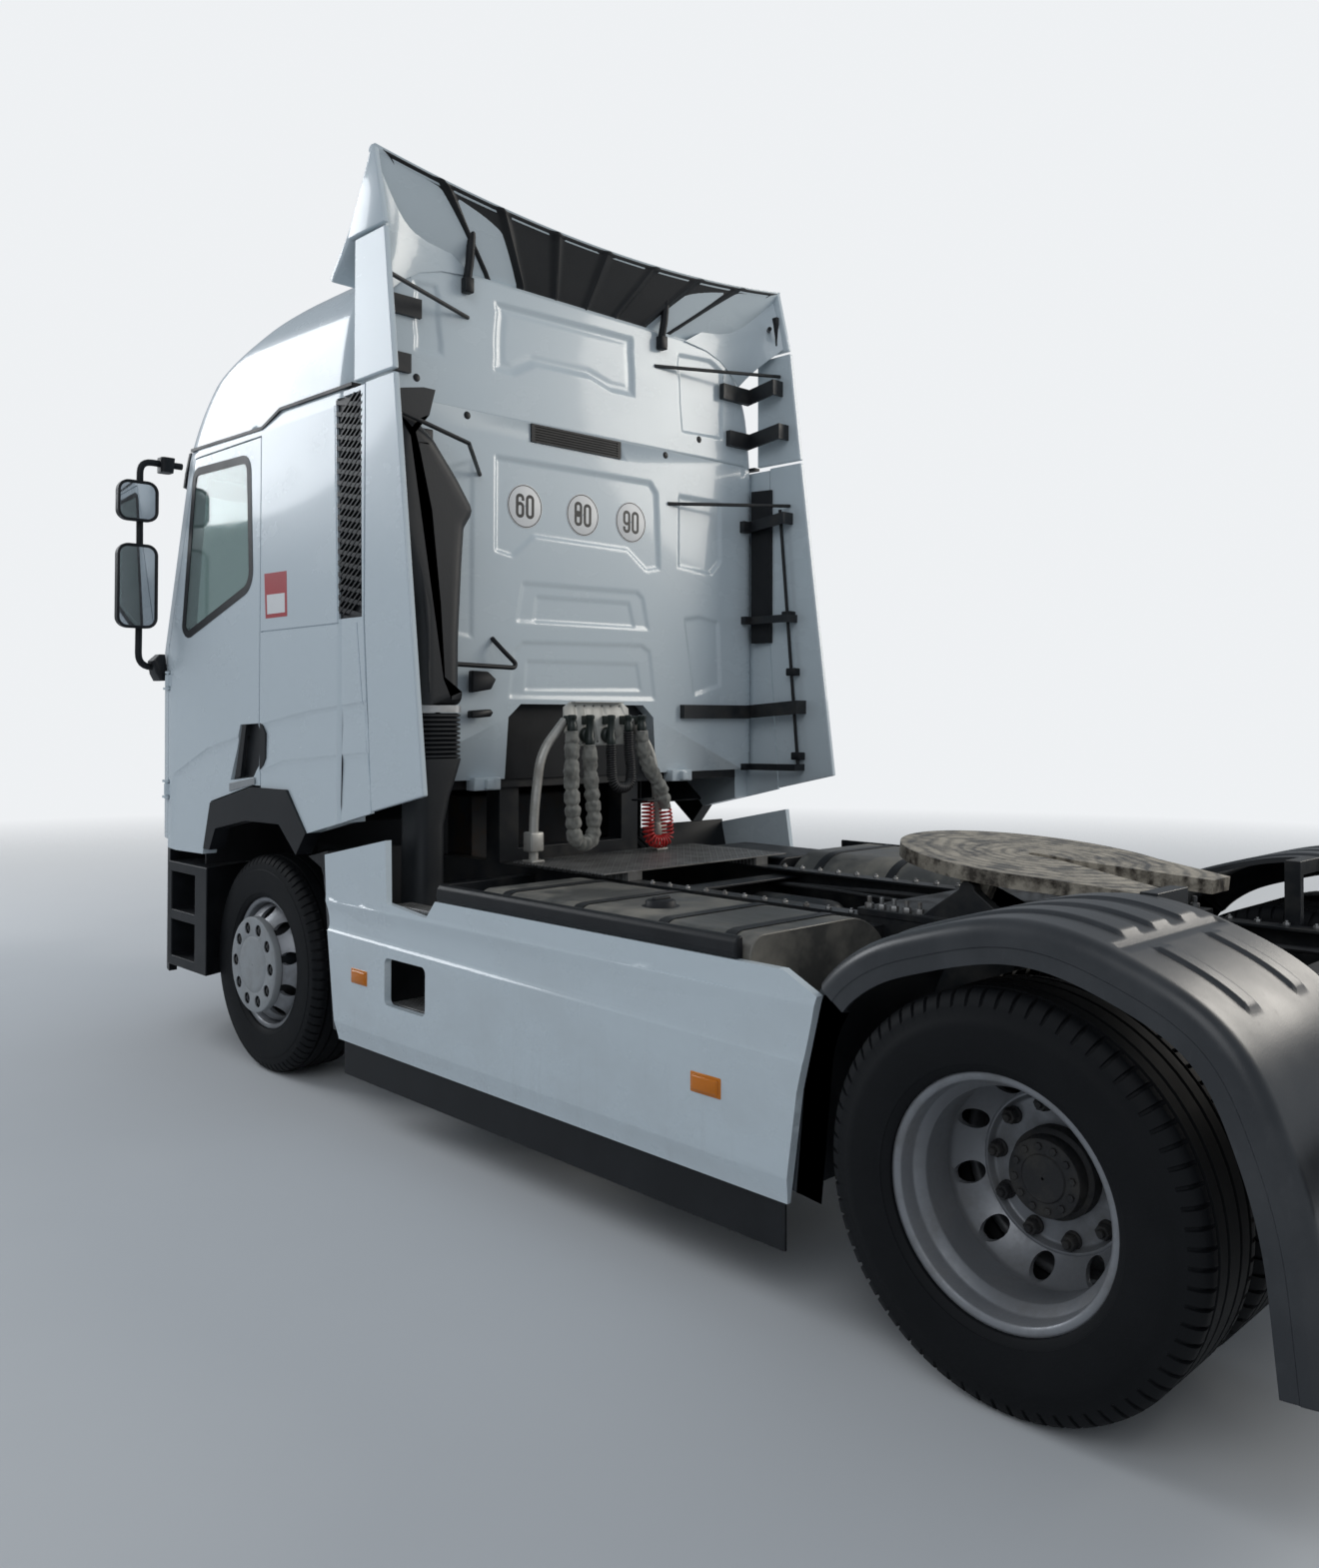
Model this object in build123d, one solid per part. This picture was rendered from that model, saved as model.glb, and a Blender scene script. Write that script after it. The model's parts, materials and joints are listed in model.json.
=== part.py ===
from build123d import *
import os
from math import cos, hypot, pi, radians, sin, tan

# Semi truck tractor unit with a high sleeper cab, two axles and a fifth wheel.
# Millimetres. X points to the vehicle's left, Y to its rear, Z up, and the ground is at Z 0.
# Outlines are written as distances behind the front axle, and fa() moves them into the frame.

# Length, wheels and axles
front_overhang = 1385.0
wheelbase = 3800.0
rear_overhang = 800.0
overall_length = front_overhang + wheelbase + rear_overhang
front_y = -overall_length / 2
front_axle_y = front_y + front_overhang
rear_axle_y = front_axle_y + wheelbase
rear_y = overall_length / 2
tyre_radius = 492.0
tyre_width = 305.0
tyre_shoulder = 38.0
axle_z = tyre_radius
rim_radius = 299.0
rim_half_width = 127.0
flange_wall = 9.0
flange_height = 12.0
rim_wall = 12.0
disc_offset = 155.0
disc_wall = 14.0
hub_radius = 125.0
stud_circle_radius = 167.5
hand_hole_circle_radius = 212.0
hand_hole_radius = 27.0
hand_holes = 10
front_wheel_x = 1020.0
rear_wheel_x = 1098.0
twin_spacing = 350.0
spindle_radius = 55.0
running_gap = 0.08
kingpin_x = 905.0
kingpin_radius = 25.0

# Frame
rail_outer_x = 430.0
rail_top_z = 960.0
rail_height = 266.0
rail_flange = 80.0
rail_wall = 8.0
rail_front_y = -1295.0
rail_rear_gap = 60.0
rail_bottom_z = rail_top_z - rail_height
rail_web_x = rail_outer_x - rail_wall

# Cab
cab_half_width = 1245.0
cab_low_front_y = -1370.0
cab_rear_y = 890.0
cab_wall = 70.0
cab_corner = 560.0
cab_rear_corner = 120.0
cab_bottom_z = 1000.0
cab_floor_z = 1300.0
cab_floor_wall = 60.0
cab_split_z = 2912.0
glass_wall = 12.0
panel_gap = 8.0
seat_gap = 0.3
pivot_y = -1260.0
pivot_z = 880.0
pivot_radius = 30.0
cab_leg_x = 280.0
cab_leg_width = 60.0
door_front_y = -905.0
door_rear_y = 105.0
door_top_z = 2885.0
hinge_pin_radius = 8.0
hinge_barrel_radius = 14.0
door_inner_x = cab_half_width - cab_wall - 14

# Outside panels
skirt_x = 1240.0
skirt_wall = 30.0
skirt_bottom_z = 305.0
skirt_top_z = 940.0
lip_bottom_z = 165.0
fairing_wall = 25.0
bumper_wall = 40.0
bumper_bottom_z = 330.0
bumper_top_z = 985.0
bumper_setback = 12.0
mudguard_wall = 18.0
mudguard_outer_x = 1250.0
mudguard_inner_x = 620.0
deck_z = 1000.0

# Fifth wheel, measured from its tilt axis
fifth_wheel_y = wheelbase - 580
fifth_wheel_axis_z = 1085.0
fifth_wheel_rise = 80.0
fifth_wheel_radius = 455.0
fifth_wheel_tilt = 5.7
fifth_wheel_wall = 45.0
fifth_wheel_skin = 25.0
base_plate_wall = 25.0
throat_radius = 29.0

nodes = {}


def fa(y):
    """Return the frame's Y of a place that is y behind the front axle."""
    return front_axle_y + y


def block(x, y, z):
    """Box between three (low, high) pairs, with y in the frame."""
    size = (x[1] - x[0], y[1] - y[0], z[1] - z[0])
    return Pos((x[0] + x[1]) / 2, (y[0] + y[1]) / 2, (z[0] + z[1]) / 2) * Box(*size)


def outline(plane, points, radii=0):
    """Closed face on a plane through points, with its corners rounded."""
    if radii:
        return plane * make_face(FilletPolyline(*points, radius=radii, close=True))
    return plane * make_face(Polyline(*points, close=True))


def along_x(points, low, high, radii=0):
    """Prism of an outline of (y behind the front axle, z) between two x."""
    face = outline(Plane.YZ, [(fa(y), z) for y, z in points], radii)
    return Pos(low, 0, 0) * extrude(face, high - low)


def along_y(points, low, high, radii=0):
    """Prism of an outline of (x, z) between two y behind the front axle."""
    return Pos(0, fa(high), 0) * extrude(outline(Plane.XZ, points, radii), high - low)


def along_z(points, low, high, radii=0):
    """Prism of an outline of (x, y behind the front axle) between two z."""
    face = outline(Plane.XY, [(x, fa(y)) for x, y in points], radii)
    return Pos(0, 0, low) * extrude(face, high - low)


def rod(radius, start, end):
    """Round bar between two points of the frame."""
    path = Vector(*end) - Vector(*start)
    plane = Plane(origin=start, z_dir=path)
    return plane * extrude(Circle(radius), path.length)


def turned(points, y, z):
    """Solid of revolution of (x, radius) points about the X line through y, z."""
    plane = Plane(origin=(0, y, z), x_dir=(1, 0, 0), z_dir=(0, 0, 1))
    return revolve(outline(plane, points), axis=Axis((0, y, z), (1, 0, 0)))


def flip(shape):
    """The same shape on the vehicle's right."""
    return mirror(shape, about=Plane.YZ)


def both(shape):
    """The shape and its twin on the right."""
    return [shape, flip(shape)]


def parallel(points, distance, closed=True):
    """Points of the outline moved sideways: inwards where it runs anticlockwise."""
    moved = []
    count = len(points)
    for i in range(count):
        before = points[i - 1] if closed or i > 0 else None
        after = points[(i + 1) % count] if closed or i < count - 1 else None
        here = points[i]
        normals = []
        for a, b in ((before, here), (here, after)):
            if a is None or b is None:
                continue
            length = hypot(b[0] - a[0], b[1] - a[1])
            normals.append((-(b[1] - a[1]) / length, (b[0] - a[0]) / length))
        nx = sum(n[0] for n in normals) / len(normals)
        ny = sum(n[1] for n in normals) / len(normals)
        scale = distance / (nx * nx + ny * ny)
        moved.append((here[0] + nx * scale, here[1] + ny * scale))
    return moved


def band(points, radii, wall):
    """Outline of a bent sheet: its points, then the parallel points in reverse."""
    inner = parallel(points, wall, closed=False)
    ends = [0, 0]
    grown = [max(r - wall, 1.0) for r in radii]
    corners = [0] + list(radii) + ends + grown[::-1] + [0]
    return list(points) + inner[::-1], corners


# Cab body: horizontal sections. Columns: height, front y, half width, front corner radius, and 1 on the roof.
cab_sections = [
    (940.0, cab_low_front_y, cab_half_width, cab_corner, 0),
    (1950.0, -front_overhang, cab_half_width, cab_corner, 0),
    (2900.0, -1095.0, cab_half_width, cab_corner, 0),
    (3230.0, -880.0, cab_half_width - 40, 540.0, 1),
    (3420.0, -480.0, cab_half_width - 125, 500.0, 1),
    (3530.0, 60.0, cab_half_width - 265, 420.0, 1),
    (3560.0, 420.0, cab_half_width - 445, 300.0, 1),
]


def cab_body(depth):
    """Cab's outer form, or the form that lies depth inside it."""
    faces = []
    for height, front, half, corner, roof in cab_sections:
        rear = fa(cab_rear_y) - depth
        near = fa(front) + depth
        side = half - depth
        points = [(-side, near), (side, near), (side, rear), (-side, rear)]
        back = cab_rear_corner - min(depth, cab_rear_corner - 20)
        radii = [corner - depth, corner - depth, back, back]
        wire = FilletPolyline(*points, radius=radii, close=True)
        faces.append(Pos(0, 0, height - depth * roof) * make_face(wire))
    return loft(faces, ruled=True)


cab_outer = cab_body(0)
cab_shell = cab_outer - cab_body(cab_wall)
glass_shell = cab_outer - cab_body(glass_wall)

# Outlines on the cab's side, as (y, z). The arch is the outer edge of the wheel arch trim.
arch_edge = [(-460.0, 984.0), (-388.0, 1210.0), (32.0, 1301.0), (362.0, 1303.0), (538.0, 1127.0)]
arch_inside = [(-392.0, 984.0), (-330.0, 1090.0), (-21.0, 1146.0), (300.0, 1150.0), (455.0, 1030.0)]
door_edge = [
    (door_front_y, 950.0), (-789.0, 944.0), (-470.0, 950.0), arch_edge[1], arch_edge[2],
    (door_rear_y, 1302.0), (door_rear_y, door_top_z), (-600.0, door_top_z), (door_front_y, 1950.0),
]
window_edge = [(-706.0, 2061.0), (-672.0, 2018.0), (11.0, 2217.0), (-22.0, 2798.0), (-591.0, 2813.0)]
window_corners = [20, 60, 90, 60, 40]
screen_x = (cab_half_width - 110, cab_half_width - 127)
windscreen_edge = [
    (-screen_x[0], 2010.0), (screen_x[0], 2010.0), (screen_x[1], 2880.0), (-screen_x[1], 2880.0),
]
far_y = 2500.0
far_x = 2000.0
roof_line = [(-far_y, cab_split_z), (111.0, cab_split_z), (278.0, 2965.0), (far_y, 2965.0)]
roof_zone = along_x(roof_line + [(far_y, 4000.0), (-far_y, 4000.0)], -far_x, far_x)
below_edge = [(far_y, 0.0)] + [(y, z - seat_gap) for y, z in roof_line[::-1]] + [(-far_y, 0.0)]
below_roof = along_x(below_edge, -far_x, far_x)
side_cut = (cab_half_width - 345, cab_half_width + 155)
door_hole = along_x(door_edge, *side_cut)
door_zone = along_x(parallel(door_edge, panel_gap), *side_cut)
arch_hole = along_x([(-470.0, 900.0)] + arch_edge + [(538.0, 900.0)], *side_cut)
window_hole = along_x(window_edge, *side_cut, window_corners)
window_zone = along_x(parallel(window_edge, seat_gap), *side_cut, window_corners)
screen_hole = along_y(windscreen_edge, -1500, -700, 60)
screen_zone = along_y(parallel(windscreen_edge, seat_gap), -1500, -700, 60)


def tyre(x):
    """Tyre with rounded shoulders, whose middle is at x."""
    half = tyre_width / 2
    bead = rim_half_width - flange_wall - seat_gap
    side = [
        (bead, rim_radius - flange_height), (bead, rim_radius + seat_gap), (half - 18, rim_radius + seat_gap),
        (half, rim_radius + 70), (half - 6, tyre_radius - tyre_shoulder),
        (half - tyre_shoulder, tyre_radius),
    ]
    points = [(x + a, r) for a, r in side] + [(x - a, r) for a, r in side[::-1]]
    return turned(points, 0, 0)


def rim(x, outward, bore, holes=True):
    """Disc wheel at x. Its disc stands towards outward, 1 or -1, and has a hub bore."""
    seat = rim_radius - flange_height - seat_gap
    half = rim_half_width
    well = seat - 24
    barrel = [
        (-half, rim_radius), (-half + flange_wall, rim_radius), (-half + flange_wall, seat), (-70, seat),
        (-45, well), (45, well), (70, seat), (half - flange_wall, seat), (half - flange_wall, rim_radius),
        (half, rim_radius), (half, seat - rim_wall),
        (76, seat - rim_wall), (52, well - rim_wall), (-52, well - rim_wall), (-76, seat - rim_wall),
        (-half, seat - rim_wall),
    ]
    face = disc_offset
    disc = [
        (face, bore), (face, stud_circle_radius + 24), (face - 20, 205), (40, well - rim_wall + 2),
        (40 - disc_wall, well - rim_wall + 2), (face - 20 - disc_wall, 200),
        (face - disc_wall, stud_circle_radius + 20), (face - disc_wall, bore),
    ]
    wheel = turned([(x + outward * a, r) for a, r in barrel], 0, 0)
    wheel += turned([(x + outward * a, r) for a, r in disc], 0, 0)
    if holes:
        for i in range(hand_holes):
            angle = 2 * pi * (i + 0.5) / hand_holes
            y = hand_hole_circle_radius * cos(angle)
            z = hand_hole_circle_radius * sin(angle)
            wheel -= rod(hand_hole_radius, (x, y, z), (x + outward * 170, y, z))
    return wheel


def hub(x, outward, inner, outer, flange, bore):
    """Hub with a blind bore for the spindle, from inner to outer along x."""
    points = [
        (inner, bore), (inner, hub_radius), (flange - 20, hub_radius), (flange - 20, 190), (flange, 190),
        (flange, hub_radius - 12), (outer, hub_radius - 20), (outer, 0), (outer - 18, 0), (outer - 18, bore),
    ]
    return turned([(x + outward * a, r) for a, r in points], 0, 0)


front_place = Pos(0, front_axle_y, axle_z)
rear_place = Pos(0, rear_axle_y, axle_z)
front_bore = spindle_radius + running_gap
disc_back = disc_offset - disc_wall

# Front wheels: the disc stands out, and the hub's flange lies against its back.
front_rim = rim(front_wheel_x, 1, hub_radius, True)
front_rim += hub(front_wheel_x, 1, 20, 205, disc_back, front_bore)
front_tyre = tyre(front_wheel_x)
nodes["front_tyre_left"] = front_place * front_tyre
nodes["front_tyre_right"] = flip(nodes["front_tyre_left"])
nodes["front_rim_left"] = front_place * front_rim
nodes["front_rim_right"] = flip(nodes["front_rim_left"])

# Rear twin wheels: two discs back to back on one hub.
inner_wheel_x = rear_wheel_x - twin_spacing
rear_rims = rim(rear_wheel_x, -1, hub_radius - 12, True) + rim(inner_wheel_x, 1, hub_radius - 12, True)
hub_middle = (rear_wheel_x + inner_wheel_x) / 2
rear_rims += turned(
    [
        (hub_middle - 130, front_bore), (hub_middle - 130, hub_radius - 12),
        (hub_middle + 70, hub_radius - 12), (hub_middle + 95, hub_radius - 30),
        (hub_middle + 95, 0), (hub_middle + 70, 0),
        (hub_middle + 70, front_bore),
    ],
    0, 0,
)
rear_rims += turned(
    [
        (hub_middle - 20, 100), (hub_middle - 20, 190), (hub_middle + 20, 190), (hub_middle + 20, 100),
    ],
    0, 0,
)
nodes["rear_tyres_left"] = Compound([rear_place * tyre(rear_wheel_x), rear_place * tyre(inner_wheel_x)])
nodes["rear_tyres_right"] = flip(nodes["rear_tyres_left"])
nodes["rear_rims_left"] = rear_place * rear_rims
nodes["rear_rims_right"] = flip(nodes["rear_rims_left"])

# Front axle: a dropped beam with a fist at each kingpin, whose pin is part of it.
fist_half = 70.0
beam_half = 45.0
pin_half = 120.0
beam_ends = 820.0
beam = along_y(
    [
        (-beam_ends, axle_z + 40), (-650, axle_z + 40), (-540, axle_z - 30), (540, axle_z - 30),
        (650, axle_z + 40), (beam_ends, axle_z + 40), (beam_ends, axle_z - 50), (650, axle_z - 60),
        (540, axle_z - 130),
        (-540, axle_z - 130), (-650, axle_z - 60), (-beam_ends, axle_z - 50),
    ],
    -beam_half, beam_half,
)
kingpin_low = (kingpin_x, front_axle_y, axle_z - pin_half)
kingpin_high = (kingpin_x, front_axle_y, axle_z + pin_half)
fist = rod(52, (kingpin_x, front_axle_y, axle_z - fist_half), (kingpin_x, front_axle_y, axle_z + fist_half))
fist += block((beam_ends - 20, kingpin_x), (front_axle_y - 35, front_axle_y + 35), (axle_z - 45, axle_z + 38))
fist += rod(kingpin_radius, kingpin_low, kingpin_high)
nodes["front_axle_beam"] = beam + fist + flip(fist)

# Steering knuckle: a fork over and under the fist, the brake disc and the spindle.
fork_gap = 3.0
fork_wall = 42.0
fork = block(
    (kingpin_x - 45, kingpin_x + 85), (front_axle_y - 48, front_axle_y + 48),
    (axle_z - fist_half - fork_gap - fork_wall, axle_z + fist_half + fork_gap + fork_wall),
)
fork -= block(
    (kingpin_x - 60, kingpin_x + 58), (front_axle_y - 60, front_axle_y + 60),
    (axle_z - fist_half - fork_gap, axle_z + fist_half + fork_gap),
)
fork -= rod(kingpin_radius + running_gap, (kingpin_x, front_axle_y, 200), (kingpin_x, front_axle_y, 800))
hub_inner_x = front_wheel_x + 20
spindle_tip = (front_wheel_x + 180, front_axle_y, axle_z)
spindle = rod(spindle_radius, (kingpin_x + 70, front_axle_y, axle_z), spindle_tip)
brake = rod(215, (kingpin_x + 86, front_axle_y, axle_z), (kingpin_x + 116, front_axle_y, axle_z))
arm_y = (front_axle_y + 40, front_axle_y + 200)
arm = block((kingpin_x - 40, kingpin_x + 10), arm_y, (axle_z - 113, axle_z - 83))
nodes["steering_knuckle_left"] = fork + spindle + brake + arm
nodes["steering_knuckle_right"] = flip(nodes["steering_knuckle_left"])

# Rear axle: a beam that ends as the spindles, with the drive head in its middle.
spindle_end = hub_middle + 60
housing = rod(spindle_radius, (-spindle_end, rear_axle_y, axle_z), (spindle_end, rear_axle_y, axle_z))
inner_face = inner_wheel_x - tyre_width / 2
housing += block(
    (-inner_face + 30, inner_face - 30), (rear_axle_y - 65, rear_axle_y + 65), (axle_z - 65, axle_z + 65),
)
housing += Pos(0, rear_axle_y, axle_z) * Rot(90, 0, 0) * Cylinder(215, 200)
housing += rod(110, (0, rear_axle_y - 330, axle_z + 20), (0, rear_axle_y - 60, axle_z))
nodes["rear_axle"] = housing

# Frame rails: channels that open inwards.
rail_y = (fa(rail_front_y), rear_y - rail_rear_gap)
rail = block((rail_outer_x - rail_flange, rail_outer_x), rail_y, (rail_bottom_z, rail_top_z))
rail -= block(
    (rail_outer_x - rail_flange - 10, rail_web_x), (rail_y[0] - 10, rail_y[1] + 10),
    (rail_bottom_z + rail_wall, rail_top_z - rail_wall),
)
hole_radius = 8.0
hole_y = wheelbase + 400
hole_step_y = 75.0
hole_step_z = 65.0
rail_middle_z = (rail_bottom_z + rail_top_z) / 2
for y in (hole_y - hole_step_y, hole_y + hole_step_y):
    for z in (rail_middle_z - hole_step_z, rail_middle_z + hole_step_z):
        rail -= rod(hole_radius, (rail_web_x - 5, fa(y), z), (rail_outer_x + 5, fa(y), z))
nodes["frame_rails"] = Compound(both(rail))

# Crossmembers between the webs. Columns: y behind the front axle, depth along y.
member_wall = 10.0
member_rows = [
    (1750.0, 110.0), (wheelbase - 1150, 110.0), (wheelbase - 320, 120.0), (wheelbase + 300, 110.0),
    (wheelbase + 580, 110.0),
]
members = []
for y, depth in member_rows:
    low, high = rail_bottom_z + 30, rail_top_z - 30
    body = block((-rail_web_x, rail_web_x), (fa(y), fa(y) + depth), (low, high))
    body -= block(
        (-rail_web_x - 5, rail_web_x + 5), (fa(y) + member_wall, fa(y) + depth + 5),
        (low + member_wall, high - member_wall),
    )
    members.append(body)

# Engine and gearbox, one plain block.
engine_x = 320.0
engine = block((-engine_x, engine_x), (fa(-750), fa(430)), (575.0, 1240.0))
engine += block((-190, 190), (fa(430), fa(880)), (600.0, 930.0))
nodes["engine_block"] = engine
mount_z = (740.0, 800.0)
engine_mounts = []
for y in (-600.0, 250.0):
    for mount in both(block((engine_x, rail_web_x), (fa(y), fa(y) + 120), mount_z)):
        engine_mounts.append(mount)

# Propshaft from the gearbox to the drive head.
shaft_start = (0, fa(870), 650)
shaft_end = (0, rear_axle_y - 320, axle_z + 20)
nodes["propshaft"] = rod(55, shaft_start, shaft_end) - engine - housing

# Cab mounts: the tilt tube between the rail fronts, and the rear cross beam with its two posts.
tilt_tube = rod(pivot_radius, (-rail_web_x, fa(pivot_y), pivot_z), (rail_web_x, fa(pivot_y), pivot_z))
post_y = (fa(700), fa(800))
rear_mount = block((-rail_outer_x, rail_outer_x), post_y, (rail_top_z, rail_top_z + 60))
post = block((rail_outer_x - 110, rail_outer_x), post_y, (rail_top_z + 60, cab_floor_z - seat_gap))
rear_mount += post
rear_mount += flip(post)

# Front springs: a long leaf each side between a front bracket and a rear shackle on the rail.
spring_x = (rail_outer_x + 2, rail_outer_x + 92)
leaf_line = [(-800, 640), (-420, 565), (-90, 546), (90, 546), (520, 575), (880, 650)]
leaf = along_x(band(leaf_line, [900, 500, 500, 900], -22)[0], *spring_x)
leaf += block(spring_x, (front_axle_y - 90, front_axle_y + 90), (axle_z - 30, 546))
leaf -= nodes["front_axle_beam"]
for y in (-830.0, 850.0):
    leaf += block((rail_outer_x, spring_x[1]), (fa(y), fa(y) + 60), (630, 760))
front_springs = both(leaf)

# Rear suspension: a beam each side under the axle with an air bag at each end.
bag_radius = 105.0
bag_x = rail_outer_x + 20
rear_suspension = []
for side in (1, -1):
    beam_x = sorted((side * (bag_x - 40), side * (bag_x + 50)))
    carrier = block(beam_x, (rear_axle_y - 480, rear_axle_y + 480), (axle_z - 130, axle_z - 65 - seat_gap))
    for step in (-1, 1):
        y = rear_axle_y + step * 400
        bag_top = (side * bag_x, y, rail_bottom_z - seat_gap)
        carrier += rod(bag_radius, (side * bag_x, y, axle_z - 66), bag_top)
    rear_suspension.append(carrier)
nodes["suspension"] = Compound(front_springs + rear_suspension)

# Fuel tanks, one each side, with rounded corners. The upper inside corner is the widest.
tank_x = (rail_outer_x + 80, skirt_x - skirt_wall - 15)
tank_z = (390.0, 1005.0)
tank_y = (1690.0, wheelbase - 800)
tank_corners = [130, 130, 60, 230]
tank = along_y(
    [(tank_x[0], tank_z[0]), (tank_x[1], tank_z[0]), (tank_x[1], tank_z[1]), (tank_x[0], tank_z[1])],
    tank_y[0], tank_y[1], tank_corners,
)
nodes["fuel_tanks"] = Compound(both(tank))

# Battery box on the left and silencer box on the right, behind the cab steps.
box_y = (1060.0, 1660.0)
box_x = (rail_outer_x + 80, 1000.0)
battery_edge = [(box_x[0], tank_z[0]), (box_x[1], tank_z[0]), (box_x[1], 860), (box_x[0], 860)]
battery_box = along_y(battery_edge, box_y[0] + 400, box_y[1], 20)
silencer_edge = [(box_x[0], tank_z[0]), (box_x[1], tank_z[0]), (box_x[1], 980), (box_x[0], 980)]
silencer_box = flip(along_y(silencer_edge, *box_y, 60))
# Black strips between the skirts' top edges and the tanks.
strip_x = skirt_x - skirt_wall - 13
strip_z = skirt_top_z + seat_gap
strip_edge = [
    (strip_x, strip_z), (skirt_x - 14, strip_z), (skirt_x - 8, strip_z + 20), (skirt_x - 12, strip_z + 50),
    (skirt_x - 25, strip_z + 63), (strip_x, strip_z + 65),
]
strip = along_y(strip_edge, 1484, wheelbase - 825)
nodes["side_boxes"] = Compound([battery_box, silencer_box] + both(strip))

# Outriggers from the rail webs carry tanks, boxes, skirts, step boxes and mudguards.
arm_z = (tank_z[0] - 40 - seat_gap, tank_z[0] - seat_gap)
outriggers = []
for y in (1500.0, 1800.0, wheelbase - 950):
    outrigger = block((rail_outer_x, rail_outer_x + 70), (fa(y), fa(y) + 60), (arm_z[0], rail_top_z - 20))
    outrigger += block((rail_outer_x, skirt_x - skirt_wall), (fa(y), fa(y) + 60), arm_z)
    outriggers += both(outrigger)
step_arm = block((rail_outer_x, cab_half_width - 285), (fa(-860), fa(-800)), (800, 860))
outriggers += both(step_arm)
# Mudguard arms. Columns: y behind the rear axle, top z.
for y, z in ((-420.0, 1032.0), (90.0, 1165.0)):
    guard_y = (rear_axle_y + y - 25, rear_axle_y + y + 25)
    guard_arm = block((rail_outer_x, rail_outer_x + 30), guard_y, (rail_bottom_z + 60, z))
    guard_arm += block((rail_outer_x + 30, mudguard_inner_x), guard_y, (z - 45, z))
    outriggers += both(guard_arm)
duct_arm = block((rail_outer_x, 930), (fa(1000), fa(1060)), (880, 930))
outriggers.append(duct_arm)

# Side skirts: a bent section cut to the skirt's outline, with the notch and the step opening.
skirt_outline = [
    (780.0, skirt_bottom_z), (wheelbase - 640, skirt_bottom_z), (wheelbase - 595, 620.0),
    (wheelbase - 530, 885.0), (wheelbase - 650, skirt_top_z),
    (1479.0, skirt_top_z), (1424.0, 873.0), (1150.0, 898.0), (1122.0, 1138.0), (660.0, 1046.0),
]
skirt_section = [
    (skirt_x - 18, skirt_bottom_z), (skirt_x, 380.0), (skirt_x, 560.0), (skirt_x - 10, 640.0),
    (skirt_x - 4, 860.0), (skirt_x - 16, 1150.0), (skirt_x - 16 - skirt_wall, 1150.0),
    (skirt_x - skirt_wall, 860.0), (skirt_x - skirt_wall, skirt_bottom_z),
]
step_opening = [(1150.0, 507.0), (1430.0, 507.0), (1430.0, 690.0), (1150.0, 690.0)]
skirt_cut = (skirt_x - 140, skirt_x + 60)
skirt = along_y(skirt_section, 600, wheelbase - 400) & along_x(skirt_outline, *skirt_cut)
skirt -= along_x(step_opening, *skirt_cut, 25)
nodes["side_skirts"] = Compound(both(skirt))

# Steps behind the opening and the notch.
tread_wall = 20.0
skirt_inner_x = skirt_x - skirt_wall
step = block((1010, skirt_inner_x), (fa(1140), fa(1440)), (507 - tread_wall, 507))
step += block((1010, 1010 + tread_wall), (fa(1140), fa(1440)), (507, 720))

# Rubber lips under the skirts.
lip_y = (fa(800), fa(wheelbase - 660))
lip = block((skirt_inner_x - 10, skirt_inner_x), lip_y, (lip_bottom_z, skirt_bottom_z + 40))

# Front mudguards behind the front wheels, carried by the skirts' front edges.
front_guard_edge = [
    (485.0, 1026.0), (655.0, 1060.0), (690.0, 900.0), (785.0, 322.0), (760.0, 322.0), (660.0, 880.0),
    (600.0, 985.0),
]
front_guard = along_x(front_guard_edge, 760, skirt_inner_x) - skirt

# Rear mudguards: a bent sheet over the twin wheels with raised ribs. Points: y from the rear axle, z.
guard_points = [(-640, 340), (-590, 860), (-420, 1040), (90, 1200), (560, 1010), (700, 640), (735, 300)]
guard_radii = [160, 240, 560, 260, 200]
guard_flange = 105.0
rib_height = 9.0
# Ribs on the guard. Columns: low x, high x, front y and rear y from the rear axle.
guard_ribs = [
    (690.0, 790.0, -500.0, 250.0), (850.0, 950.0, -500.0, 250.0), (1010.0, 1110.0, -500.0, 250.0),
    (740.0, 810.0, 310.0, 520.0), (1020.0, 1090.0, 310.0, 520.0),
]
guard_line = [(wheelbase + y, z) for y, z in guard_points]
guard_outline, guard_corners = band(guard_line, guard_radii, -mudguard_wall)
mudguard = along_x(guard_outline, mudguard_inner_x, mudguard_outer_x, guard_corners)
flange_outline, flange_corners = band(guard_line, guard_radii, -guard_flange)
mudguard += along_x(flange_outline, mudguard_outer_x - mudguard_wall, mudguard_outer_x, flange_corners)
rib_outline, rib_corners = band(guard_line, guard_radii, rib_height)
for low, high, front, rear in guard_ribs:
    rib = along_x(rib_outline, low, high, rib_corners)
    mudguard += rib & block((low, high), (rear_axle_y + front, rear_axle_y + rear), (850, 1300))
mudguard -= block((skirt_inner_x - 3, far_x), (fa(wheelbase - 800), fa(wheelbase - 525)), (0, 2000))
nodes["mudguards"] = Compound(both(front_guard) + both(mudguard) + both(lip))

# Deck plate over the rails behind the cab.
deck = block((-560, 560), (fa(1060), fa(1660)), (deck_z - 6, deck_z))
for x in (-rail_outer_x, rail_outer_x - rail_flange):
    deck += block((x, x + rail_flange), (fa(1060), fa(1660)), (rail_top_z, deck_z - 6))
nodes["deck_plate"] = deck

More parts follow.
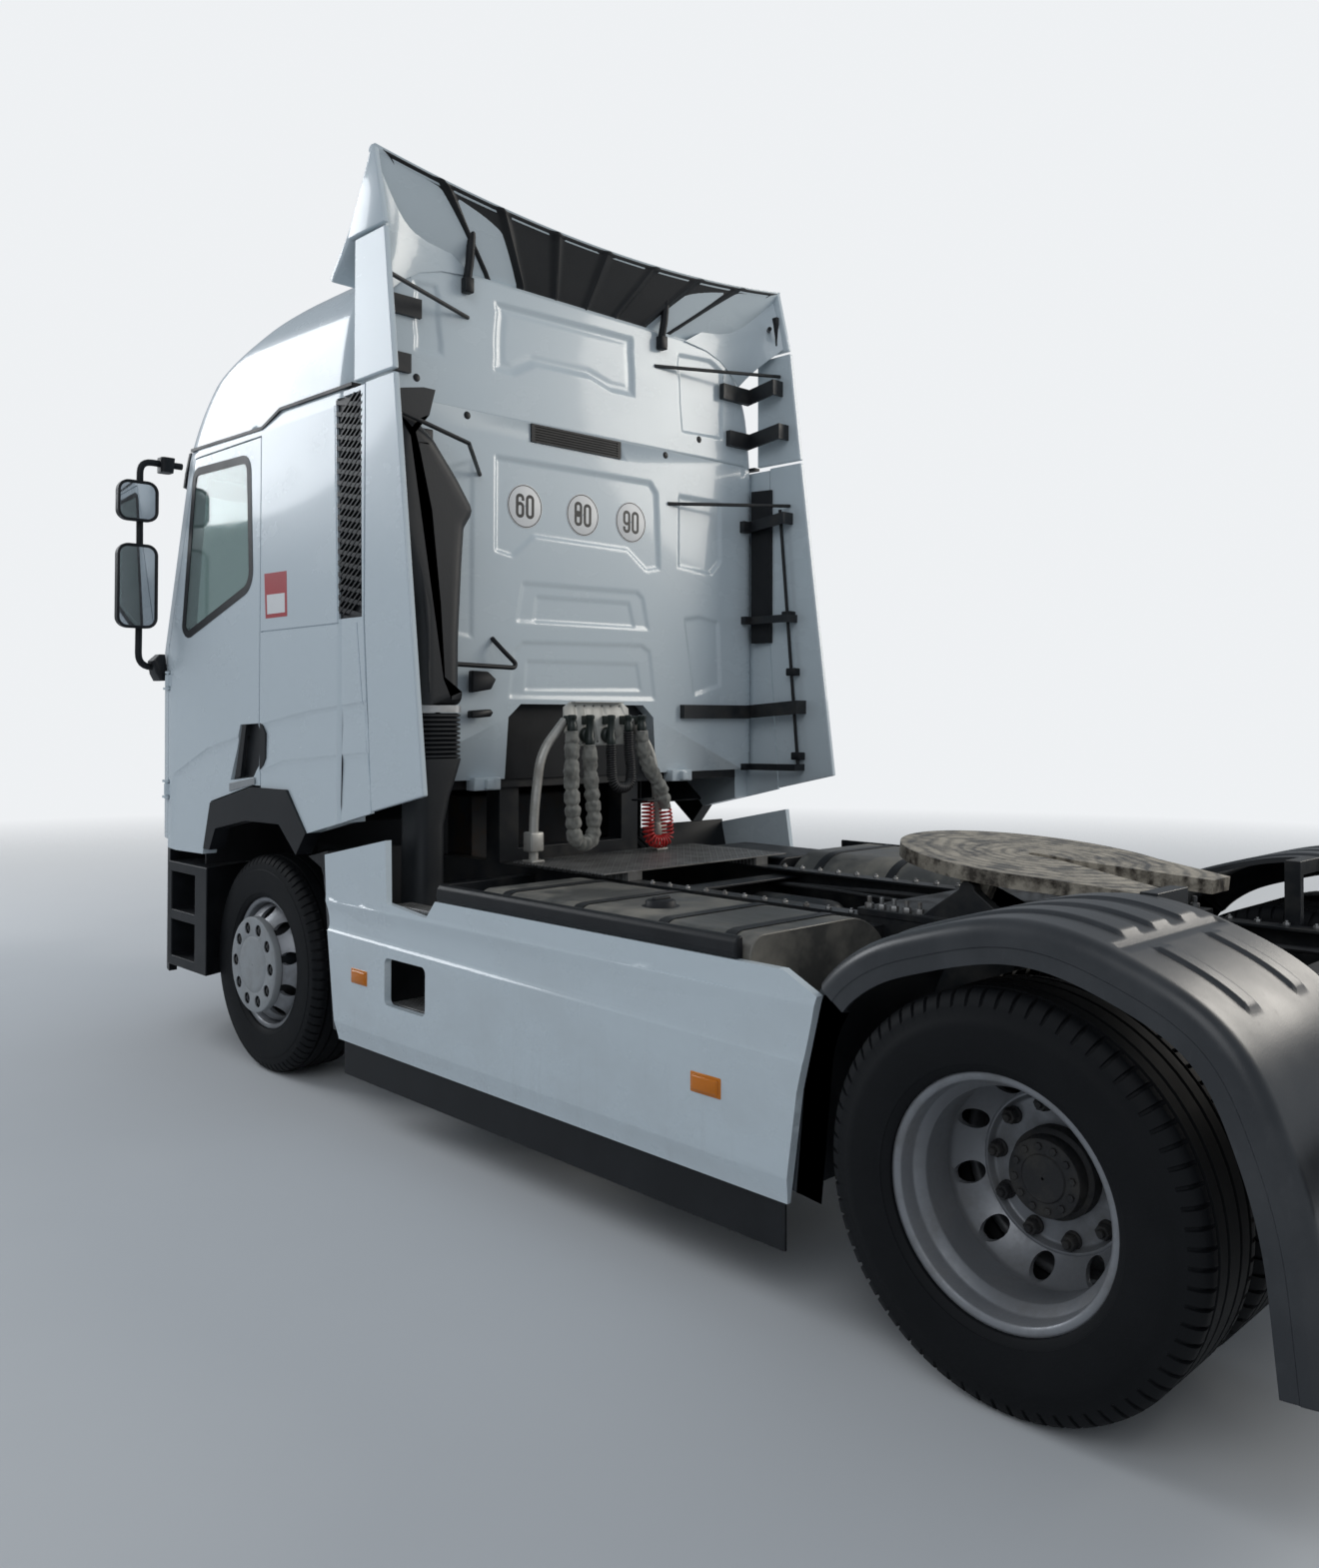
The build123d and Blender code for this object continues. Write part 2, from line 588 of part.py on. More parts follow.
# Fifth wheel base: plate across the rails and two pedestals with their pins.
base_top_z = rail_top_z + base_plate_wall
base_y = (fa(fifth_wheel_y - 420), fa(fifth_wheel_y + 420))
base = block((-rail_outer_x, rail_outer_x), base_y, (rail_top_z, base_top_z))
axis_y = fa(fifth_wheel_y)
pin_radius = 18.0
pedestal_top = 28.0
lug_x = (330.0, 380.0)
pedestal = along_x(
    [
        (fifth_wheel_y - 170, base_top_z), (fifth_wheel_y + 170, base_top_z),
        (fifth_wheel_y + pedestal_top, fifth_wheel_axis_z),
        (fifth_wheel_y - pedestal_top, fifth_wheel_axis_z),
    ],
    lug_x[1] + 6, lug_x[1] + 46,
)
# Rounded top and pin. Columns: radius, low x, high x.
pedestal_rods = [(pedestal_top, lug_x[1] + 6, lug_x[1] + 46), (pin_radius, lug_x[0] + 1, lug_x[1] + 20)]
for radius, low, high in pedestal_rods:
    pedestal += rod(radius, (low, axis_y, fifth_wheel_axis_z), (high, axis_y, fifth_wheel_axis_z))
base += pedestal
base += flip(pedestal)
nodes["fifth_wheel_base"] = base

# Fifth wheel plate: a round plate with two horns and a slot that narrows to the throat.
horn_y = 520.0
plate = Pos(0, axis_y, 0) * extrude(Circle(fifth_wheel_radius), fifth_wheel_wall)
horns = along_z(
    [
        (-445, fifth_wheel_y + 40), (445, fifth_wheel_y + 40), (300, fifth_wheel_y + horn_y),
        (-300, fifth_wheel_y + horn_y),
    ],
    0, fifth_wheel_wall,
)
slot = along_z(
    [
        (-throat_radius, fifth_wheel_y), (throat_radius, fifth_wheel_y), (throat_radius, fifth_wheel_y + 120),
        (170, fifth_wheel_y + horn_y + 20), (-170, fifth_wheel_y + horn_y + 20),
        (-throat_radius, fifth_wheel_y + 120),
    ],
    -10, fifth_wheel_wall + 10,
)
plate = plate + horns - slot
plate -= Pos(0, axis_y, -10) * extrude(Circle(throat_radius), fifth_wheel_wall + 20)
pocket = along_z(
    [
        (-360, fifth_wheel_y - 180), (-120, fifth_wheel_y - 330), (120, fifth_wheel_y - 330),
        (360, fifth_wheel_y - 180), (360, fifth_wheel_y - 60), (-360, fifth_wheel_y - 60),
    ],
    -10, fifth_wheel_wall - fifth_wheel_skin,
)
plate -= pocket
plate = Pos(0, 0, fifth_wheel_axis_z + fifth_wheel_rise - fifth_wheel_wall) * plate
lug = along_x(
    [
        (fifth_wheel_y - 60, fifth_wheel_axis_z + 36), (fifth_wheel_y - 35, fifth_wheel_axis_z - 35),
        (fifth_wheel_y + 35, fifth_wheel_axis_z - 35), (fifth_wheel_y + 60, fifth_wheel_axis_z + 36),
    ],
    lug_x[0], lug_x[1],
)
lug -= rod(pin_radius + running_gap, (300, axis_y, fifth_wheel_axis_z), (450, axis_y, fifth_wheel_axis_z))
plate += lug
plate += flip(lug)
tilt_axis = Axis((0, axis_y, fifth_wheel_axis_z), (1, 0, 0))
nodes["fifth_wheel_plate"] = plate.rotate(tilt_axis, -fifth_wheel_tilt)

# Rear lamp bar across the rail ends.
bar_z = (640.0, 760.0)
lamp_bar = block((-1130, 1130), (rear_y - rail_rear_gap + 15, rear_y), bar_z)
bar_bracket = block(
    (rail_outer_x - rail_flange, rail_outer_x), (rear_y - rail_rear_gap, rear_y - rail_rear_gap + 15),
    (rail_bottom_z, bar_z[1]),
)
lamp_bar += bar_bracket
lamp_bar += flip(bar_bracket)
# Rear lamps. Columns: low x, high x.
rear_lamps = []
for low, high in ((790.0, 900.0), (905.0, 1015.0), (1020.0, 1110.0)):
    lamp = block((low, high), (rear_y - 30, rear_y), (655.0, 745.0))
    rear_lamps += both(lamp)
for lamp in rear_lamps:
    lamp_bar -= lamp
nodes["rear_lamp_bar"] = lamp_bar

# Front bumper: the cab's plan at a lower height, cut for the lamps, with a sloped top edge.
bumper_side_x = cab_half_width - bumper_setback
bumper_front_y = cab_low_front_y + bumper_setback
bumper_back_y = -300.0
bumper_plan = [
    (-bumper_side_x, bumper_front_y), (bumper_side_x, bumper_front_y),
    (bumper_side_x, bumper_back_y), (-bumper_side_x, bumper_back_y),
]
bumper = along_z(bumper_plan, bumper_bottom_z, bumper_top_z, [cab_corner, cab_corner, 0, 0])
inner_corner = cab_corner - bumper_wall
bumper_inside = parallel(bumper_plan, bumper_wall)
bumper -= along_z(bumper_inside, bumper_bottom_z - 10, bumper_top_z + 10, [inner_corner, inner_corner, 0, 0])
bumper &= block((-far_x, far_x), (fa(-1500), fa(door_front_y)), (0, 1000))
bumper -= along_x(
    [(-1400, 925), (bumper_front_y, 925), (bumper_front_y + 60, 990), (-1400, 990)], -900, 900,
)
lamp_edge = [
    (cab_half_width - 525, 600.0), (cab_half_width - 65, 640.0), (cab_half_width - 65, 830.0),
    (cab_half_width - 485, 780.0),
]
lamp_hole = along_y(lamp_edge, -1400, -930)
lamp_zone = along_y(parallel(lamp_edge, seat_gap), -1400, -930)
headlamp = bumper & lamp_zone
bumper = bumper - lamp_hole - flip(lamp_hole)
for low, high in ((400.0, 520.0), (560.0, 640.0)):
    bumper -= block((-560, 560), (fa(-1400), fa(-1300)), (low, high))
nodes["front_bumper"] = bumper
nodes["lamps"] = Compound(both(headlamp) + rear_lamps)
for bracket in both(
    block(
        (rail_outer_x - rail_flange, rail_outer_x),
        (fa(bumper_front_y + bumper_wall), fa(rail_front_y)), (rail_bottom_z, rail_top_z - 40),
    )
):
    outriggers.append(bracket)
nodes["frame_brackets"] = Compound(members + [tilt_tube, rear_mount] + engine_mounts + outriggers)

# Step boxes ahead of the front wheels, with two steps. The back is slanted for the steered wheel.
step_outer_x = cab_half_width - 12
step_inner_x = cab_half_width - 285
step_plan = [
    (step_inner_x, door_front_y + seat_gap), (step_outer_x, door_front_y + seat_gap), (step_outer_x, -455.0),
    (step_inner_x, -570.0),
]
step_box = along_z(step_plan, 370, 890)
for low, high in ((420.0, 600.0), (650.0, 840.0)):
    step_box -= block((step_inner_x + 80, step_outer_x + 60), (fa(-860), fa(-590)), (low, high))
nodes["step_boxes"] = Compound(both(step_box) + both(step))

# Hose stand: two bent legs and the plate that holds the couplings, whose sockets point down.
stand_y = fa(1150)
plate_x = (-60.0, 350.0)
plate_z = (1585.0, 1690.0)
leg_radius = 21.0
stand = block(plate_x, (stand_y - 5, stand_y + 5), plate_z)
stand_hole = (plate_x[0] + 45, plate_z[0] + 40)
stand -= rod(20, (stand_hole[0], stand_y - 20, stand_hole[1]), (stand_hole[0], stand_y + 20, stand_hole[1]))
# Columns: x of the foot, x under the plate.
for x, top_x in ((510.0, 340.0), (-230.0, -50.0)):
    knee = (x + (top_x - x) * 0.22, stand_y, 1470)
    stand += rod(leg_radius, (x, stand_y, deck_z + 4), knee)
    stand += block((x - 35, x + 35), (stand_y - 35, stand_y + 35), (deck_z, deck_z + 8))
    stand += Pos(*knee) * Sphere(leg_radius)
    stand += rod(leg_radius, knee, (top_x, stand_y, plate_z[0] + 20))
# Sockets and elbows under the plate. Columns: x, y, z of the lower end, radius.
stand_sockets = [
    (335.0, 1195.0, 1560.0, 31.0), (232.0, 1195.0, 1500.0, 31.0), (110.0, 1200.0, 1500.0, 28.0),
    (5.0, 1200.0, 1560.0, 28.0), (-75.0, 1204.0, 1560.0, 31.0),
]
for x, y, z, radius in stand_sockets:
    stand += rod(radius, (x, fa(y), z), (x, fa(y), plate_z[0] + 45))
    stand += block((x - 15, x + 15), (stand_y, fa(y)), (plate_z[0], plate_z[0] + 45))
park_z = 1236.0
stand += block((-225, -68), (stand_y - 6, stand_y + 6), (park_z, park_z + 8))
stand += block((-140, -68), (stand_y, fa(1250)), (park_z, park_z + 8))
nodes["hose_stand"] = stand

# Lines that hang from the stand, each the fat tube of its outer diameter.
# Columns of a route: x, y behind the front axle, z. Each radius is as large as its two runs allow.
line_radius = {"grey_sleeve_left": 28.0, "black_coil": 25.0, "grey_sleeve_right": 28.0, "red_coil": 32.0}
line_routes = {
    "grey_sleeve_left": [
        (335, 1195, 1560), (335, 1195, 1450), (347, 1206, 1320), (342, 1212, 1190), (332, 1210, 1070),
        (228, 1208, 1066), (218, 1212, 1170), (228, 1206, 1290), (232, 1195, 1400), (232, 1195, 1500),
    ],
    "black_coil": [
        (5, 1200, 1560), (5, 1200, 1480), (-6, 1208, 1390), (4, 1212, 1300), (106, 1210, 1304),
        (110, 1200, 1400), (110, 1200, 1500),
    ],
    "grey_sleeve_right": [
        (-75, 1204, 1560), (-75, 1204, 1470), (-118, 1216, 1380), (-186, 1226, 1290), (-204, 1226, 1200),
    ],
    "red_coil": [
        (-204, 1226, 1200), (-219, 1226, 1125), (-226, 1228, 1045), (-102, 1226, 1050), (-104, 1216, 1140),
        (-104, 1216, 1236),
    ],
}
for name, route in line_routes.items():
    points = [Vector(x, fa(y), z) for x, y, z in route]
    radii = []
    for before, here, after in zip(points, points[1:], points[2:]):
        turn = radians((here - before).get_angle(after - here))
        radii.append(0.45 * min((here - before).length, (after - here).length) / tan(turn / 2))
    path = FilletPolyline(*points, radius=radii)
    start = Plane(origin=path @ 0, z_dir=path % 0)
    nodes[name] = sweep(start * Circle(line_radius[name]), path=path)
    print(name, "length", round(path.length), "radii", [round(r) for r in radii])

# Cab panels, each as thick as the wall.
body_below = cab_shell & below_roof
screen_sill_z = 1985.0
wall_y = cab_rear_y - cab_wall
wall_z = (1345.0, 2990.0)
front_zone = block((-far_x, far_x), (fa(-far_y), fa(door_front_y)), (cab_bottom_z, screen_sill_z))
back_zone = block((-far_x, far_x), (fa(wall_y), fa(far_y)), wall_z)
side_zone = along_x(
    [
        (-far_y, screen_sill_z + seat_gap), (door_rear_y - 1, screen_sill_z + seat_gap),
        (door_rear_y - 1, 1250.0), (538.0, 1127.0), (wall_y - seat_gap, 1189.0),
        (wall_y - seat_gap, wall_z[1]), (-far_y, wall_z[1]),
    ],
    0, far_x,
)
cab_front = cab_shell & front_zone
grille_x = 720.0
grille_z = (1090.0, 1620.0)
grille_depth = 30.0
grille_room = block((-grille_x, grille_x), (fa(-1500), fa(-1000)), grille_z)
grille_hole = (cab_outer - cab_body(grille_depth)) & grille_room
cab_front -= grille_hole
slat_count = 7
slat_pitch = (grille_z[1] - grille_z[0]) / slat_count
grille = grille_hole
for i in range(slat_count):
    low = grille_z[0] + i * slat_pitch + 14
    slot = [(-1500, low), (-1340, low + 26), (-1340, low + slat_pitch - 20), (-1500, low + slat_pitch - 20)]
    grille -= along_x(slot, -grille_x + 25, grille_x - 25)
side = body_below & side_zone
side = side - door_hole - screen_hole - arch_hole
back_wall = body_below & back_zone
lip_edge = [
    (wall_y - seat_gap, 1189.0), (1045.0, 1240.0), (985.0, 2005.0), (985.0, 2950.0),
    (wall_y - seat_gap, 2950.0),
]
side += along_x(lip_edge, cab_half_width - 20, cab_half_width)
vent_edge = [(760.0, 2930.0), (792.0, 2020.0), (975.0, 2020.0), (955.0, 2930.0)]
vent_depth = 14.0
side -= along_x(vent_edge, cab_half_width - vent_depth, cab_half_width + 5)
# Seams between the outer panels. Columns: y and z of the start, y and z of the end.
seam_half = 3.0
seam_depth = 6.0
seam_rows = [(110.0, 2000.0, 792.0, 2003.0), (936.0, 2000.0, 1047.0, 1240.0), (750.0, 2905.0, 785.0, 2006.0)]
for y0, z0, y1, z1 in seam_rows:
    length = hypot(y1 - y0, z1 - z0)
    ny, nz = -(z1 - z0) / length * seam_half, (y1 - y0) / length * seam_half
    seam_edge = [(y0 + ny, z0 + nz), (y0 - ny, z0 - nz), (y1 - ny, z1 - nz), (y1 + ny, z1 + nz)]
    side -= along_x(seam_edge, cab_half_width - seam_depth, cab_half_width + 5)
lip_room = along_x(parallel(lip_edge, -seat_gap), cab_half_width - 20 - seat_gap, cab_half_width + 20)
back_wall -= lip_room
back_wall -= flip(lip_room)
tunnel_edge = [
    (-470.0, 1340.0), (470.0, 1340.0), (450.0, 1620.0), (380.0, 1680.0), (-380.0, 1680.0), (-450.0, 1620.0),
]
back_wall -= along_y(tunnel_edge, wall_y - 5, cab_rear_y + 5)
cab_roof = cab_shell & roof_zone
# Pressed panels of the back wall. Columns: half width low, half width high, low z, high z, corner radius.
press_depth = 7.0
press_rows = [
    (520.0, 520.0, 2350.0, 2776.0, 50.0), (520.0, 430.0, 3180.0, 3480.0, 50.0),
    (400.0, 380.0, 1760.0, 1830.0, 25.0), (400.0, 380.0, 1880.0, 1980.0, 25.0),
    (400.0, 380.0, 2060.0, 2200.0, 25.0),
]
for low_half, high_half, low, high, corner in press_rows:
    press_edge = [(-low_half, low), (low_half, low), (high_half, high), (-high_half, high)]
    press = along_y(press_edge, cab_rear_y - press_depth, cab_rear_y + 10, corner)
    back_wall -= press
    cab_roof -= press
nodes["cab_roof"] = cab_roof
nodes["windscreen"] = glass_shell & screen_zone

# Doors on two outside hinges each. The hinge line is the door's front edge.
hinge_x = cab_half_width
hinge_y = fa(door_front_y + panel_gap)
hinge_cut = (cab_half_width - 95, cab_half_width + 55)
door = (body_below & door_zone) - window_hole
handle_edge = [(-190.0, 1324.0), (40.0, 1346.0), (95.0, 1400.0), (95.0, 1590.0), (-85.0, 1582.0)]
handle_depth = 30.0
handle_hole = along_x(handle_edge, cab_half_width - handle_depth, cab_half_width + 5)
door -= handle_hole
dish_x = cab_half_width - 22
grip_edge = [(-60.0, 1585.0), (-20.0, 1585.0), (-75.0, 1345.0), (-130.0, 1335.0)]
finger_edge = [(-75.0, 1530.0), (30.0, 1530.0), (-20.0, 1390.0), (-140.0, 1390.0)]
handle = handle_hole & block((cab_half_width - handle_depth, dish_x), (fa(-300), fa(200)), (1300, 1600))
handle += along_x(grip_edge, dish_x, cab_half_width + 3)
handle -= along_x(finger_edge, dish_x, dish_x + 10)
glass = glass_shell & window_zone
for z in (1250.0, 1800.0):
    notch = block(hinge_cut, (hinge_y - 40, hinge_y + 20), (z - 34, z + 34))
    cab_front -= notch
    cab_front -= flip(notch)
    fixed = rod(hinge_pin_radius, (hinge_x, hinge_y, z - 46), (hinge_x, hinge_y, z + 46))
    for low, high in ((z - 46, z - 34), (z + 34, z + 46)):
        door -= block(hinge_cut, (hinge_y - 20, hinge_y + 25), (low - 4, high + 4))
        fixed += block((hinge_x - 60, hinge_x), (hinge_y - 60, hinge_y), (low, high))
        fixed += rod(hinge_barrel_radius, (hinge_x, hinge_y, low), (hinge_x, hinge_y, high))
    cab_front += fixed
    cab_front += flip(fixed)
    barrel = rod(hinge_barrel_radius, (hinge_x, hinge_y, z - 28), (hinge_x, hinge_y, z + 28))
    barrel += block((hinge_x - 55, hinge_x), (hinge_y, hinge_y + 40), (z - 28, z + 28))
    pin_bore = rod(hinge_pin_radius + running_gap, (hinge_x, hinge_y, z - 60), (hinge_x, hinge_y, z + 60))
    door += barrel
    door -= pin_bore
nodes["cab_front"] = cab_front
nodes["cab_side_left"] = side
nodes["cab_side_right"] = flip(side)
handle_room = parallel(handle_edge, seat_gap)
handle &= along_x(handle_room, cab_half_width - handle_depth + seat_gap, cab_half_width + 5)
nodes["door_left"] = door
nodes["door_handle_left"] = handle
nodes["door_handle_right"] = flip(handle)
nodes["door_right"] = flip(door)
nodes["door_glass_left"] = glass
nodes["door_glass_right"] = flip(glass)

# Cab floor with the two legs that reach the tilt tube.
floor = cab_body(cab_wall + seat_gap) & block(
    (-far_x, far_x), (fa(-1500), fa(cab_rear_y)), (cab_floor_z, cab_floor_z + cab_floor_wall),
)
leg_boss = 45.0
leg_rise = cab_floor_z - pivot_z
leg_x = (cab_leg_x - cab_leg_width / 2, cab_leg_x + cab_leg_width / 2)
leg_points = [
    (0, leg_boss), (150, 100), (240, 260), (300, leg_rise), (440, leg_rise), (380, 200), (220, 0),
    (0, -leg_boss),
]
leg = along_x([(pivot_y + y, pivot_z + z) for y, z in leg_points], *leg_x)
leg += rod(leg_boss, (leg_x[0], fa(pivot_y), pivot_z), (leg_x[1], fa(pivot_y), pivot_z))
leg -= rod(pivot_radius + running_gap, (0, fa(pivot_y), pivot_z), (600, fa(pivot_y), pivot_z))
door_y = (fa(door_front_y - 30), fa(door_rear_y + 10))
for room in both(block((door_inner_x, far_x), door_y, (cab_floor_z - 10, 1400))):
    floor -= room
floor += leg
floor += flip(leg)
nodes["cab_floor"] = floor

# Dark trims on the cab: wheel arches, louvred side vents, gutters, rear tunnel cover and visor.
trim_points = arch_edge + arch_inside[::-1]
cab_trims = both(along_x(trim_points, cab_half_width - cab_wall, cab_half_width + 5))
vent = along_x(vent_edge, cab_half_width - vent_depth, cab_half_width - vent_depth + 3)
louvre_count = 19
louvre_pitch = 47.0
louvres = []
for i in range(louvre_count):
    z = 2012.0 + i * louvre_pitch
    bar_edge = [(740, z + 52), (740, z + 70), (1000, z + 18), (1000, z)]
    louvres.append(along_x(bar_edge, cab_half_width - vent_depth + 3, cab_half_width))
slots = along_x(vent_edge, cab_half_width - vent_depth, cab_half_width)
vent += [bar & slots for bar in louvres]
cab_trims += both(vent)
gutter_line = [(-640.0, 2922.0), (111.0, 2910.0), (278.0, 2966.0), (890.0, 2962.0)]
gutter_edge, gutter_corners = band(gutter_line, [60, 60], 14)
gutter = along_x(gutter_edge, cab_half_width - 40, cab_half_width + 4) - cab_body(-seat_gap)
cab_trims += both(gutter)
cab_trims.append(along_y(parallel(tunnel_edge, seat_gap), wall_y, wall_y + 12))
wall_vent_x = (-219.0, 331.0)
wall_vent_z = (2877.0, 2960.0)
wall_vent = block(wall_vent_x, (fa(cab_rear_y - 12), fa(cab_rear_y + 8)), wall_vent_z)
back_wall -= block(
    (wall_vent_x[0] - seat_gap, wall_vent_x[1] + seat_gap), (fa(cab_rear_y - 12), fa(cab_rear_y + 9)),
    (wall_vent_z[0] - seat_gap, wall_vent_z[1] + seat_gap),
)
nodes["cab_back_wall"] = back_wall
for i in range(6):
    z = wall_vent_z[0] + 7 + 12 * i
    slot_x = (wall_vent_x[0] + 19, wall_vent_x[1] - 19)
    wall_vent -= block(slot_x, (fa(cab_rear_y + 3), fa(cab_rear_y + 9)), (z, z + 6))
cab_trims.append(wall_vent)
visor = cab_body(-130) - cab_body(-115)
visor_x = cab_half_width - 165
visor &= along_x([(-1500, 2780), (-600, 2900), (-600, 3060), (-1500, 2940)], -visor_x, visor_x)
for x in (-700.0, 0.0, 700.0):
    stay = block((x - 10, x + 10), (fa(-1350), fa(-1050)), (2900, 2940))
    visor += stay & (cab_body(-120) - cab_body(-seat_gap))
cab_trims += [visor, grille]
nodes["cab_trims"] = Compound(cab_trims)

# Side fairings behind the cab in two parts, with their brackets to the back wall.
fairing_x = cab_half_width - fairing_wall
fairing_low = [(1052.0, 1247.0), (1416.0, 1325.0), (1200.0, 2960.0), (988.0, 2960.0), (991.0, 2005.0)]
fairing_high = [(900.0, 2975.0), (1198.0, 2975.0), (1125.0, 3552.0), (900.0, 3552.0)]
fairings = []
for edge in (fairing_low, fairing_high):
    fairings += both(along_x(edge, fairing_x, cab_half_width))
nodes["side_fairings"] = Compound(fairings)
brackets = []
bracket_x = fairing_x - 80
# Brackets. Columns: z at the wall, z at the fairing, height, y of the fairing end, reach over the wall.
bracket_rows = [
    (1340.0, 1345.0, 34.0, 1230.0, 40.0), (1615.0, 1640.0, 70.0, 1240.0, 500.0),
    (2120.0, 2120.0, 40.0, 1180.0, 40.0), (2610.0, 2640.0, 60.0, 1150.0, 50.0),
    (3060.0, 3090.0, 80.0, 1120.0, 160.0), (3300.0, 3330.0, 80.0, 1080.0, 210.0),
]
for low, far_low, height, far_end, reach in bracket_rows:
    arm = block((bracket_x - reach, bracket_x), (fa(cab_rear_y), fa(cab_rear_y + 30)), (low, low + height))
    arm_edge = [
        (cab_rear_y, low), (far_end, far_low), (far_end, far_low + height), (cab_rear_y, low + height),
    ]
    arm += along_x(arm_edge, bracket_x, bracket_x + 12)
    arm += block((bracket_x, fairing_x), (fa(far_end - 14), fa(far_end)), (far_low, far_low + height))
    brackets.append(flip(arm))
# Left brackets. Columns: z, height, y of the fairing end, reach over the wall.
left_rows = [(2120.0, 40.0, 1180.0, 102.0), (3060.0, 80.0, 1120.0, 240.0), (3300.0, 80.0, 1080.0, 290.0)]
for low, height, far_end, reach in left_rows:
    arm = block((fairing_x - reach, fairing_x), (fa(cab_rear_y), fa(cab_rear_y + 20)), (low, low + height))
    arm += block((fairing_x - 12, fairing_x), (fa(cab_rear_y + 20), fa(far_end)), (low, low + height))
    brackets.append(arm)
# Rods from the wall to the fairings. Columns: x, z at the wall; side, y, z at the fairing.
rod_radius = 9.0
rod_end_x = fairing_x - 4
rod_rows = [
    (681.0, 3365.0, 1, 1105.0, 3378.0), (-453.0, 3380.0, -1, 1060.0, 3440.0),
    (-547.0, 2700.0, -1, 1130.0, 2740.0),
]
for x, low, sign, rod_y, rod_z in rod_rows:
    far_point = (sign * rod_end_x, fa(rod_y), rod_z)
    brackets.append(rod(rod_radius, (x, fa(cab_rear_y), low), far_point) - cab_outer)
# The fourth rod is bent at a knee.
knee = (860.0, fa(1155), 2745.0)
bent_rod = rod(rod_radius, (613.0, fa(cab_rear_y), 2687.0), knee) - cab_outer
bent_rod += rod(rod_radius, knee, (rod_end_x, fa(1150), 2830.0))
bent_rod += Pos(*knee) * Sphere(rod_radius)
brackets.append(bent_rod)
nodes["fairing_brackets"] = Compound(brackets)

# Roof deflector: a steep sheet behind the roof whose top edge dips in the middle, with a cheek each side.
deflector_line = [(690.0, 3440.0), (840.0, 3590.0), (1025.0, 3908.0)]
deflector_outline, deflector_corners = band(deflector_line, [300], -20)
deflector = along_x(deflector_outline, -cab_half_width, cab_half_width, deflector_corners)
dip = 100.0
dip_radius = (cab_half_width ** 2 + dip ** 2) / (2 * dip)
dip_z = 3908.0 - dip + dip_radius
deflector -= rod(dip_radius, (0, fa(600), dip_z), (0, fa(1200), dip_z))
cheek_edge = [(822.0, 3566.0), (1122.0, 3566.0), (1040.0, 3908.0), (1020.0, 3898.0)]
cheek = along_x(cheek_edge, fairing_x, cab_half_width)
deflector += cheek
deflector += flip(cheek)
for x in (-480.0, 700.0):
    strut = along_x([(880.0, 3480.0), (925.0, 3480.0), (985.0, 3800.0), (950.0, 3800.0)], x - 18, x + 18)
    deflector += strut
nodes["roof_deflector"] = deflector - cab_outer

# Air intake: a flat duct up the back wall on the left, and its lower duct on the frame.
intake_edge = [
    (865.0, 1670.0), (1070.0, 1670.0), (1075.0, 2050.0), (1180.0, 2400.0), (1200.0, 2860.0), (1150.0, 2870.0),
    (1000.0, 2760.0), (880.0, 2610.0), (790.0, 2480.0), (840.0, 2400.0), (850.0, 2250.0), (865.0, 1940.0),
]
intake_corners = [0, 0, 200, 200, 20, 20, 200, 0, 25, 30, 0, 0]
nodes["air_intake"] = along_y(intake_edge, cab_rear_y + seat_gap, 1130, intake_corners)
duct_edge = [
    (850.0, 1669.0), (850.0, 1440.0), (930.0, 1180.0), (930.0, 660.0), (1070.0, 660.0), (1070.0, 1669.0),
]
nodes["intake_duct"] = along_y(duct_edge, 960, 1130)

# Mirrors: two housings on a bent arm each side.
mirror_y = (-1060.0, -950.0)
mirror_x = (cab_half_width + 30, cab_half_width + 235)
mirror_corner = 45.0
mirror_set = None
for low, high in ((2060.0, 2490.0), (2600.0, 2810.0)):
    housing_edge = [(mirror_x[0], low), (mirror_x[1], low), (mirror_x[1], high), (mirror_x[0], high)]
    mirror_housing = along_y(housing_edge, *mirror_y, mirror_corner)
    mirror_set = mirror_housing if mirror_set is None else mirror_set + mirror_housing
arm_y = fa(-1000)
arm_radius = 17.0
arm_x = (cab_half_width - 115, cab_half_width + 110)
arm_points = [(arm_x[0], 2915), (arm_x[1], 2915), (arm_x[1], 1870), (arm_x[0], 1870)]
for (x0, z0), (x1, z1) in zip(arm_points, arm_points[1:]):
    mirror_set += rod(arm_radius, (x0, arm_y, z0), (x1, arm_y, z1))
for x, z in arm_points[1:3]:
    mirror_set += Pos(x, arm_y, z) * Sphere(arm_radius)
mirror_set -= cab_body(-seat_gap)
nodes["mirrors"] = Compound(both(mirror_set))

# Inside: dashboard, steering wheel, two seats and the bunk.
floor_top_z = cab_floor_z + cab_floor_wall
dashboard = along_x(
    [(-1290, floor_top_z), (-1010, floor_top_z), (-930, 1800), (-900, 1960), (-1000, 2010), (-1280, 2010)],
    95 - cab_half_width, cab_half_width - 95,
) & cab_body(cab_wall + 1)
column = rod(22, (560, fa(-930), 1869), (560, fa(-748), 2010))
wheel_plane = Plane(origin=(560, fa(-750), 2008), z_dir=(0, 155, 120))
nodes["dashboard"] = dashboard + column + wheel_plane * Torus(225, 16) + wheel_plane * Box(440, 50, 16)
seats = []
for x in (560.0, -560.0):
    seat = block((x - 170, x + 170), (fa(-450), fa(-80)), (floor_top_z, 1620))
    seat += block((x - 250, x + 250), (fa(-520), fa(0)), (1620, 1760))
    seat += along_x([(-60, 1760), (40, 1720), (150, 2420), (60, 2440)], x - 240, x + 240)
    seats.append(seat)
nodes["seats"] = Compound(seats)
bunk_x = cab_half_width - cab_wall - 55
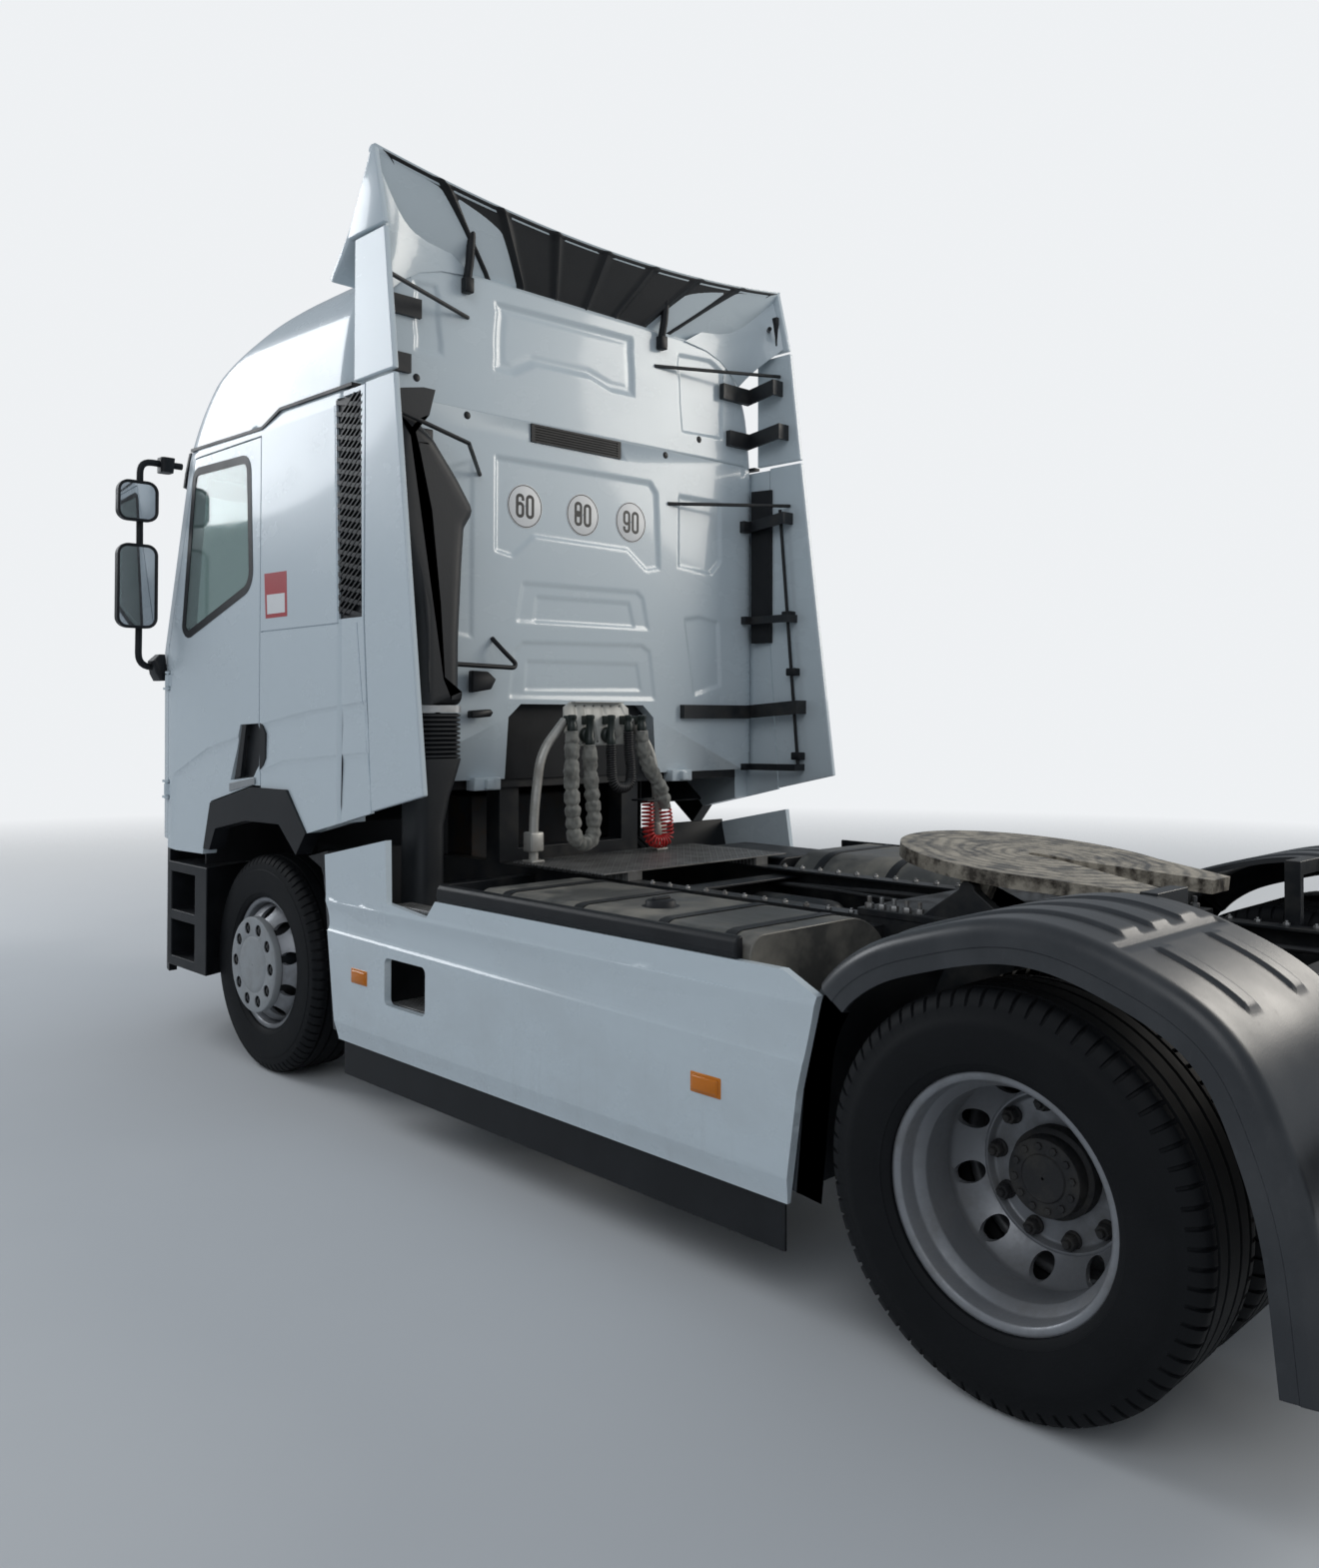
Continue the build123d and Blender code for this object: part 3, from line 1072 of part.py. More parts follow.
nodes["bunk"] = block((-bunk_x, bunk_x), (fa(220), fa(wall_y) - seat_gap), (floor_top_z, 1950))

os.makedirs("parts", exist_ok=True)
for name, shape in nodes.items():
    export_step(shape, f"parts/{name}.step")
print(len(nodes), "nodes")
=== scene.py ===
"""Semi truck tractor unit: finishes, fine shapes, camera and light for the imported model.

Metres. X points to the vehicle's left, Y to its rear and Z up. The ground is at Z 0.
A place written as a distance behind the front axle is moved into the frame by behind_axle().
"""
from __future__ import annotations

import json
import logging
import math
from contextlib import contextmanager
from dataclasses import dataclass, field
from enum import Enum
from typing import Callable, Iterator, Sequence

import bmesh
import bpy
import numpy as np
from mathutils import Matrix, Vector

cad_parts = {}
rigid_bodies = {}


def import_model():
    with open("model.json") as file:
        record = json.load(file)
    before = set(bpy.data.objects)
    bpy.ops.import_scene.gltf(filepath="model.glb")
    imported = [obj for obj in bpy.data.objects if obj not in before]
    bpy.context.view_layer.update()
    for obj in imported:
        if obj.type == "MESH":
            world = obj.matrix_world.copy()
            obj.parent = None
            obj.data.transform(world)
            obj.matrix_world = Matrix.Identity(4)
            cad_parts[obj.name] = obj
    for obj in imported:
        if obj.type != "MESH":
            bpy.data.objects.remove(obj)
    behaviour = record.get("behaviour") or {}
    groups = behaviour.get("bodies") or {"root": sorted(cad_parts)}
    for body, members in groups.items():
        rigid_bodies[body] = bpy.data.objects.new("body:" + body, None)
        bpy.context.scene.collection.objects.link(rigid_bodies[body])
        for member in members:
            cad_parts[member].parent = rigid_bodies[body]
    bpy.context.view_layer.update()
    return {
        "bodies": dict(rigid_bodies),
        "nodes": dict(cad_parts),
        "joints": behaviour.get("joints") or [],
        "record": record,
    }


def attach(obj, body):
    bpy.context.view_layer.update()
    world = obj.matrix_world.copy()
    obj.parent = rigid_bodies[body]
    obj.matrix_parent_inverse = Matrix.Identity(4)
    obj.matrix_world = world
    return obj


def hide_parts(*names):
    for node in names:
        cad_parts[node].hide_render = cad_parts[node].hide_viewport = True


log = logging.getLogger("tractor_unit")
Colour = tuple[float, float, float]
Point = tuple[float, float, float]
Corners = tuple[tuple[float, float], ...]
FRONT_AXLE_Y = -1.6075
REAR_AXLE_Y = 2.1925
AXLE_Z = 0.492
NUTS = 10
NUT_CIRCLE = 0.1675
# Faces that lean less than this from each other are merged.
FLAT = math.radians(0.6)


class Side(Enum):
    """Side of the vehicle. The value is the sign of X."""

    LEFT = 1
    RIGHT = -1


def behind_axle(y: float) -> float:
    """Return the frame's Y of a place y metres behind the front axle."""
    return FRONT_AXLE_Y + y


def span(low: float, high: float) -> tuple[float, float]:
    """Return the frame's Y of two places behind the front axle."""
    return behind_axle(low), behind_axle(high)


def places_at(x: np.ndarray | float, y: np.ndarray | float, z: np.ndarray | float) -> np.ndarray:
    """Points of x, y behind the front axle and z, each an array or one number for all.

    Args:
        x: The frame's x.
        y: Distance behind the front axle.
        z: The frame's z.

    Returns:
        Array (..., 3).
    """
    return np.stack(np.broadcast_arrays(x, behind_axle(np.asarray(y, float)), z), axis=-1)


# ---------------------------------------------------------------- meshes


def grid_faces(rows: int, columns: int, close_rows: bool = False, close_columns: bool = False) -> np.ndarray:
    """Quads of a grid whose point (i, j) has the index i * columns + j.

    Args:
        rows: Points along the first parameter.
        columns: Points along the second parameter.
        close_rows: Join the last row to the first.
        close_columns: Join the last column to the first.

    Returns:
        Array of four indices a face.
    """
    i = np.arange(rows if close_rows else rows - 1)
    j = np.arange(columns if close_columns else columns - 1)
    i, j = np.meshgrid(i, j, indexing="ij")
    i, j = i.ravel(), j.ravel()
    up, along = (i + 1) % rows, (j + 1) % columns
    return np.stack([i * columns + j, i * columns + along, up * columns + along, up * columns + j], axis=1)


def linked(name: str, data: bpy.types.ID) -> bpy.types.Object:
    """Make an object of a mesh, camera or lamp and link it to the scene.

    Args:
        name: Name of the new object.
        data: The mesh, camera or lamp.

    Returns:
        The object.
    """
    obj = bpy.data.objects.new(name, data)
    bpy.context.scene.collection.objects.link(obj)
    return obj


@contextmanager
def edited(mesh: bpy.types.Mesh) -> Iterator[bmesh.types.BMesh]:
    """Open a mesh for an edit, and write it back afterwards.

    Args:
        mesh: The mesh to edit.

    Yields:
        The open mesh.
    """
    work = bmesh.new()
    work.from_mesh(mesh)
    yield work
    work.to_mesh(mesh)
    work.free()


def mesh_object(name: str, points: np.ndarray, faces: Sequence, sharp: float = 40.0) -> bpy.types.Object:
    """Make a mesh object at the origin, shaded smooth apart from edges over the sharp angle.

    Args:
        name: Name of the object.
        points: Array of (n, 3) places.
        faces: Faces as lists of indices.
        sharp: Angle in degrees.

    Returns:
        The object, linked to the scene.
    """
    mesh = bpy.data.meshes.new(name)
    mesh.from_pydata(np.asarray(points, float).reshape(-1, 3).tolist(), [], [list(map(int, f)) for f in faces])
    mesh.update()
    obj = linked(name, mesh)
    smooth(obj, sharp)
    return obj


def smooth(obj: bpy.types.Object, sharp: float) -> None:
    """Shade the object smooth, with its edges over the angle in degrees left sharp."""
    obj.data.shade_smooth()
    obj.data.set_sharp_from_angle(angle=math.radians(sharp))


def mend_normals(obj: bpy.types.Object, merge: float = 1e-6) -> bpy.types.Object:
    """Merge points nearer than the merge distance, turn the faces outwards and return the object.

    Args:
        obj: The object.
        merge: Distance under which points become one.

    Returns:
        The object.
    """
    with edited(obj.data) as work:
        bmesh.ops.remove_doubles(work, verts=work.verts, dist=merge)
        bmesh.ops.recalc_face_normals(work, faces=work.faces)
    return obj


def turned(name: str, profile: Sequence[tuple[float, float]], centre: Point, steps: int, sharp: float = 40.0,
           axis: str = "x") -> bpy.types.Object:
    """Solid of revolution about the line through the centre along an axis.

    Point (i, k) is at the place k along the axis, and at r_k cos(a_i) and r_k sin(a_i) on the other two axes.

    Args:
        name: Name of the object.
        profile: Closed outline as rows of a place along the axis and a radius.
        centre: A point of the axis.
        steps: Points round the axis.
        sharp: Sharp angle in degrees.
        axis: "x" or "y".

    Returns:
        The object.
    """
    rows = np.array(profile)
    angle = np.linspace(0, 2 * np.pi, steps, endpoint=False)[:, None]
    places = [rows[None, :, 1] * np.cos(angle), rows[None, :, 1] * np.sin(angle)]
    places.insert("xyz".index(axis), np.broadcast_to(rows[None, :, 0], (steps, len(rows))))
    points = np.stack(places, axis=-1) + np.array(centre)
    return mend_normals(mesh_object(name, points, grid_faces(steps, len(rows), True, True), sharp))


def frames_along(path: np.ndarray) -> tuple[np.ndarray, np.ndarray, np.ndarray]:
    """Tangents and two steady normals along a path, by carrying the first normal from point to point.

    Args:
        path: Points (n, 3).

    Returns:
        Tangents, first normals and second normals.
    """
    tangent = np.gradient(path, axis=0)
    tangent /= np.linalg.norm(tangent, axis=1, keepdims=True)
    normal = np.zeros_like(path)
    start = np.cross(tangent[0], [0.0, 0.0, 1.0] if abs(tangent[0][2]) < 0.9 else [0.0, 1.0, 0.0])
    normal[0] = start / np.linalg.norm(start)
    for k in range(1, len(path)):
        carried = normal[k - 1] - tangent[k] * (normal[k - 1] @ tangent[k])
        normal[k] = carried / np.linalg.norm(carried)
    return tangent, normal, np.cross(tangent, normal)


def tube(name: str, path: np.ndarray, radius: np.ndarray | float, steps: int = 12) -> bpy.types.Object:
    """Round tube along a path: point (k, a) = path_k + r_k (n_k cos a + b_k sin a), with closed ends.

    Args:
        name: Name of the object.
        path: Points (n, 3).
        radius: Radius, or one for each point.
        steps: Points round the tube.

    Returns:
        The object.
    """
    path = np.asarray(path, float)
    _, normal, binormal = frames_along(path)
    angle = np.linspace(0, 2 * np.pi, steps, endpoint=False)
    reach = np.broadcast_to(np.asarray(radius, float), (len(path),))[:, None, None]
    ring = normal[:, None, :] * np.cos(angle)[None, :, None] + binormal[:, None, :] * np.sin(angle)[None, :, None]
    points = path[:, None, :] + reach * ring
    faces = [list(f) for f in grid_faces(len(path), steps, False, True)]
    faces += [list(range(steps))[::-1], [(len(path) - 1) * steps + j for j in range(steps)]]
    return mend_normals(mesh_object(name, points, faces, 50.0))


def bevelled(obj: bpy.types.Object, width: float, segments: int = 2, angle: float = 32.0) -> bpy.types.Object:
    """Add a bevel and weighted normals, and return the object.

    Args:
        obj: The object.
        width: Width of the bevel in metres.
        segments: Its segments.
        angle: Edges sharper than this angle in degrees get it.

    Returns:
        The object.
    """
    bevel = obj.modifiers.new("edge", "BEVEL")
    bevel.width = width
    bevel.segments = segments
    bevel.limit_method = "ANGLE"
    bevel.angle_limit = math.radians(angle)
    bevel.harden_normals = True
    weight = obj.modifiers.new("normals", "WEIGHTED_NORMAL")
    weight.keep_sharp = True
    return obj


def prism(name: str, outline: Sequence[tuple[float, float]], axis: str, low: float, high: float) -> bpy.types.Object:
    """Straight prism of a flat outline.

    Args:
        name: Name of the object.
        outline: Corners on the other two axes, in the order X, Y, Z.
        axis: Axis that the prism runs along, "x", "y" or "z".
        low: Its lowest place on the axis.
        high: Its highest place on the axis.

    Returns:
        The object.
    """
    flat = np.array(outline, float)
    column = "xyz".index(axis)
    layers = [np.insert(flat, column, level, axis=1) for level in (low, high)]
    count = len(flat)
    faces = [[i, (i + 1) % count, count + (i + 1) % count, count + i] for i in range(count)]
    faces += [list(range(count))[::-1], list(range(count, 2 * count))]
    return mend_normals(mesh_object(name, np.concatenate(layers), faces, 30.0))


def side_plate(name: str, outline: Sequence[tuple[float, float]], low: float, high: float) -> bpy.types.Object:
    """Prism of an outline of (y behind the front axle, Z), between two x."""
    return prism(name, [(behind_axle(y), z) for y, z in outline], "x", low, high)


def lofted(name: str, rings: Sequence[np.ndarray], sharp: float = 40.0) -> bpy.types.Object:
    """Closed solid through rings of points, with a flat face over each end.

    Args:
        name: Name of the object.
        rings: Rings (n, 3) of as many points each.
        sharp: Sharp angle in degrees.

    Returns:
        The object.
    """
    rows, count = len(rings), len(rings[0])
    faces = [list(f) for f in grid_faces(rows, count, False, True)]
    faces += [list(range(count)), [(rows - 1) * count + j for j in range(count)]]
    return mend_normals(mesh_object(name, np.array(rings), faces, sharp))


def rounded_ring(x: tuple[float, float], y: tuple[float, float], radius: float, steps: int) -> np.ndarray:
    """Points (n, 2) round a rectangle whose corners are arcs.

    Args:
        x: Low and high first coordinate.
        y: Low and high second coordinate.
        radius: Radius of the arcs.
        steps: Points of each arc.

    Returns:
        The points, from the corner high in both.
    """
    quarter = np.linspace(0, np.pi / 2, steps)
    centres = ((x[1] - radius, y[1] - radius), (x[0] + radius, y[1] - radius),
               (x[0] + radius, y[0] + radius), (x[1] - radius, y[0] + radius))
    arcs = []
    for k, (a, b) in enumerate(centres):
        angle = quarter + k * np.pi / 2
        arcs.append(np.stack([a + radius * np.cos(angle), b + radius * np.sin(angle)], axis=1))
    return np.concatenate(arcs)


def mirrored(obj: bpy.types.Object, name: str) -> bpy.types.Object:
    """Copy an object to the other side of the vehicle, with its faces turned outwards again.

    Args:
        obj: The object to copy.
        name: Name of the copy.

    Returns:
        The copy.
    """
    mesh = obj.data.copy()
    places = np.empty(len(mesh.vertices) * 3)
    mesh.vertices.foreach_get("co", places)
    places[0::3] *= -1
    mesh.vertices.foreach_set("co", places)
    mesh.flip_normals()
    twin = linked(name, mesh)
    for source in obj.modifiers:
        copy = twin.modifiers.new(source.name, source.type)
        for key in ("width", "segments", "limit_method", "angle_limit", "harden_normals", "keep_sharp", "levels",
                    "render_levels", "thickness", "offset"):
            if hasattr(source, key):
                setattr(copy, key, getattr(source, key))
    return twin


# ---------------------------------------------------------------- finishes


class Nodes:
    """Small writer for a material's nodes."""

    def __init__(self, name: str) -> None:
        """Make the material and keep its tree and shader.

        Args:
            name: Name of the new object.
        """
        self.material = bpy.data.materials.new(name)
        self.material.use_nodes = True
        self.tree = self.material.node_tree
        self.shader = self.tree.nodes["Principled BSDF"]
        self.place = self.add("ShaderNodeTexCoord").outputs["Object"]

    def add(self, kind: str, links: dict | None = None, values: dict | None = None, **settings) -> bpy.types.Node:
        """Add a node.

        Args:
            kind: Blender's name of the node.
            links: Input name or index to the socket that feeds it.
            values: Input name or index to its value.
            **settings: Attributes of the node.

        Returns:
            The node.
        """
        node = self.tree.nodes.new(kind)
        for key, value in settings.items():
            setattr(node, key, value)
        for key, value in (values or {}).items():
            node.inputs[key].default_value = value
        for key, socket in (links or {}).items():
            self.tree.links.new(socket, node.inputs[key])
        return node

    def noise(self, scale: float, detail: float = 4.0, stretch: Point = (1, 1, 1), rough: float = 0.55) -> object:
        """Return the factor of a noise on stretched Object coordinates.

        Args:
            scale: Scale of the noise.
            detail: Its octaves.
            stretch: Factor on each coordinate.
            rough: Share that each octave keeps.

        Returns:
            Socket of the noise.
        """
        mapping = self.add("ShaderNodeMapping", {"Vector": self.place}, {"Scale": stretch})
        node = self.add("ShaderNodeTexNoise", {"Vector": mapping.outputs[0]},
                        {"Scale": scale, "Detail": detail, "Roughness": rough})
        return node.outputs["Fac"]

    def ramp(self, factor: object, low: float, high: float, start: float = 0.0, end: float = 1.0) -> object:
        """Return the factor mapped from low..high to start..end and clamped.

        Args:
            factor: Socket of the factor.
            low: Lowest value.
            high: Highest value.
            start: Result at the lowest value.
            end: Result at the highest value.

        Returns:
            Socket of the result.
        """
        node = self.add("ShaderNodeMapRange", {"Value": factor},
                        {"From Min": low, "From Max": high, "To Min": start, "To Max": end}, clamp=True)
        return node.outputs["Result"]

    def mix(self, factor: object, first: object, second: object) -> object:
        """Return a colour mixed by the factor. A colour is a tuple or a socket.

        Args:
            factor: Socket of the factor.
            first: First value: a plain one or a socket.
            second: Second value: a plain one or a socket.

        Returns:
            Socket of the colour.
        """
        node = self.add("ShaderNodeMix", {"Factor": factor}, data_type="RGBA")
        for index, value in ((6, first), (7, second)):
            if isinstance(value, tuple):
                node.inputs[index].default_value = (*value, 1.0)
            else:
                self.tree.links.new(value, node.inputs[index])
        return node.outputs[2]

    def maths(self, operation: str, first: object, second: object = 0.0) -> object:
        """Return the result of a Math node on two sockets or numbers.

        Args:
            operation: Blender's name of the operation.
            first: First value: a plain one or a socket.
            second: Second value: a plain one or a socket.

        Returns:
            Socket of the result.
        """
        node = self.add("ShaderNodeMath", operation=operation)
        for index, value in ((0, first), (1, second)):
            if isinstance(value, (int, float)):
                node.inputs[index].default_value = value
            else:
                self.tree.links.new(value, node.inputs[index])
        return node.outputs[0]

    def times(self, first: object, second: object) -> object:
        """Return the product of two sockets or numbers."""
        return self.maths("MULTIPLY", first, second)

    def plus(self, first: object, second: object) -> object:
        """Return the sum of two sockets or numbers."""
        return self.maths("ADD", first, second)

    def height(self) -> object:
        """Return the Object coordinate Z."""
        return self.add("ShaderNodeSeparateXYZ", {"Vector": self.place}).outputs["Z"]

    def bump(self, height: object, strength: float, distance: float) -> None:
        """Feed the shader's normal from a height."""
        node = self.add("ShaderNodeBump", {"Height": height}, {"Strength": strength, "Distance": distance})
        self.tree.links.new(node.outputs["Normal"], self.shader.inputs["Normal"])

    def feed(self, name: str, socket: object) -> None:
        """Feed a socket of the shader."""
        self.tree.links.new(socket, self.shader.inputs[name])

    def fix(self, **values: object) -> None:
        """Set plain values on the shader's own sockets, with _ for a space."""
        for key, value in values.items():
            socket = self.shader.inputs[key.replace("_", " ")]
            socket.default_value = (*value, 1.0) if isinstance(value, tuple) and len(value) == 3 else value


@dataclass(frozen=True)
class Paint:
    """Gloss coat paint with faint orange peel, road film low down and thin run marks."""

    name: str = "white_coat"
    # Painted shade: the white paint is written darker and bluer than white, as it looks in cool shade.
    colour: Colour = (0.605, 0.685, 0.735)
    film: Colour = (0.40, 0.41, 0.41)
    film_top: float = 1.1
    film_share: float = 0.16
    rough: float = 0.24

    def material(self) -> bpy.types.Material:
        """Return the node material."""
        n = Nodes(self.name)
        low = n.ramp(n.height(), 0.25, self.film_top, 1.0, 0.12)
        cloud = n.ramp(n.noise(3.0, 8.0, (1, 1, 1.8)), 0.45, 0.75)
        runs = n.ramp(n.noise(26.0, 3.0, (1, 1, 0.06)), 0.58, 0.80)
        marks = n.plus(n.times(cloud, 0.75), n.times(runs, 0.5))
        dust = n.times(n.times(low, marks), self.film_share * 2.4)
        n.feed("Base Color", n.mix(dust, self.colour, self.film))
        n.feed("Roughness", n.ramp(n.plus(dust, n.times(cloud, 0.15)), 0.0, 0.6, self.rough, 0.5))
        n.fix(Coat_Weight=0.45, Coat_Roughness=0.06)
        n.bump(n.noise(160.0, 2.0), 0.04, 0.002)
        return n.material


@dataclass(frozen=True)
class Moulded:
    """Moulded plastic or rubber: fine grain, greyed patches and dust on it."""

    name: str
    colour: Colour
    worn: Colour
    rough: float = 0.5
    grain: float = 420.0
    grain_depth: float = 0.25
    wear_share: float = 0.5
    gloss: float = 0.5

    def material(self) -> bpy.types.Material:
        """Return the node material."""
        n = Nodes(self.name)
        patch = n.ramp(n.noise(5.0, 9.0), 0.42, 0.72)
        scuff = n.ramp(n.noise(60.0, 5.0, (1, 1, 0.35)), 0.60, 0.78)
        share = n.times(n.plus(patch, n.times(scuff, 0.5)), self.wear_share)
        n.feed("Base Color", n.mix(share, self.colour, self.worn))
        n.feed("Roughness", n.ramp(share, 0.0, 1.0, self.rough, min(self.rough + 0.22, 0.95)))
        n.fix(Specular_IOR_Level=self.gloss)
        n.bump(n.noise(self.grain, 3.0), self.grain_depth, 0.0012)
        return n.material


@dataclass(frozen=True)
class Metal:
    """Bare or painted metal: cloudy tone, fine scratches and grime or rust in patches."""

    name: str
    colour: Colour
    grime: Colour
    metallic: float = 1.0
    rough: float = 0.38
    grime_share: float = 0.5
    scale: float = 7.0
    brushed: Point = (1, 1, 1)
    relief: float = 0.15

    def material(self) -> bpy.types.Material:
        """Return the node material."""
        n = Nodes(self.name)
        patch = n.ramp(n.noise(self.scale, 10.0, (1, 1, 1), 0.62), 0.46, 0.66)
        lines = n.noise(180.0, 4.0, self.brushed)
        share = n.times(patch, self.grime_share)
        n.feed("Base Color", n.mix(share, self.colour, self.grime))
        n.feed("Metallic", n.ramp(share, 0.0, 0.8, self.metallic, self.metallic * 0.35))
        rough = n.plus(n.ramp(share, 0.0, 1.0, self.rough, min(self.rough + 0.35, 0.95)),
                        n.ramp(lines, 0.3, 0.7, -0.06, 0.06))
        n.feed("Roughness", rough)
        n.bump(n.plus(n.times(lines, 0.35), n.noise(self.scale * 6, 6.0)), self.relief, 0.0015)
        return n.material


@dataclass(frozen=True)
class Chequered:
    """Tread plate: short raised bars, two ways in turn, on worn metal with dirt between them."""

    name: str = "chequer"
    colour: Colour = (0.42, 0.42, 0.42)
    dirt: Colour = (0.07, 0.065, 0.058)
    pitch: float = 0.030

    def bars(self, n: Nodes, long_way: object, short_way: object, shift: float) -> object:
        """Raised bars: 1 where the short way's sine is at its peak and the long way's is over its half.

        Args:
            n: Writer of the material's nodes.
            long_way: Coordinate along the bars.
            short_way: Coordinate across the bars.
            shift: Angle added to both sines.

        Returns:
            Socket that is 1 on a bar and 0 beside it.
        """
        thin = n.maths("SINE", n.plus(n.times(short_way, 2 * math.pi / self.pitch), shift))
        long = n.maths("SINE", n.plus(n.times(long_way, 2 * math.pi / self.pitch), shift))
        return n.times(n.ramp(thin, 0.80, 0.95), n.ramp(long, -0.35, 0.05))

    def material(self) -> bpy.types.Material:
        """Return the node material. The two ways run at 45 degrees to X and Y."""
        n = Nodes(self.name)
        split = n.add("ShaderNodeSeparateXYZ", {"Vector": n.place})
        one = n.times(n.plus(split.outputs["X"], split.outputs["Y"]), 0.7071)
        two = n.times(n.maths("SUBTRACT", split.outputs["X"], split.outputs["Y"]), 0.7071)
        raised = n.maths("MAXIMUM", self.bars(n, one, two, 0.0), self.bars(n, two, one, math.pi))
        patch = n.ramp(n.noise(8.0, 8.0), 0.4, 0.7)
        share = n.times(n.maths("SUBTRACT", 1.0, raised), n.ramp(patch, 0.0, 1.0, 0.55, 1.0))
        n.feed("Base Color", n.mix(share, self.colour, self.dirt))
        n.feed("Roughness", n.ramp(share, 0.0, 1.0, 0.30, 0.6))
        n.fix(Metallic=0.7)
        n.bump(raised, 0.8, 0.003)
        return n.material


@dataclass(frozen=True)
class Greased:
    """Coupling plate's top: rings of wear and dried grease about a centre."""

    name: str = "greased_plate"
    colour: Colour = (0.50, 0.45, 0.37)
    grease: Colour = (0.055, 0.045, 0.035)
    centre: Point = (0.0, 1.62, 1.16)
    rings: float = 9.0

    def material(self) -> bpy.types.Material:
        """Return the node material. The rings are a sine of the distance from the centre, bent by noise."""
        n = Nodes(self.name)
        centred = n.add("ShaderNodeVectorMath", {0: n.place}, {1: self.centre}, operation="SUBTRACT")
        flat = n.add("ShaderNodeVectorMath", {0: centred.outputs[0]}, {1: (1, 1, 0)}, operation="MULTIPLY")
        reach = n.add("ShaderNodeVectorMath", {0: flat.outputs[0]}, operation="LENGTH").outputs["Value"]
        bent = n.plus(reach, n.times(n.noise(6.0, 8.0), 0.11))
        wave = n.maths("SINE", n.times(bent, 2 * math.pi * self.rings / 0.45))
        ring = n.ramp(wave, -0.2, 1.0)
        patch = n.ramp(n.noise(11.0, 12.0, (1, 1, 1), 0.7), 0.44, 0.60)
        spots = n.plus(n.times(ring, 0.5), n.times(patch, 0.75))
        share = n.times(spots, 0.9)
        n.feed("Base Color", n.mix(share, self.colour, self.grease))
        n.feed("Roughness", n.ramp(share, 0.0, 1.0, 0.55, 0.33))
        n.fix(Metallic=0.25)
        n.bump(n.plus(share, n.noise(90.0, 6.0)), 0.5, 0.003)
        return n.material


@dataclass(frozen=True)
class Tinted:
    """Glass or lamp lens."""

    name: str
    colour: Colour
    share: float = 0.85
    rough: float = 0.03
    glow: float = 0.0

    def material(self) -> bpy.types.Material:
        """Return the node material."""
        n = Nodes(self.name)
        smear = n.ramp(n.noise(4.0, 6.0), 0.4, 0.8, self.rough, self.rough + 0.06)
        n.feed("Roughness", smear)
        n.fix(Base_Color=self.colour, Transmission_Weight=self.share, IOR=1.45)
        if self.glow:
            n.fix(Emission_Color=self.colour, Emission_Strength=self.glow)
        return n.material


@dataclass(frozen=True)
class Woven:
    """Woven cloth: two crossed waves and a noise of dirt."""

    name: str
    colour: Colour
    dirt: Colour
    pitch: float = 0.0016
    fuzz: float = 0.3

    def material(self) -> bpy.types.Material:
        """Return the node material. The weave is sin(2 pi x / pitch) times sin(2 pi z / pitch)."""
        n = Nodes(self.name)
        split = n.add("ShaderNodeSeparateXYZ", {"Vector": n.place})
        turn = 2 * math.pi / self.pitch
        warp = n.maths("SINE", n.times(n.plus(split.outputs["X"], split.outputs["Y"]), turn))
        weft = n.maths("SINE", n.times(split.outputs["Z"], turn))
        patch = n.ramp(n.noise(18.0, 9.0), 0.42, 0.70)
        n.feed("Base Color", n.mix(patch, self.colour, self.dirt))
        n.fix(Roughness=0.9, Sheen_Weight=self.fuzz)
        n.bump(n.times(warp, weft), 0.35, 0.0006)
        return n.material


# ---------------------------------------------------------------- camera, light and floor


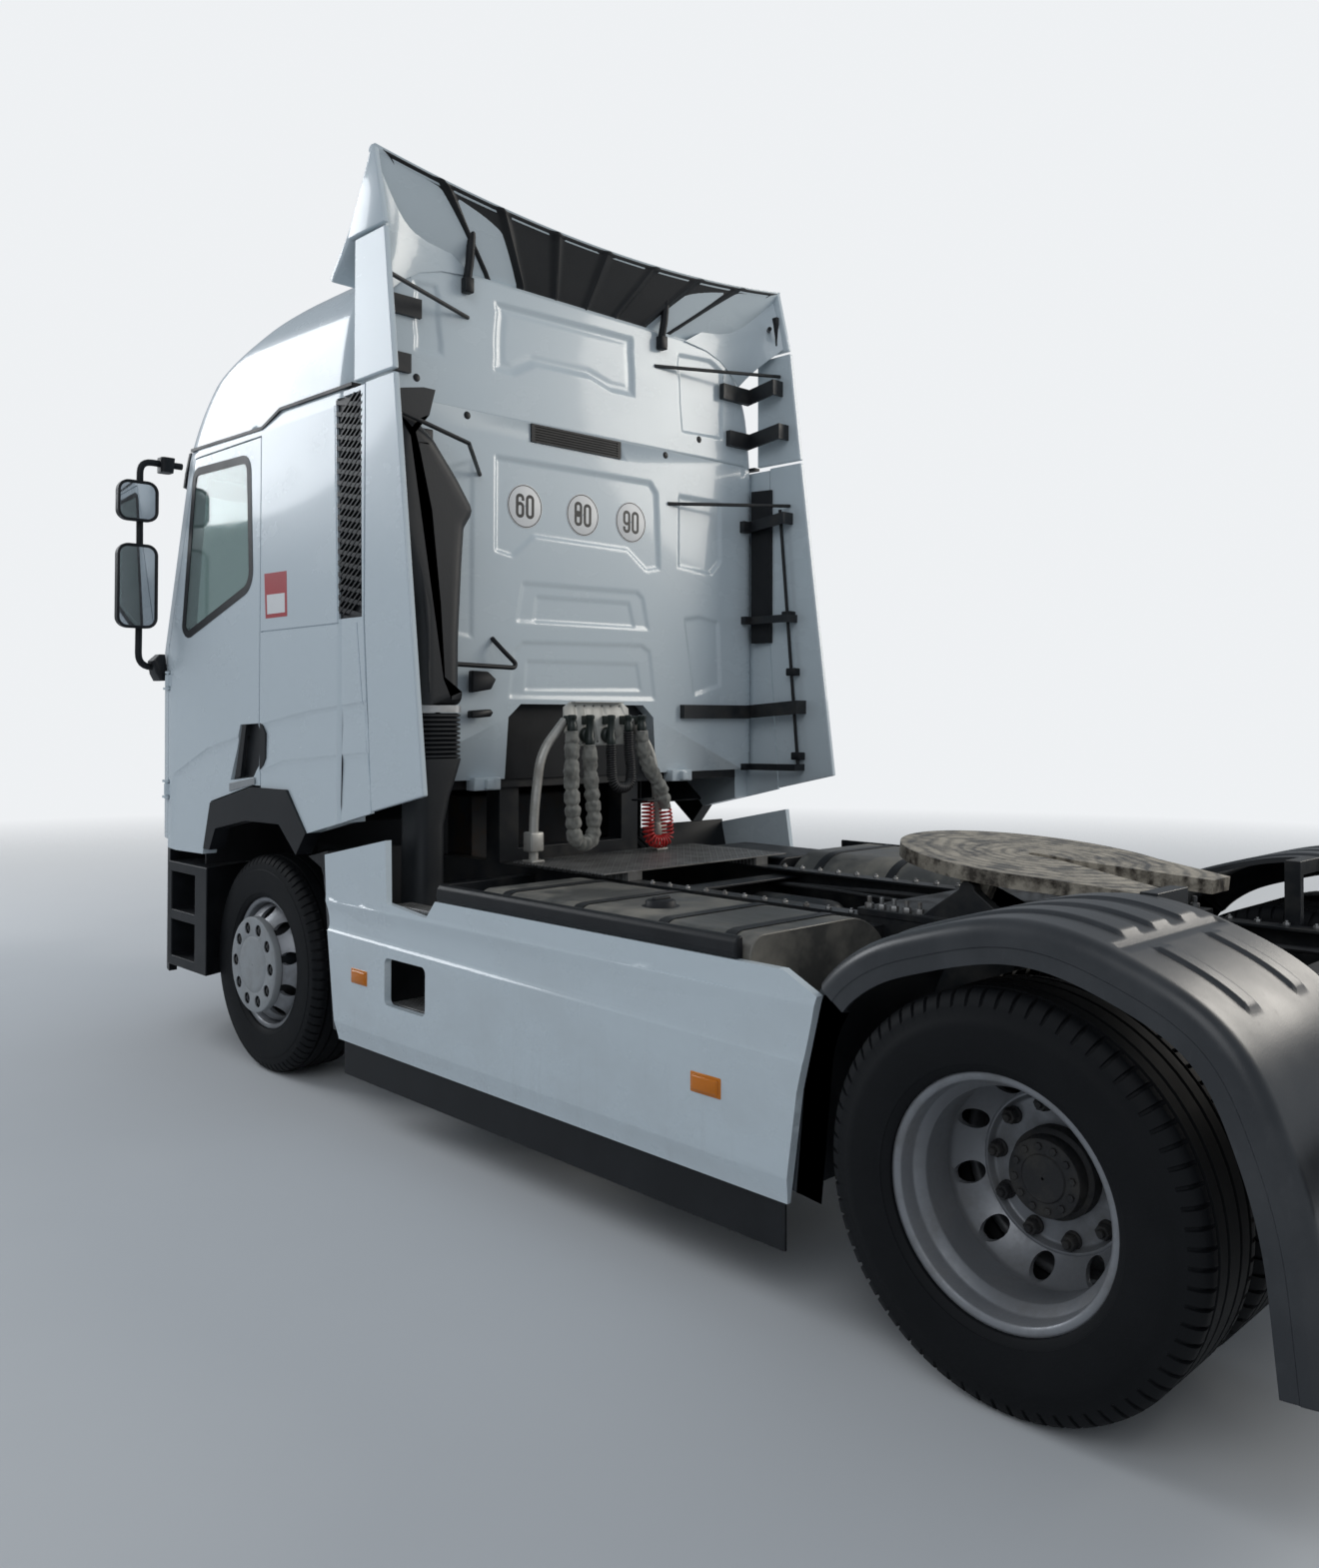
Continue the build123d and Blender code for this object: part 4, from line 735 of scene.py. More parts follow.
@dataclass
class Studio:
    """Camera solved from the photograph, plain soft lamps, a pale floor and a pale surround."""

    place: Point = (3.827, 3.7295, 1.628)
    yaw: float = -44.18
    pitch: float = 0.89
    roll: float = 0.16
    focal_px: float = 1238.3
    width_px: float = 1320.0
    height_px: float = 1569.0
    sensor: float = 36.0
    centre_px: tuple[float, float] = (660.2, 697.1)
    # Lamps. Columns: name, place, aim, size, power, colour.
    lamps: tuple = (
        ("lamp_key", (8.5, 5.5, 8.0), (0.0, -0.5, 1.6), 8.0, 200.0, (0.96, 0.98, 1.0)),
        ("lamp_back", (-7.5, 4.5, 5.5), (0.0, 0.8, 1.2), 5.0, 360.0, (1.0, 0.95, 0.87)),
        ("lamp_front", (4.0, -9.0, 6.0), (0.0, -1.5, 1.8), 5.0, 280.0, (0.94, 0.97, 1.0)),
    )

    def camera(self) -> None:
        """Make the camera. Its axes are worked out from yaw, pitch and roll."""
        yaw, pitch, roll = (math.radians(a) for a in (self.yaw, self.pitch, self.roll))
        forward = Vector((math.cos(pitch) * math.sin(yaw), -math.cos(pitch) * math.cos(yaw), math.sin(pitch)))
        right = forward.cross(Vector((0, 0, 1))).normalized()
        up = right.cross(forward)
        level, tall = right * math.cos(roll) + up * math.sin(roll), up * math.cos(roll) - right * math.sin(roll)
        data = bpy.data.cameras.new("photo_camera")
        data.sensor_fit = "AUTO"
        data.sensor_width = self.sensor
        data.lens = self.focal_px / self.height_px * self.sensor
        data.shift_x = -(self.centre_px[0] - self.width_px / 2) / self.height_px
        data.shift_y = (self.centre_px[1] - self.height_px / 2) / self.height_px
        data.clip_end = 200.0
        obj = linked("photo_camera", data)
        turn = Matrix((level, tall, -forward)).transposed()
        obj.matrix_world = Matrix.Translation(self.place) @ turn.to_4x4()
        bpy.context.scene.camera = obj

    def light(self) -> None:
        """Make the lamps and the world."""
        for name, place, aim, size, power, colour in self.lamps:
            data = bpy.data.lights.new(name, "AREA")
            data.shape = "DISK"
            data.size = size
            data.energy = power
            data.color = colour
            turn = (Vector(aim) - Vector(place)).to_track_quat("-Z", "Y")
            linked(name, data).matrix_world = Matrix.Translation(place) @ turn.to_matrix().to_4x4()
        world = bpy.data.worlds.new("surround")
        bpy.context.scene.world = world
        world.use_nodes = True
        tree = world.node_tree
        soft = tree.nodes["Background"]
        soft.inputs["Color"].default_value = (0.80, 0.87, 0.95, 1.0)
        soft.inputs["Strength"].default_value = 0.38
        pale = tree.nodes.new("ShaderNodeBackground")
        pale.inputs["Color"].default_value = (0.86, 0.88, 0.90, 1.0)
        pale.inputs["Strength"].default_value = 1.0
        ray = tree.nodes.new("ShaderNodeLightPath")
        blend = tree.nodes.new("ShaderNodeMixShader")
        tree.links.new(ray.outputs["Is Camera Ray"], blend.inputs[0])
        tree.links.new(soft.outputs[0], blend.inputs[1])
        tree.links.new(pale.outputs[0], blend.inputs[2])
        tree.links.new(blend.outputs[0], tree.nodes["World Output"].inputs["Surface"])

    def floor(self) -> None:
        """Make the floor: one wide sheet just under the tyres."""
        reach, low = 60.0, -0.001
        points = [(-reach, -reach, low), (reach, -reach, low), (reach, reach, low), (-reach, reach, low)]
        obj = mesh_object("studio_floor", np.array(points), [[0, 1, 2, 3]])
        n = Nodes("floor_pale")
        n.feed("Base Color", n.mix(n.noise(0.6, 5.0), (0.60, 0.62, 0.64), (0.66, 0.68, 0.70)))
        n.fix(Roughness=0.85)
        reach_node = n.add("ShaderNodeVectorMath", {0: n.place}, operation="LENGTH").outputs["Value"]
        n.feed("Alpha", n.ramp(reach_node, 5.5, 17.0, 1.0, 0.0))
        obj.data.materials.append(n.material)

    def build(self) -> None:
        """Make all of it."""
        bpy.context.scene.view_settings.view_transform = "Standard"
        self.camera()
        self.light()
        self.floor()


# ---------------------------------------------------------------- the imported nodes


@dataclass
class Wardrobe:
    """Finishes by name, made once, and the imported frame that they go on."""

    frame: dict
    finishes: dict[str, bpy.types.Material] = field(default_factory=dict)

    def prepare(self, finishes: Sequence) -> None:
        """Make the materials of the finishes."""
        for finish in finishes:
            self.finishes[finish.name] = finish.material()

    def body_of(self, node: str) -> str:
        """Return the body that carries a node.

        Args:
            node: The CAD node.

        Returns:
            Name of the body.
        """
        for body, nodes in self.frame["record"]["behaviour"]["bodies"].items():
            if node in nodes:
                return body
        raise KeyError(node)

    def dress(self, obj: bpy.types.Object, finish: str, body: str,
              replaces: Sequence[str] = ()) -> bpy.types.Object:
        """Give a new piece its finish, its body and the node that it stands for.

        Args:
            obj: The piece.
            finish: Name of its finish.
            body: Body that it rides on.
            replaces: Nodes that it stands for.

        Returns:
            The piece.
        """
        obj.data.materials.clear()
        obj.data.materials.append(self.finishes[finish])
        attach(obj, body)
        if replaces:
            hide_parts(*replaces)
        log.info("%s on %s in %s", obj.name, body, finish)
        return obj

    def dress_both(self, left: bpy.types.Object, finish: str, body: str,
                   replaces: Sequence[str] = ()) -> None:
        """Dress a left piece and its copy on the right. The copy's names say right where the left ones say left.

        Args:
            left: The left piece.
            finish: Name of its finish.
            body: Body that it rides on.
            replaces: Nodes that it stands for.
        """
        self.dress(left, finish, body, replaces)
        twin = mirrored(left, left.name.replace("left", "right"))
        self.dress(twin, finish, body.replace("left", "right"), [n.replace("left", "right") for n in replaces])

    def refined(self, node: str, finish: str, bevel: float = 0.003,
                keep: Callable[[np.ndarray], bool] | None = None, name: str = "") -> bpy.types.Object:
        """Stand a merged, bevelled and smoothly shaded copy for a node.

        Args:
            node: The CAD node.
            finish: Name of its finish.
            bevel: Width of its edges' bevel, in metres.
            keep: Test on an island's middle that says whether the copy holds it.
            name: Name of the copy.

        Returns:
            The copy.
        """
        mesh = self.frame["nodes"][node].data.copy()
        with edited(mesh) as work:
            bmesh.ops.remove_doubles(work, verts=work.verts, dist=2e-5)
            if keep is not None:
                drop_islands(work, keep)
            bmesh.ops.dissolve_limit(work, angle_limit=FLAT, verts=work.verts, edges=work.edges)
        obj = linked(name or f"{node}_skin", mesh)
        smooth(obj, 38.0)
        if bevel:
            bevelled(obj, bevel)
        return self.dress(obj, finish, self.body_of(node), (node,))


def drop_islands(work: bmesh.types.BMesh, keep: Callable[[np.ndarray], bool]) -> None:
    """Delete the loose parts whose middle the test refuses.

    Args:
        work: The mesh under edit.
        keep: Test on an island's middle that says whether it stays.
    """
    left = set(work.verts)
    refused = []
    while left:
        stack = [left.pop()]
        island = [stack[0]]
        while stack:
            for edge in stack.pop().link_edges:
                for vertex in edge.verts:
                    if vertex in left:
                        left.remove(vertex)
                        stack.append(vertex)
                        island.append(vertex)
        places = np.array([v.co for v in island])
        if not keep((places.min(axis=0) + places.max(axis=0)) / 2):
            refused += island
    bmesh.ops.delete(work, geom=refused, context="VERTS")


# ---------------------------------------------------------------- shared shapes


def rounded_line(points: Sequence[tuple[float, float]], radii: Sequence[float], step: float = 0.02) -> np.ndarray:
    """Polyline with its inner corners rounded by arcs.

    Args:
        points: Corners in a plane.
        radii: Radius of each corner but the two ends.
        step: Spacing of the points returned.

    Returns:
        Points of the rounded line.
    """
    corners = np.array(points, float)
    out = [corners[0]]
    for before, here, after, radius in zip(corners, corners[1:], corners[2:], radii):
        back, ahead = before - here, after - here
        back, ahead = back / np.linalg.norm(back), ahead / np.linalg.norm(ahead)
        half = math.acos(float(np.clip(back @ ahead, -1, 1))) / 2
        reach = radius / math.tan(half)
        middle = here + (back + ahead) / np.linalg.norm(back + ahead) * radius / math.sin(half)
        start, end = here + back * reach - middle, here + ahead * reach - middle
        angle = math.acos(float(np.clip(start @ end / radius**2, -1, 1)))
        count = max(3, int(angle * radius / step) + 1)
        for t in np.linspace(0, 1, count):
            out.append(middle + (math.sin((1 - t) * angle) * start + math.sin(t * angle) * end) / math.sin(angle))
    out.append(corners[-1])
    dense = []
    for a, b in zip(out, out[1:]):
        count = max(1, int(np.linalg.norm(b - a) / step))
        dense += [a + (b - a) * k / count for k in range(count)]
    return np.array(dense + [out[-1]])


def averaged(line: np.ndarray, reach: int) -> np.ndarray:
    """Line whose points are the mean of their neighbours, by fewer of them towards the two ends.

    Args:
        line: Points of the line.
        reach: Neighbours on each side.

    Returns:
        The averaged points.
    """
    total = np.concatenate([np.zeros((1, line.shape[1])), np.cumsum(line, axis=0)])
    k = np.arange(len(line))
    near = np.minimum(reach, np.minimum(k, len(line) - 1 - k))
    return (total[k + near + 1] - total[k - near]) / (2 * near + 1)[:, None]


def normals_of(line: np.ndarray) -> np.ndarray:
    """Unit normals of a flat line: its tangent turned by a quarter to the right.

    Args:
        line: Points of the line.

    Returns:
        Normals (n, 2).
    """
    tangent = np.gradient(line, axis=0)
    tangent /= np.linalg.norm(tangent, axis=1, keepdims=True)
    return np.stack([tangent[:, 1], -tangent[:, 0]], axis=1)


def polygon_distance(x: np.ndarray, z: np.ndarray, corners: Sequence[tuple[float, float]]) -> np.ndarray:
    """Distance to a polygon's edge, negative inside it.

    Args:
        x: First coordinates.
        z: Second coordinates, of the same shape.
        corners: The polygon.

    Returns:
        Signed distances.
    """
    best = np.full(x.shape, 1e9)
    inside = np.zeros(x.shape, bool)
    ring = list(corners)
    for (ax, az), (bx, bz) in zip(ring, ring[1:] + ring[:1]):
        ex, ez = bx - ax, bz - az
        t = np.clip(((x - ax) * ex + (z - az) * ez) / (ex * ex + ez * ez), 0, 1)
        best = np.minimum(best, np.hypot(x - ax - t * ex, z - az - t * ez))
        crosses = (az > z) != (bz > z)
        with np.errstate(divide="ignore", invalid="ignore"):
            inside ^= crosses & (x < ex * (z - az) / (ez if ez else 1e-12) + ax)
    return np.where(inside, -best, best)


def soft_step(value: np.ndarray, low: float, high: float) -> np.ndarray:
    """Smooth step from 0 at low to 1 at high."""
    t = np.clip((value - low) / (high - low), 0, 1)
    return t * t * (3 - 2 * t)


def sheet_mesh(name: str, points: np.ndarray, thickness: float = 0.0, sharp: float = 50.0,
               offset: float = -1.0) -> bpy.types.Object:
    """Object from a grid of points, with an optional wall.

    Args:
        name: Name of the object.
        points: Array (rows, columns, 3).
        thickness: Thickness of the wall.
        sharp: Sharp angle in degrees.
        offset: Side of the sheet that the wall stands on, from -1 to 1.

    Returns:
        The object.
    """
    rows, columns, _ = points.shape
    obj = mesh_object(name, points, grid_faces(rows, columns), sharp)
    if thickness:
        solid = obj.modifiers.new("wall", "SOLIDIFY")
        solid.thickness = thickness
        solid.offset = offset
    return obj


def face_towards(obj: bpy.types.Object, direction: Point) -> bpy.types.Object:
    """Flip all faces if their mean normal points away from the direction.

    Args:
        obj: The object.
        direction: Direction that the faces should look in.

    Returns:
        The object.
    """
    total = Vector((0, 0, 0))
    for face in obj.data.polygons:
        total += face.normal * face.area
    if total.dot(Vector(direction)) < 0:
        obj.data.flip_normals()
    return obj


def stack(name: str, rows: Sequence[tuple], corner: float = 0.03) -> bpy.types.Object:
    """Upright loft of rounded rectangles.

    Args:
        name: Name of the object.
        rows: Columns: z, low x, high x, low y, high y.
        corner: Corner radius.

    Returns:
        The object.
    """
    rings = []
    for z, x0, x1, y0, y1 in rows:
        radius = min(corner, (x1 - x0) / 2.01, (y1 - y0) / 2.01)
        rings.append(np.insert(rounded_ring((x0, x1), (y0, y1), radius, 6), 2, z, axis=1))
    return lofted(name, rings)


def box(name: str, x: tuple[float, float], y: tuple[float, float], z: tuple[float, float],
        bevel: float = 0.003) -> bpy.types.Object:
    """Box between three (low, high) pairs, with rounded edges."""
    obj = prism(name, [(x[0], y[0]), (x[1], y[0]), (x[1], y[1]), (x[0], y[1])], "z", z[0], z[1])
    return bevelled(obj, bevel) if bevel else obj


def joined(name: str, parts: Sequence[bpy.types.Object]) -> bpy.types.Object:
    """Join objects into one mesh object, with their modifiers worked in.

    Args:
        name: Name of the joined object.
        parts: The objects, which go.

    Returns:
        The joined object.
    """
    graph = bpy.context.evaluated_depsgraph_get()
    work = bmesh.new()
    for part in parts:
        mesh = bpy.data.meshes.new_from_object(part.evaluated_get(graph))
        work.from_mesh(mesh)
        bpy.data.meshes.remove(mesh)
    mesh = bpy.data.meshes.new(name)
    work.to_mesh(mesh)
    work.free()
    for part in parts:
        bpy.data.objects.remove(part)
    obj = linked(name, mesh)
    smooth(obj, 40.0)
    return obj


def carved(obj: bpy.types.Object, cutter: bpy.types.Object) -> bpy.types.Object:
    """Cut one object by another, work the cut in and remove the cutter.

    Args:
        obj: The object to cut.
        cutter: The object that is cut out and goes.

    Returns:
        The cut object.
    """
    cut = obj.modifiers.new("cut", "BOOLEAN")
    cut.operation = "DIFFERENCE"
    cut.solver = "EXACT"
    cut.object = cutter
    graph = bpy.context.evaluated_depsgraph_get()
    mesh = bpy.data.meshes.new_from_object(obj.evaluated_get(graph))
    obj.modifiers.remove(cut)
    obj.data = mesh
    bpy.data.objects.remove(cutter)
    smooth(obj, 40.0)
    return obj


def rods(name: str, runs: Sequence[tuple[Point, Point]], radius: float, steps: int = 12) -> bpy.types.Object:
    """Straight round bars between pairs of points, in one object."""
    return joined(name, [tube(f"{name}_{k}", np.array(run), radius, steps) for k, run in enumerate(runs)])


def bolts(name: str, places: Sequence[Point], axis: str, radius: float, height: float,
          stud: float = 0.0) -> bpy.types.Object:
    """Hexagon heads along an axis, each with an optional stud end.

    Args:
        name: Name of the object.
        places: Middle of each head's foot.
        axis: "x", "y" or "z".
        radius: Radius over corners.
        height: Height, whose sign gives the direction.
        stud: Length of the stud's end past the head.

    Returns:
        The object.
    """
    column = "xyz".index(axis)
    points: list = []
    faces: list = []
    shapes = [(radius, 0.0, height, 6)] + ([(radius * 0.5, height, height + stud, 8)] if stud else [])
    for place in places:
        for reach, low, high, sides in shapes:
            base = len(points)
            for level, scale in ((low, 1.0), (high - (high - low) * 0.18, 1.0), (high, 0.86)):
                for k in range(sides):
                    a = 2 * math.pi * k / sides
                    ring = [reach * scale * math.cos(a), reach * scale * math.sin(a)]
                    ring.insert(column, level)
                    points.append(tuple(np.array(place) + ring))
            for level in range(2):
                for k in range(sides):
                    a, b = base + level * sides + k, base + level * sides + (k + 1) % sides
                    faces.append([a, b, b + sides, a + sides])
            faces.append([base + 2 * sides + k for k in range(sides)])
            faces.append([base + k for k in range(sides)])
    return mend_normals(mesh_object(name, np.array(points), faces, 25.0))


# ---------------------------------------------------------------- hanging lines


@dataclass
class HangingLine:
    """A line that hangs from the hose stand: a sleeve of cloth, or a close coil."""

    node: str
    finish: str
    slot: str
    route: tuple[Point, ...]
    outer: float
    hose: float = 0.0
    pitch: float = 0.0
    spacing: float = 0.004
    coil_steps: int = 14
    coil_play: float = 0.05
    snug: float = 0.93
    puff: float = 0.30
    end: float = 0.05

    def centre_line(self) -> np.ndarray:
        """Return points of the route's NURBS line, evenly spaced."""
        curve = bpy.data.curves.new(f"{self.node}_route", "CURVE")
        curve.dimensions = "3D"
        curve.resolution_u = 24
        spline = curve.splines.new("NURBS")
        spline.points.add(len(self.route) - 1)
        for point, (x, y, z) in zip(spline.points, self.route):
            point.co = (x, behind_axle(y), z, 1.0)
        spline.order_u = 3
        spline.use_endpoint_u = True
        holder = bpy.data.objects.new(f"{self.node}_route", curve)
        mesh = bpy.data.meshes.new_from_object(holder)
        points = np.array([v.co for v in mesh.vertices])
        bpy.data.objects.remove(holder)
        bpy.data.meshes.remove(mesh)
        bpy.data.curves.remove(curve)
        run = np.concatenate([[0.0], np.cumsum(np.linalg.norm(np.diff(points, axis=0), axis=1))])
        even = np.linspace(0.0, run[-1], int(run[-1] / self.spacing) + 1)
        return np.stack([np.interp(even, run, points[:, k]) for k in range(3)], axis=1)

    def build(self, wardrobe: Wardrobe) -> None:
        """A coil is centre + r (n cos a + b sin a), with r wavering a little. A sleeve is a tube whose radius swells
        by a rounded sine between its two ends, with all its points shifted by a noise of sines.

        Args:
            wardrobe: The finishes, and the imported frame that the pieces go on.
        """
        line = self.centre_line()
        if self.pitch:
            length = np.linalg.norm(np.diff(line, axis=0), axis=1).sum()
            turns = length / self.pitch
            steps = int(turns * self.coil_steps)
            where = np.linspace(0, len(line) - 1, steps)
            middle = np.stack([np.interp(where, np.arange(len(line)), line[:, k]) for k in range(3)], axis=1)
            _, normal, binormal = frames_along(middle)
            angle = np.linspace(0, 2 * np.pi * turns, steps)[:, None]
            loose = 1.0 + self.coil_play * np.sin(angle / 9.0)
            reach = (self.outer - self.hose) / 2 * loose / 1.06
            path = middle + reach * (normal * np.cos(angle) + binormal * np.sin(angle))
            obj = tube(f"{self.node}_line", path, self.hose / 2, 8)
        else:
            along = np.arange(len(line)) * self.spacing
            puff = np.abs(np.sin(along * 42.0 + 1.3 * np.sin(along * 17.0))) ** 0.6
            ends = soft_step(along, 0.0, self.end) * (1 - soft_step(along, along[-1] - self.end, along[-1]))
            wrinkle = 1.00 + ends * (self.puff * puff + 0.04 * np.sin(along * 190.0))
            path = line
            obj = tube(f"{self.node}_line", path, self.outer / 2 * self.snug * wrinkle, 32)
            reshaped(obj, lambda p: p + 0.0020 * np.stack([np.sin(p[:, 2] * 120 + p[:, 1] * 210),
                                                           np.sin(p[:, 2] * 95 + p[:, 0] * 230 + 1),
                                                           np.sin(p[:, 0] * 190 + p[:, 1] * 170)], axis=1))
        wardrobe.dress(obj, self.finish, "chassis", (self.node,))
        length = float(np.linalg.norm(np.diff(path, axis=0), axis=1).sum())
        log.info("%s is %.2f m long", self.node, length)


LINES = (
    HangingLine("grey_sleeve_left", "grey_cloth", "grey_sleeve", (
        (0.335, 1.195, 1.560), (0.335, 1.195, 1.450), (0.347, 1.206, 1.320), (0.342, 1.212, 1.190),
        (0.332, 1.210, 1.070), (0.228, 1.208, 1.066), (0.218, 1.212, 1.170), (0.228, 1.206, 1.290),
        (0.232, 1.195, 1.400), (0.232, 1.195, 1.500)), 0.056),
    HangingLine("black_coil", "black_hose_skin", "black_hose", (
        (0.005, 1.200, 1.560), (0.005, 1.200, 1.480), (-0.006, 1.208, 1.390), (0.004, 1.212, 1.300),
        (0.106, 1.210, 1.304), (0.110, 1.200, 1.400), (0.110, 1.200, 1.500)), 0.050, 0.009, 0.0105),
    HangingLine("grey_sleeve_right", "grey_cloth", "grey_sleeve", (
        (-0.075, 1.204, 1.560), (-0.075, 1.204, 1.470), (-0.118, 1.216, 1.380), (-0.186, 1.226, 1.290),
        (-0.204, 1.226, 1.200)), 0.056),
    HangingLine("red_coil", "red_hose_skin", "red_hose", (
        (-0.204, 1.226, 1.200), (-0.219, 1.226, 1.125), (-0.226, 1.228, 1.045), (-0.102, 1.226, 1.050),
        (-0.104, 1.216, 1.140), (-0.104, 1.216, 1.236)), 0.064, 0.009, 0.0175),
)


# ---------------------------------------------------------------- wheels


def circle_places(count: int, radius: float, centre: Point, phase: float = 0.0) -> list[Point]:
    """Places on a circle about an X line.

    Args:
        count: Number of places.
        radius: The circle's radius.
        centre: Its centre.
        phase: Share of a pitch that the first place is turned by.

    Returns:
        The places.
    """
    x, y, z = centre
    angles = (2 * math.pi * (k + phase) / count for k in range(count))
    return [(x, y + radius * math.cos(a), z + radius * math.sin(a)) for a in angles]


@dataclass
class Tyre:
    """Tyre with grooves round its tread and cross cuts in its shoulders."""

    radius: float = 0.492
    pitches: int = 72
    grooves: tuple[float, ...] = (-0.085, -0.033, 0.033, 0.085)
    groove_width: float = 0.013
    groove_depth: float = 0.013
    cut_depth: float = 0.010
    shoulder: float = 0.092
    # Cuts: lowest radius, and the shares of a pitch at which it is up, still up, down and still down.
    cut_from: float = 0.458
    cut_phases: tuple[float, ...] = (0.0, 0.74, 0.79, 0.95)
    # Half outline from the bead to the shoulder. Columns: distance from the middle, radius.
    half: tuple = (
        (0.1175, 0.287), (0.1177, 0.2993), (0.134, 0.2996), (0.139, 0.304), (0.1452, 0.320), (0.1470, 0.3205),
        (0.1500, 0.340), (0.1525, 0.375), (0.1520, 0.405), (0.1507, 0.424), (0.1487, 0.4262), (0.1465, 0.452),
        (0.1395, 0.466), (0.1300, 0.4800), (0.1165, 0.4900), (0.1080, 0.492),
    )

    def outline(self) -> np.ndarray:
        """Return the closed outline as (x, radius) rows, with the tread's grooves in it."""
        tread = []
        wide, deep = self.groove_width / 2, self.radius - self.groove_depth
        for x in self.grooves:
            tread += [(x - wide, self.radius), (x - wide * 0.6, deep), (x + wide * 0.6, deep), (x + wide, self.radius)]
        return np.array([(-x, r) for x, r in self.half] + tread + list(self.half)[::-1])

    def ring(self, name: str, middle: float, axle_y: float) -> bpy.types.Object:
        """Tyre mesh: radius r_j less the cut's depth at the cut angles, on the shoulders only.

        Args:
            name: Name of the object.
            middle: X of the tyre's middle.
            axle_y: Y of its axle.

        Returns:
            The object.
        """
        outline = self.outline()
        phases = np.array(self.cut_phases)
        cut = np.tile(np.array([0.0, 0.0, 1.0, 1.0]), self.pitches)[:, None]
        angle = ((np.arange(self.pitches)[:, None] + phases[None, :]) * 2 * np.pi / self.pitches).ravel()[:, None]
        edge = (np.abs(outline[:, 0]) > self.shoulder) & (outline[:, 1] > self.cut_from)
        radius = outline[None, :, 1] - cut * self.cut_depth * edge[None, :]
        x = np.broadcast_to(outline[None, :, 0] + middle, radius.shape)
        points = np.stack([x, axle_y + radius * np.cos(angle), AXLE_Z + radius * np.sin(angle)], axis=-1)
        obj = mesh_object(name, points, grid_faces(len(angle), len(outline), True, True), 35.0)
        return mend_normals(obj)


@dataclass
class Rim:
    """Steel wheel: rolled barrel and pressed disc with hand holes."""

    hand_holes: int = 10
    hand_circle: float = 0.2310
    hand_radius: float = 0.0285
    hand_phase: float = 0.356
    # Barrel. Columns: distance from the middle towards the outside, radius.
    barrel: tuple = (
        (-0.127, 0.299), (-0.118, 0.299), (-0.1165, 0.290), (-0.114, 0.2868), (-0.070, 0.2867), (-0.045, 0.263),
        (0.045, 0.263), (0.070, 0.2867), (0.114, 0.2868), (0.1165, 0.290), (0.118, 0.299), (0.1245, 0.2992),
        (0.127, 0.296), (0.1268, 0.288), (0.1235, 0.2795), (0.118, 0.2755), (0.078, 0.274), (0.070, 0.270),
        (0.052, 0.2505), (0.044, 0.249), (-0.052, 0.251), (-0.076, 0.2747), (-0.127, 0.2747),
    )
    # Disc. Columns: distance from the middle on its dished side, radius.
    disc: tuple = (
        (0.046, 0.2630), (0.060, 0.2625), (0.078, 0.2605), (0.086, 0.2560), (0.092, 0.2520), (0.110, 0.2400),
        (0.132, 0.2200), (0.146, 0.2060), (0.150, 0.2010), (0.148, 0.1965), (0.149, 0.1925), (0.156, 0.1880),
        (0.163, 0.1850), (0.167, 0.1815), (0.168, 0.1770), (0.168, 0.1130), (0.179, 0.1130), (0.179, 0.1850),
        (0.176, 0.1950), (0.160, 0.2120), (0.140, 0.2310), (0.118, 0.2480), (0.098, 0.2620), (0.080, 0.2700),
        (0.046, 0.2720),
    )

    def build(self, name: str, middle: float, dished: int, axle_y: float) -> bpy.types.Object:
        """Make one wheel without its tyre.

        Args:
            name: Name of the object.
            middle: X of the wheel's middle.
            dished: 1 where the disc stands towards the outside, -1 where it stands inwards.
            axle_y: Y of its axle.

        Returns:
            The object.
        """
        centre = (middle, axle_y, AXLE_Z)
        shell = turned(f"{name}_barrel", self.barrel, centre, 96)
        plate = turned(f"{name}_disc", np.array(self.disc) * (dished, 1), centre, 96)
        reach = sorted((middle + dished * 0.05, middle + dished * 0.20))
        holes = [
            tube(f"{name}_hole_{k}", np.array([(reach[0], y, z), (reach[1], y, z)]), self.hand_radius, 20)
            for k, (_, y, z) in enumerate(circle_places(self.hand_holes, self.hand_circle, centre, self.hand_phase))
        ]
        plate = carved(plate, joined(f"{name}_holes", holes))
        return joined(name, [shell, plate])


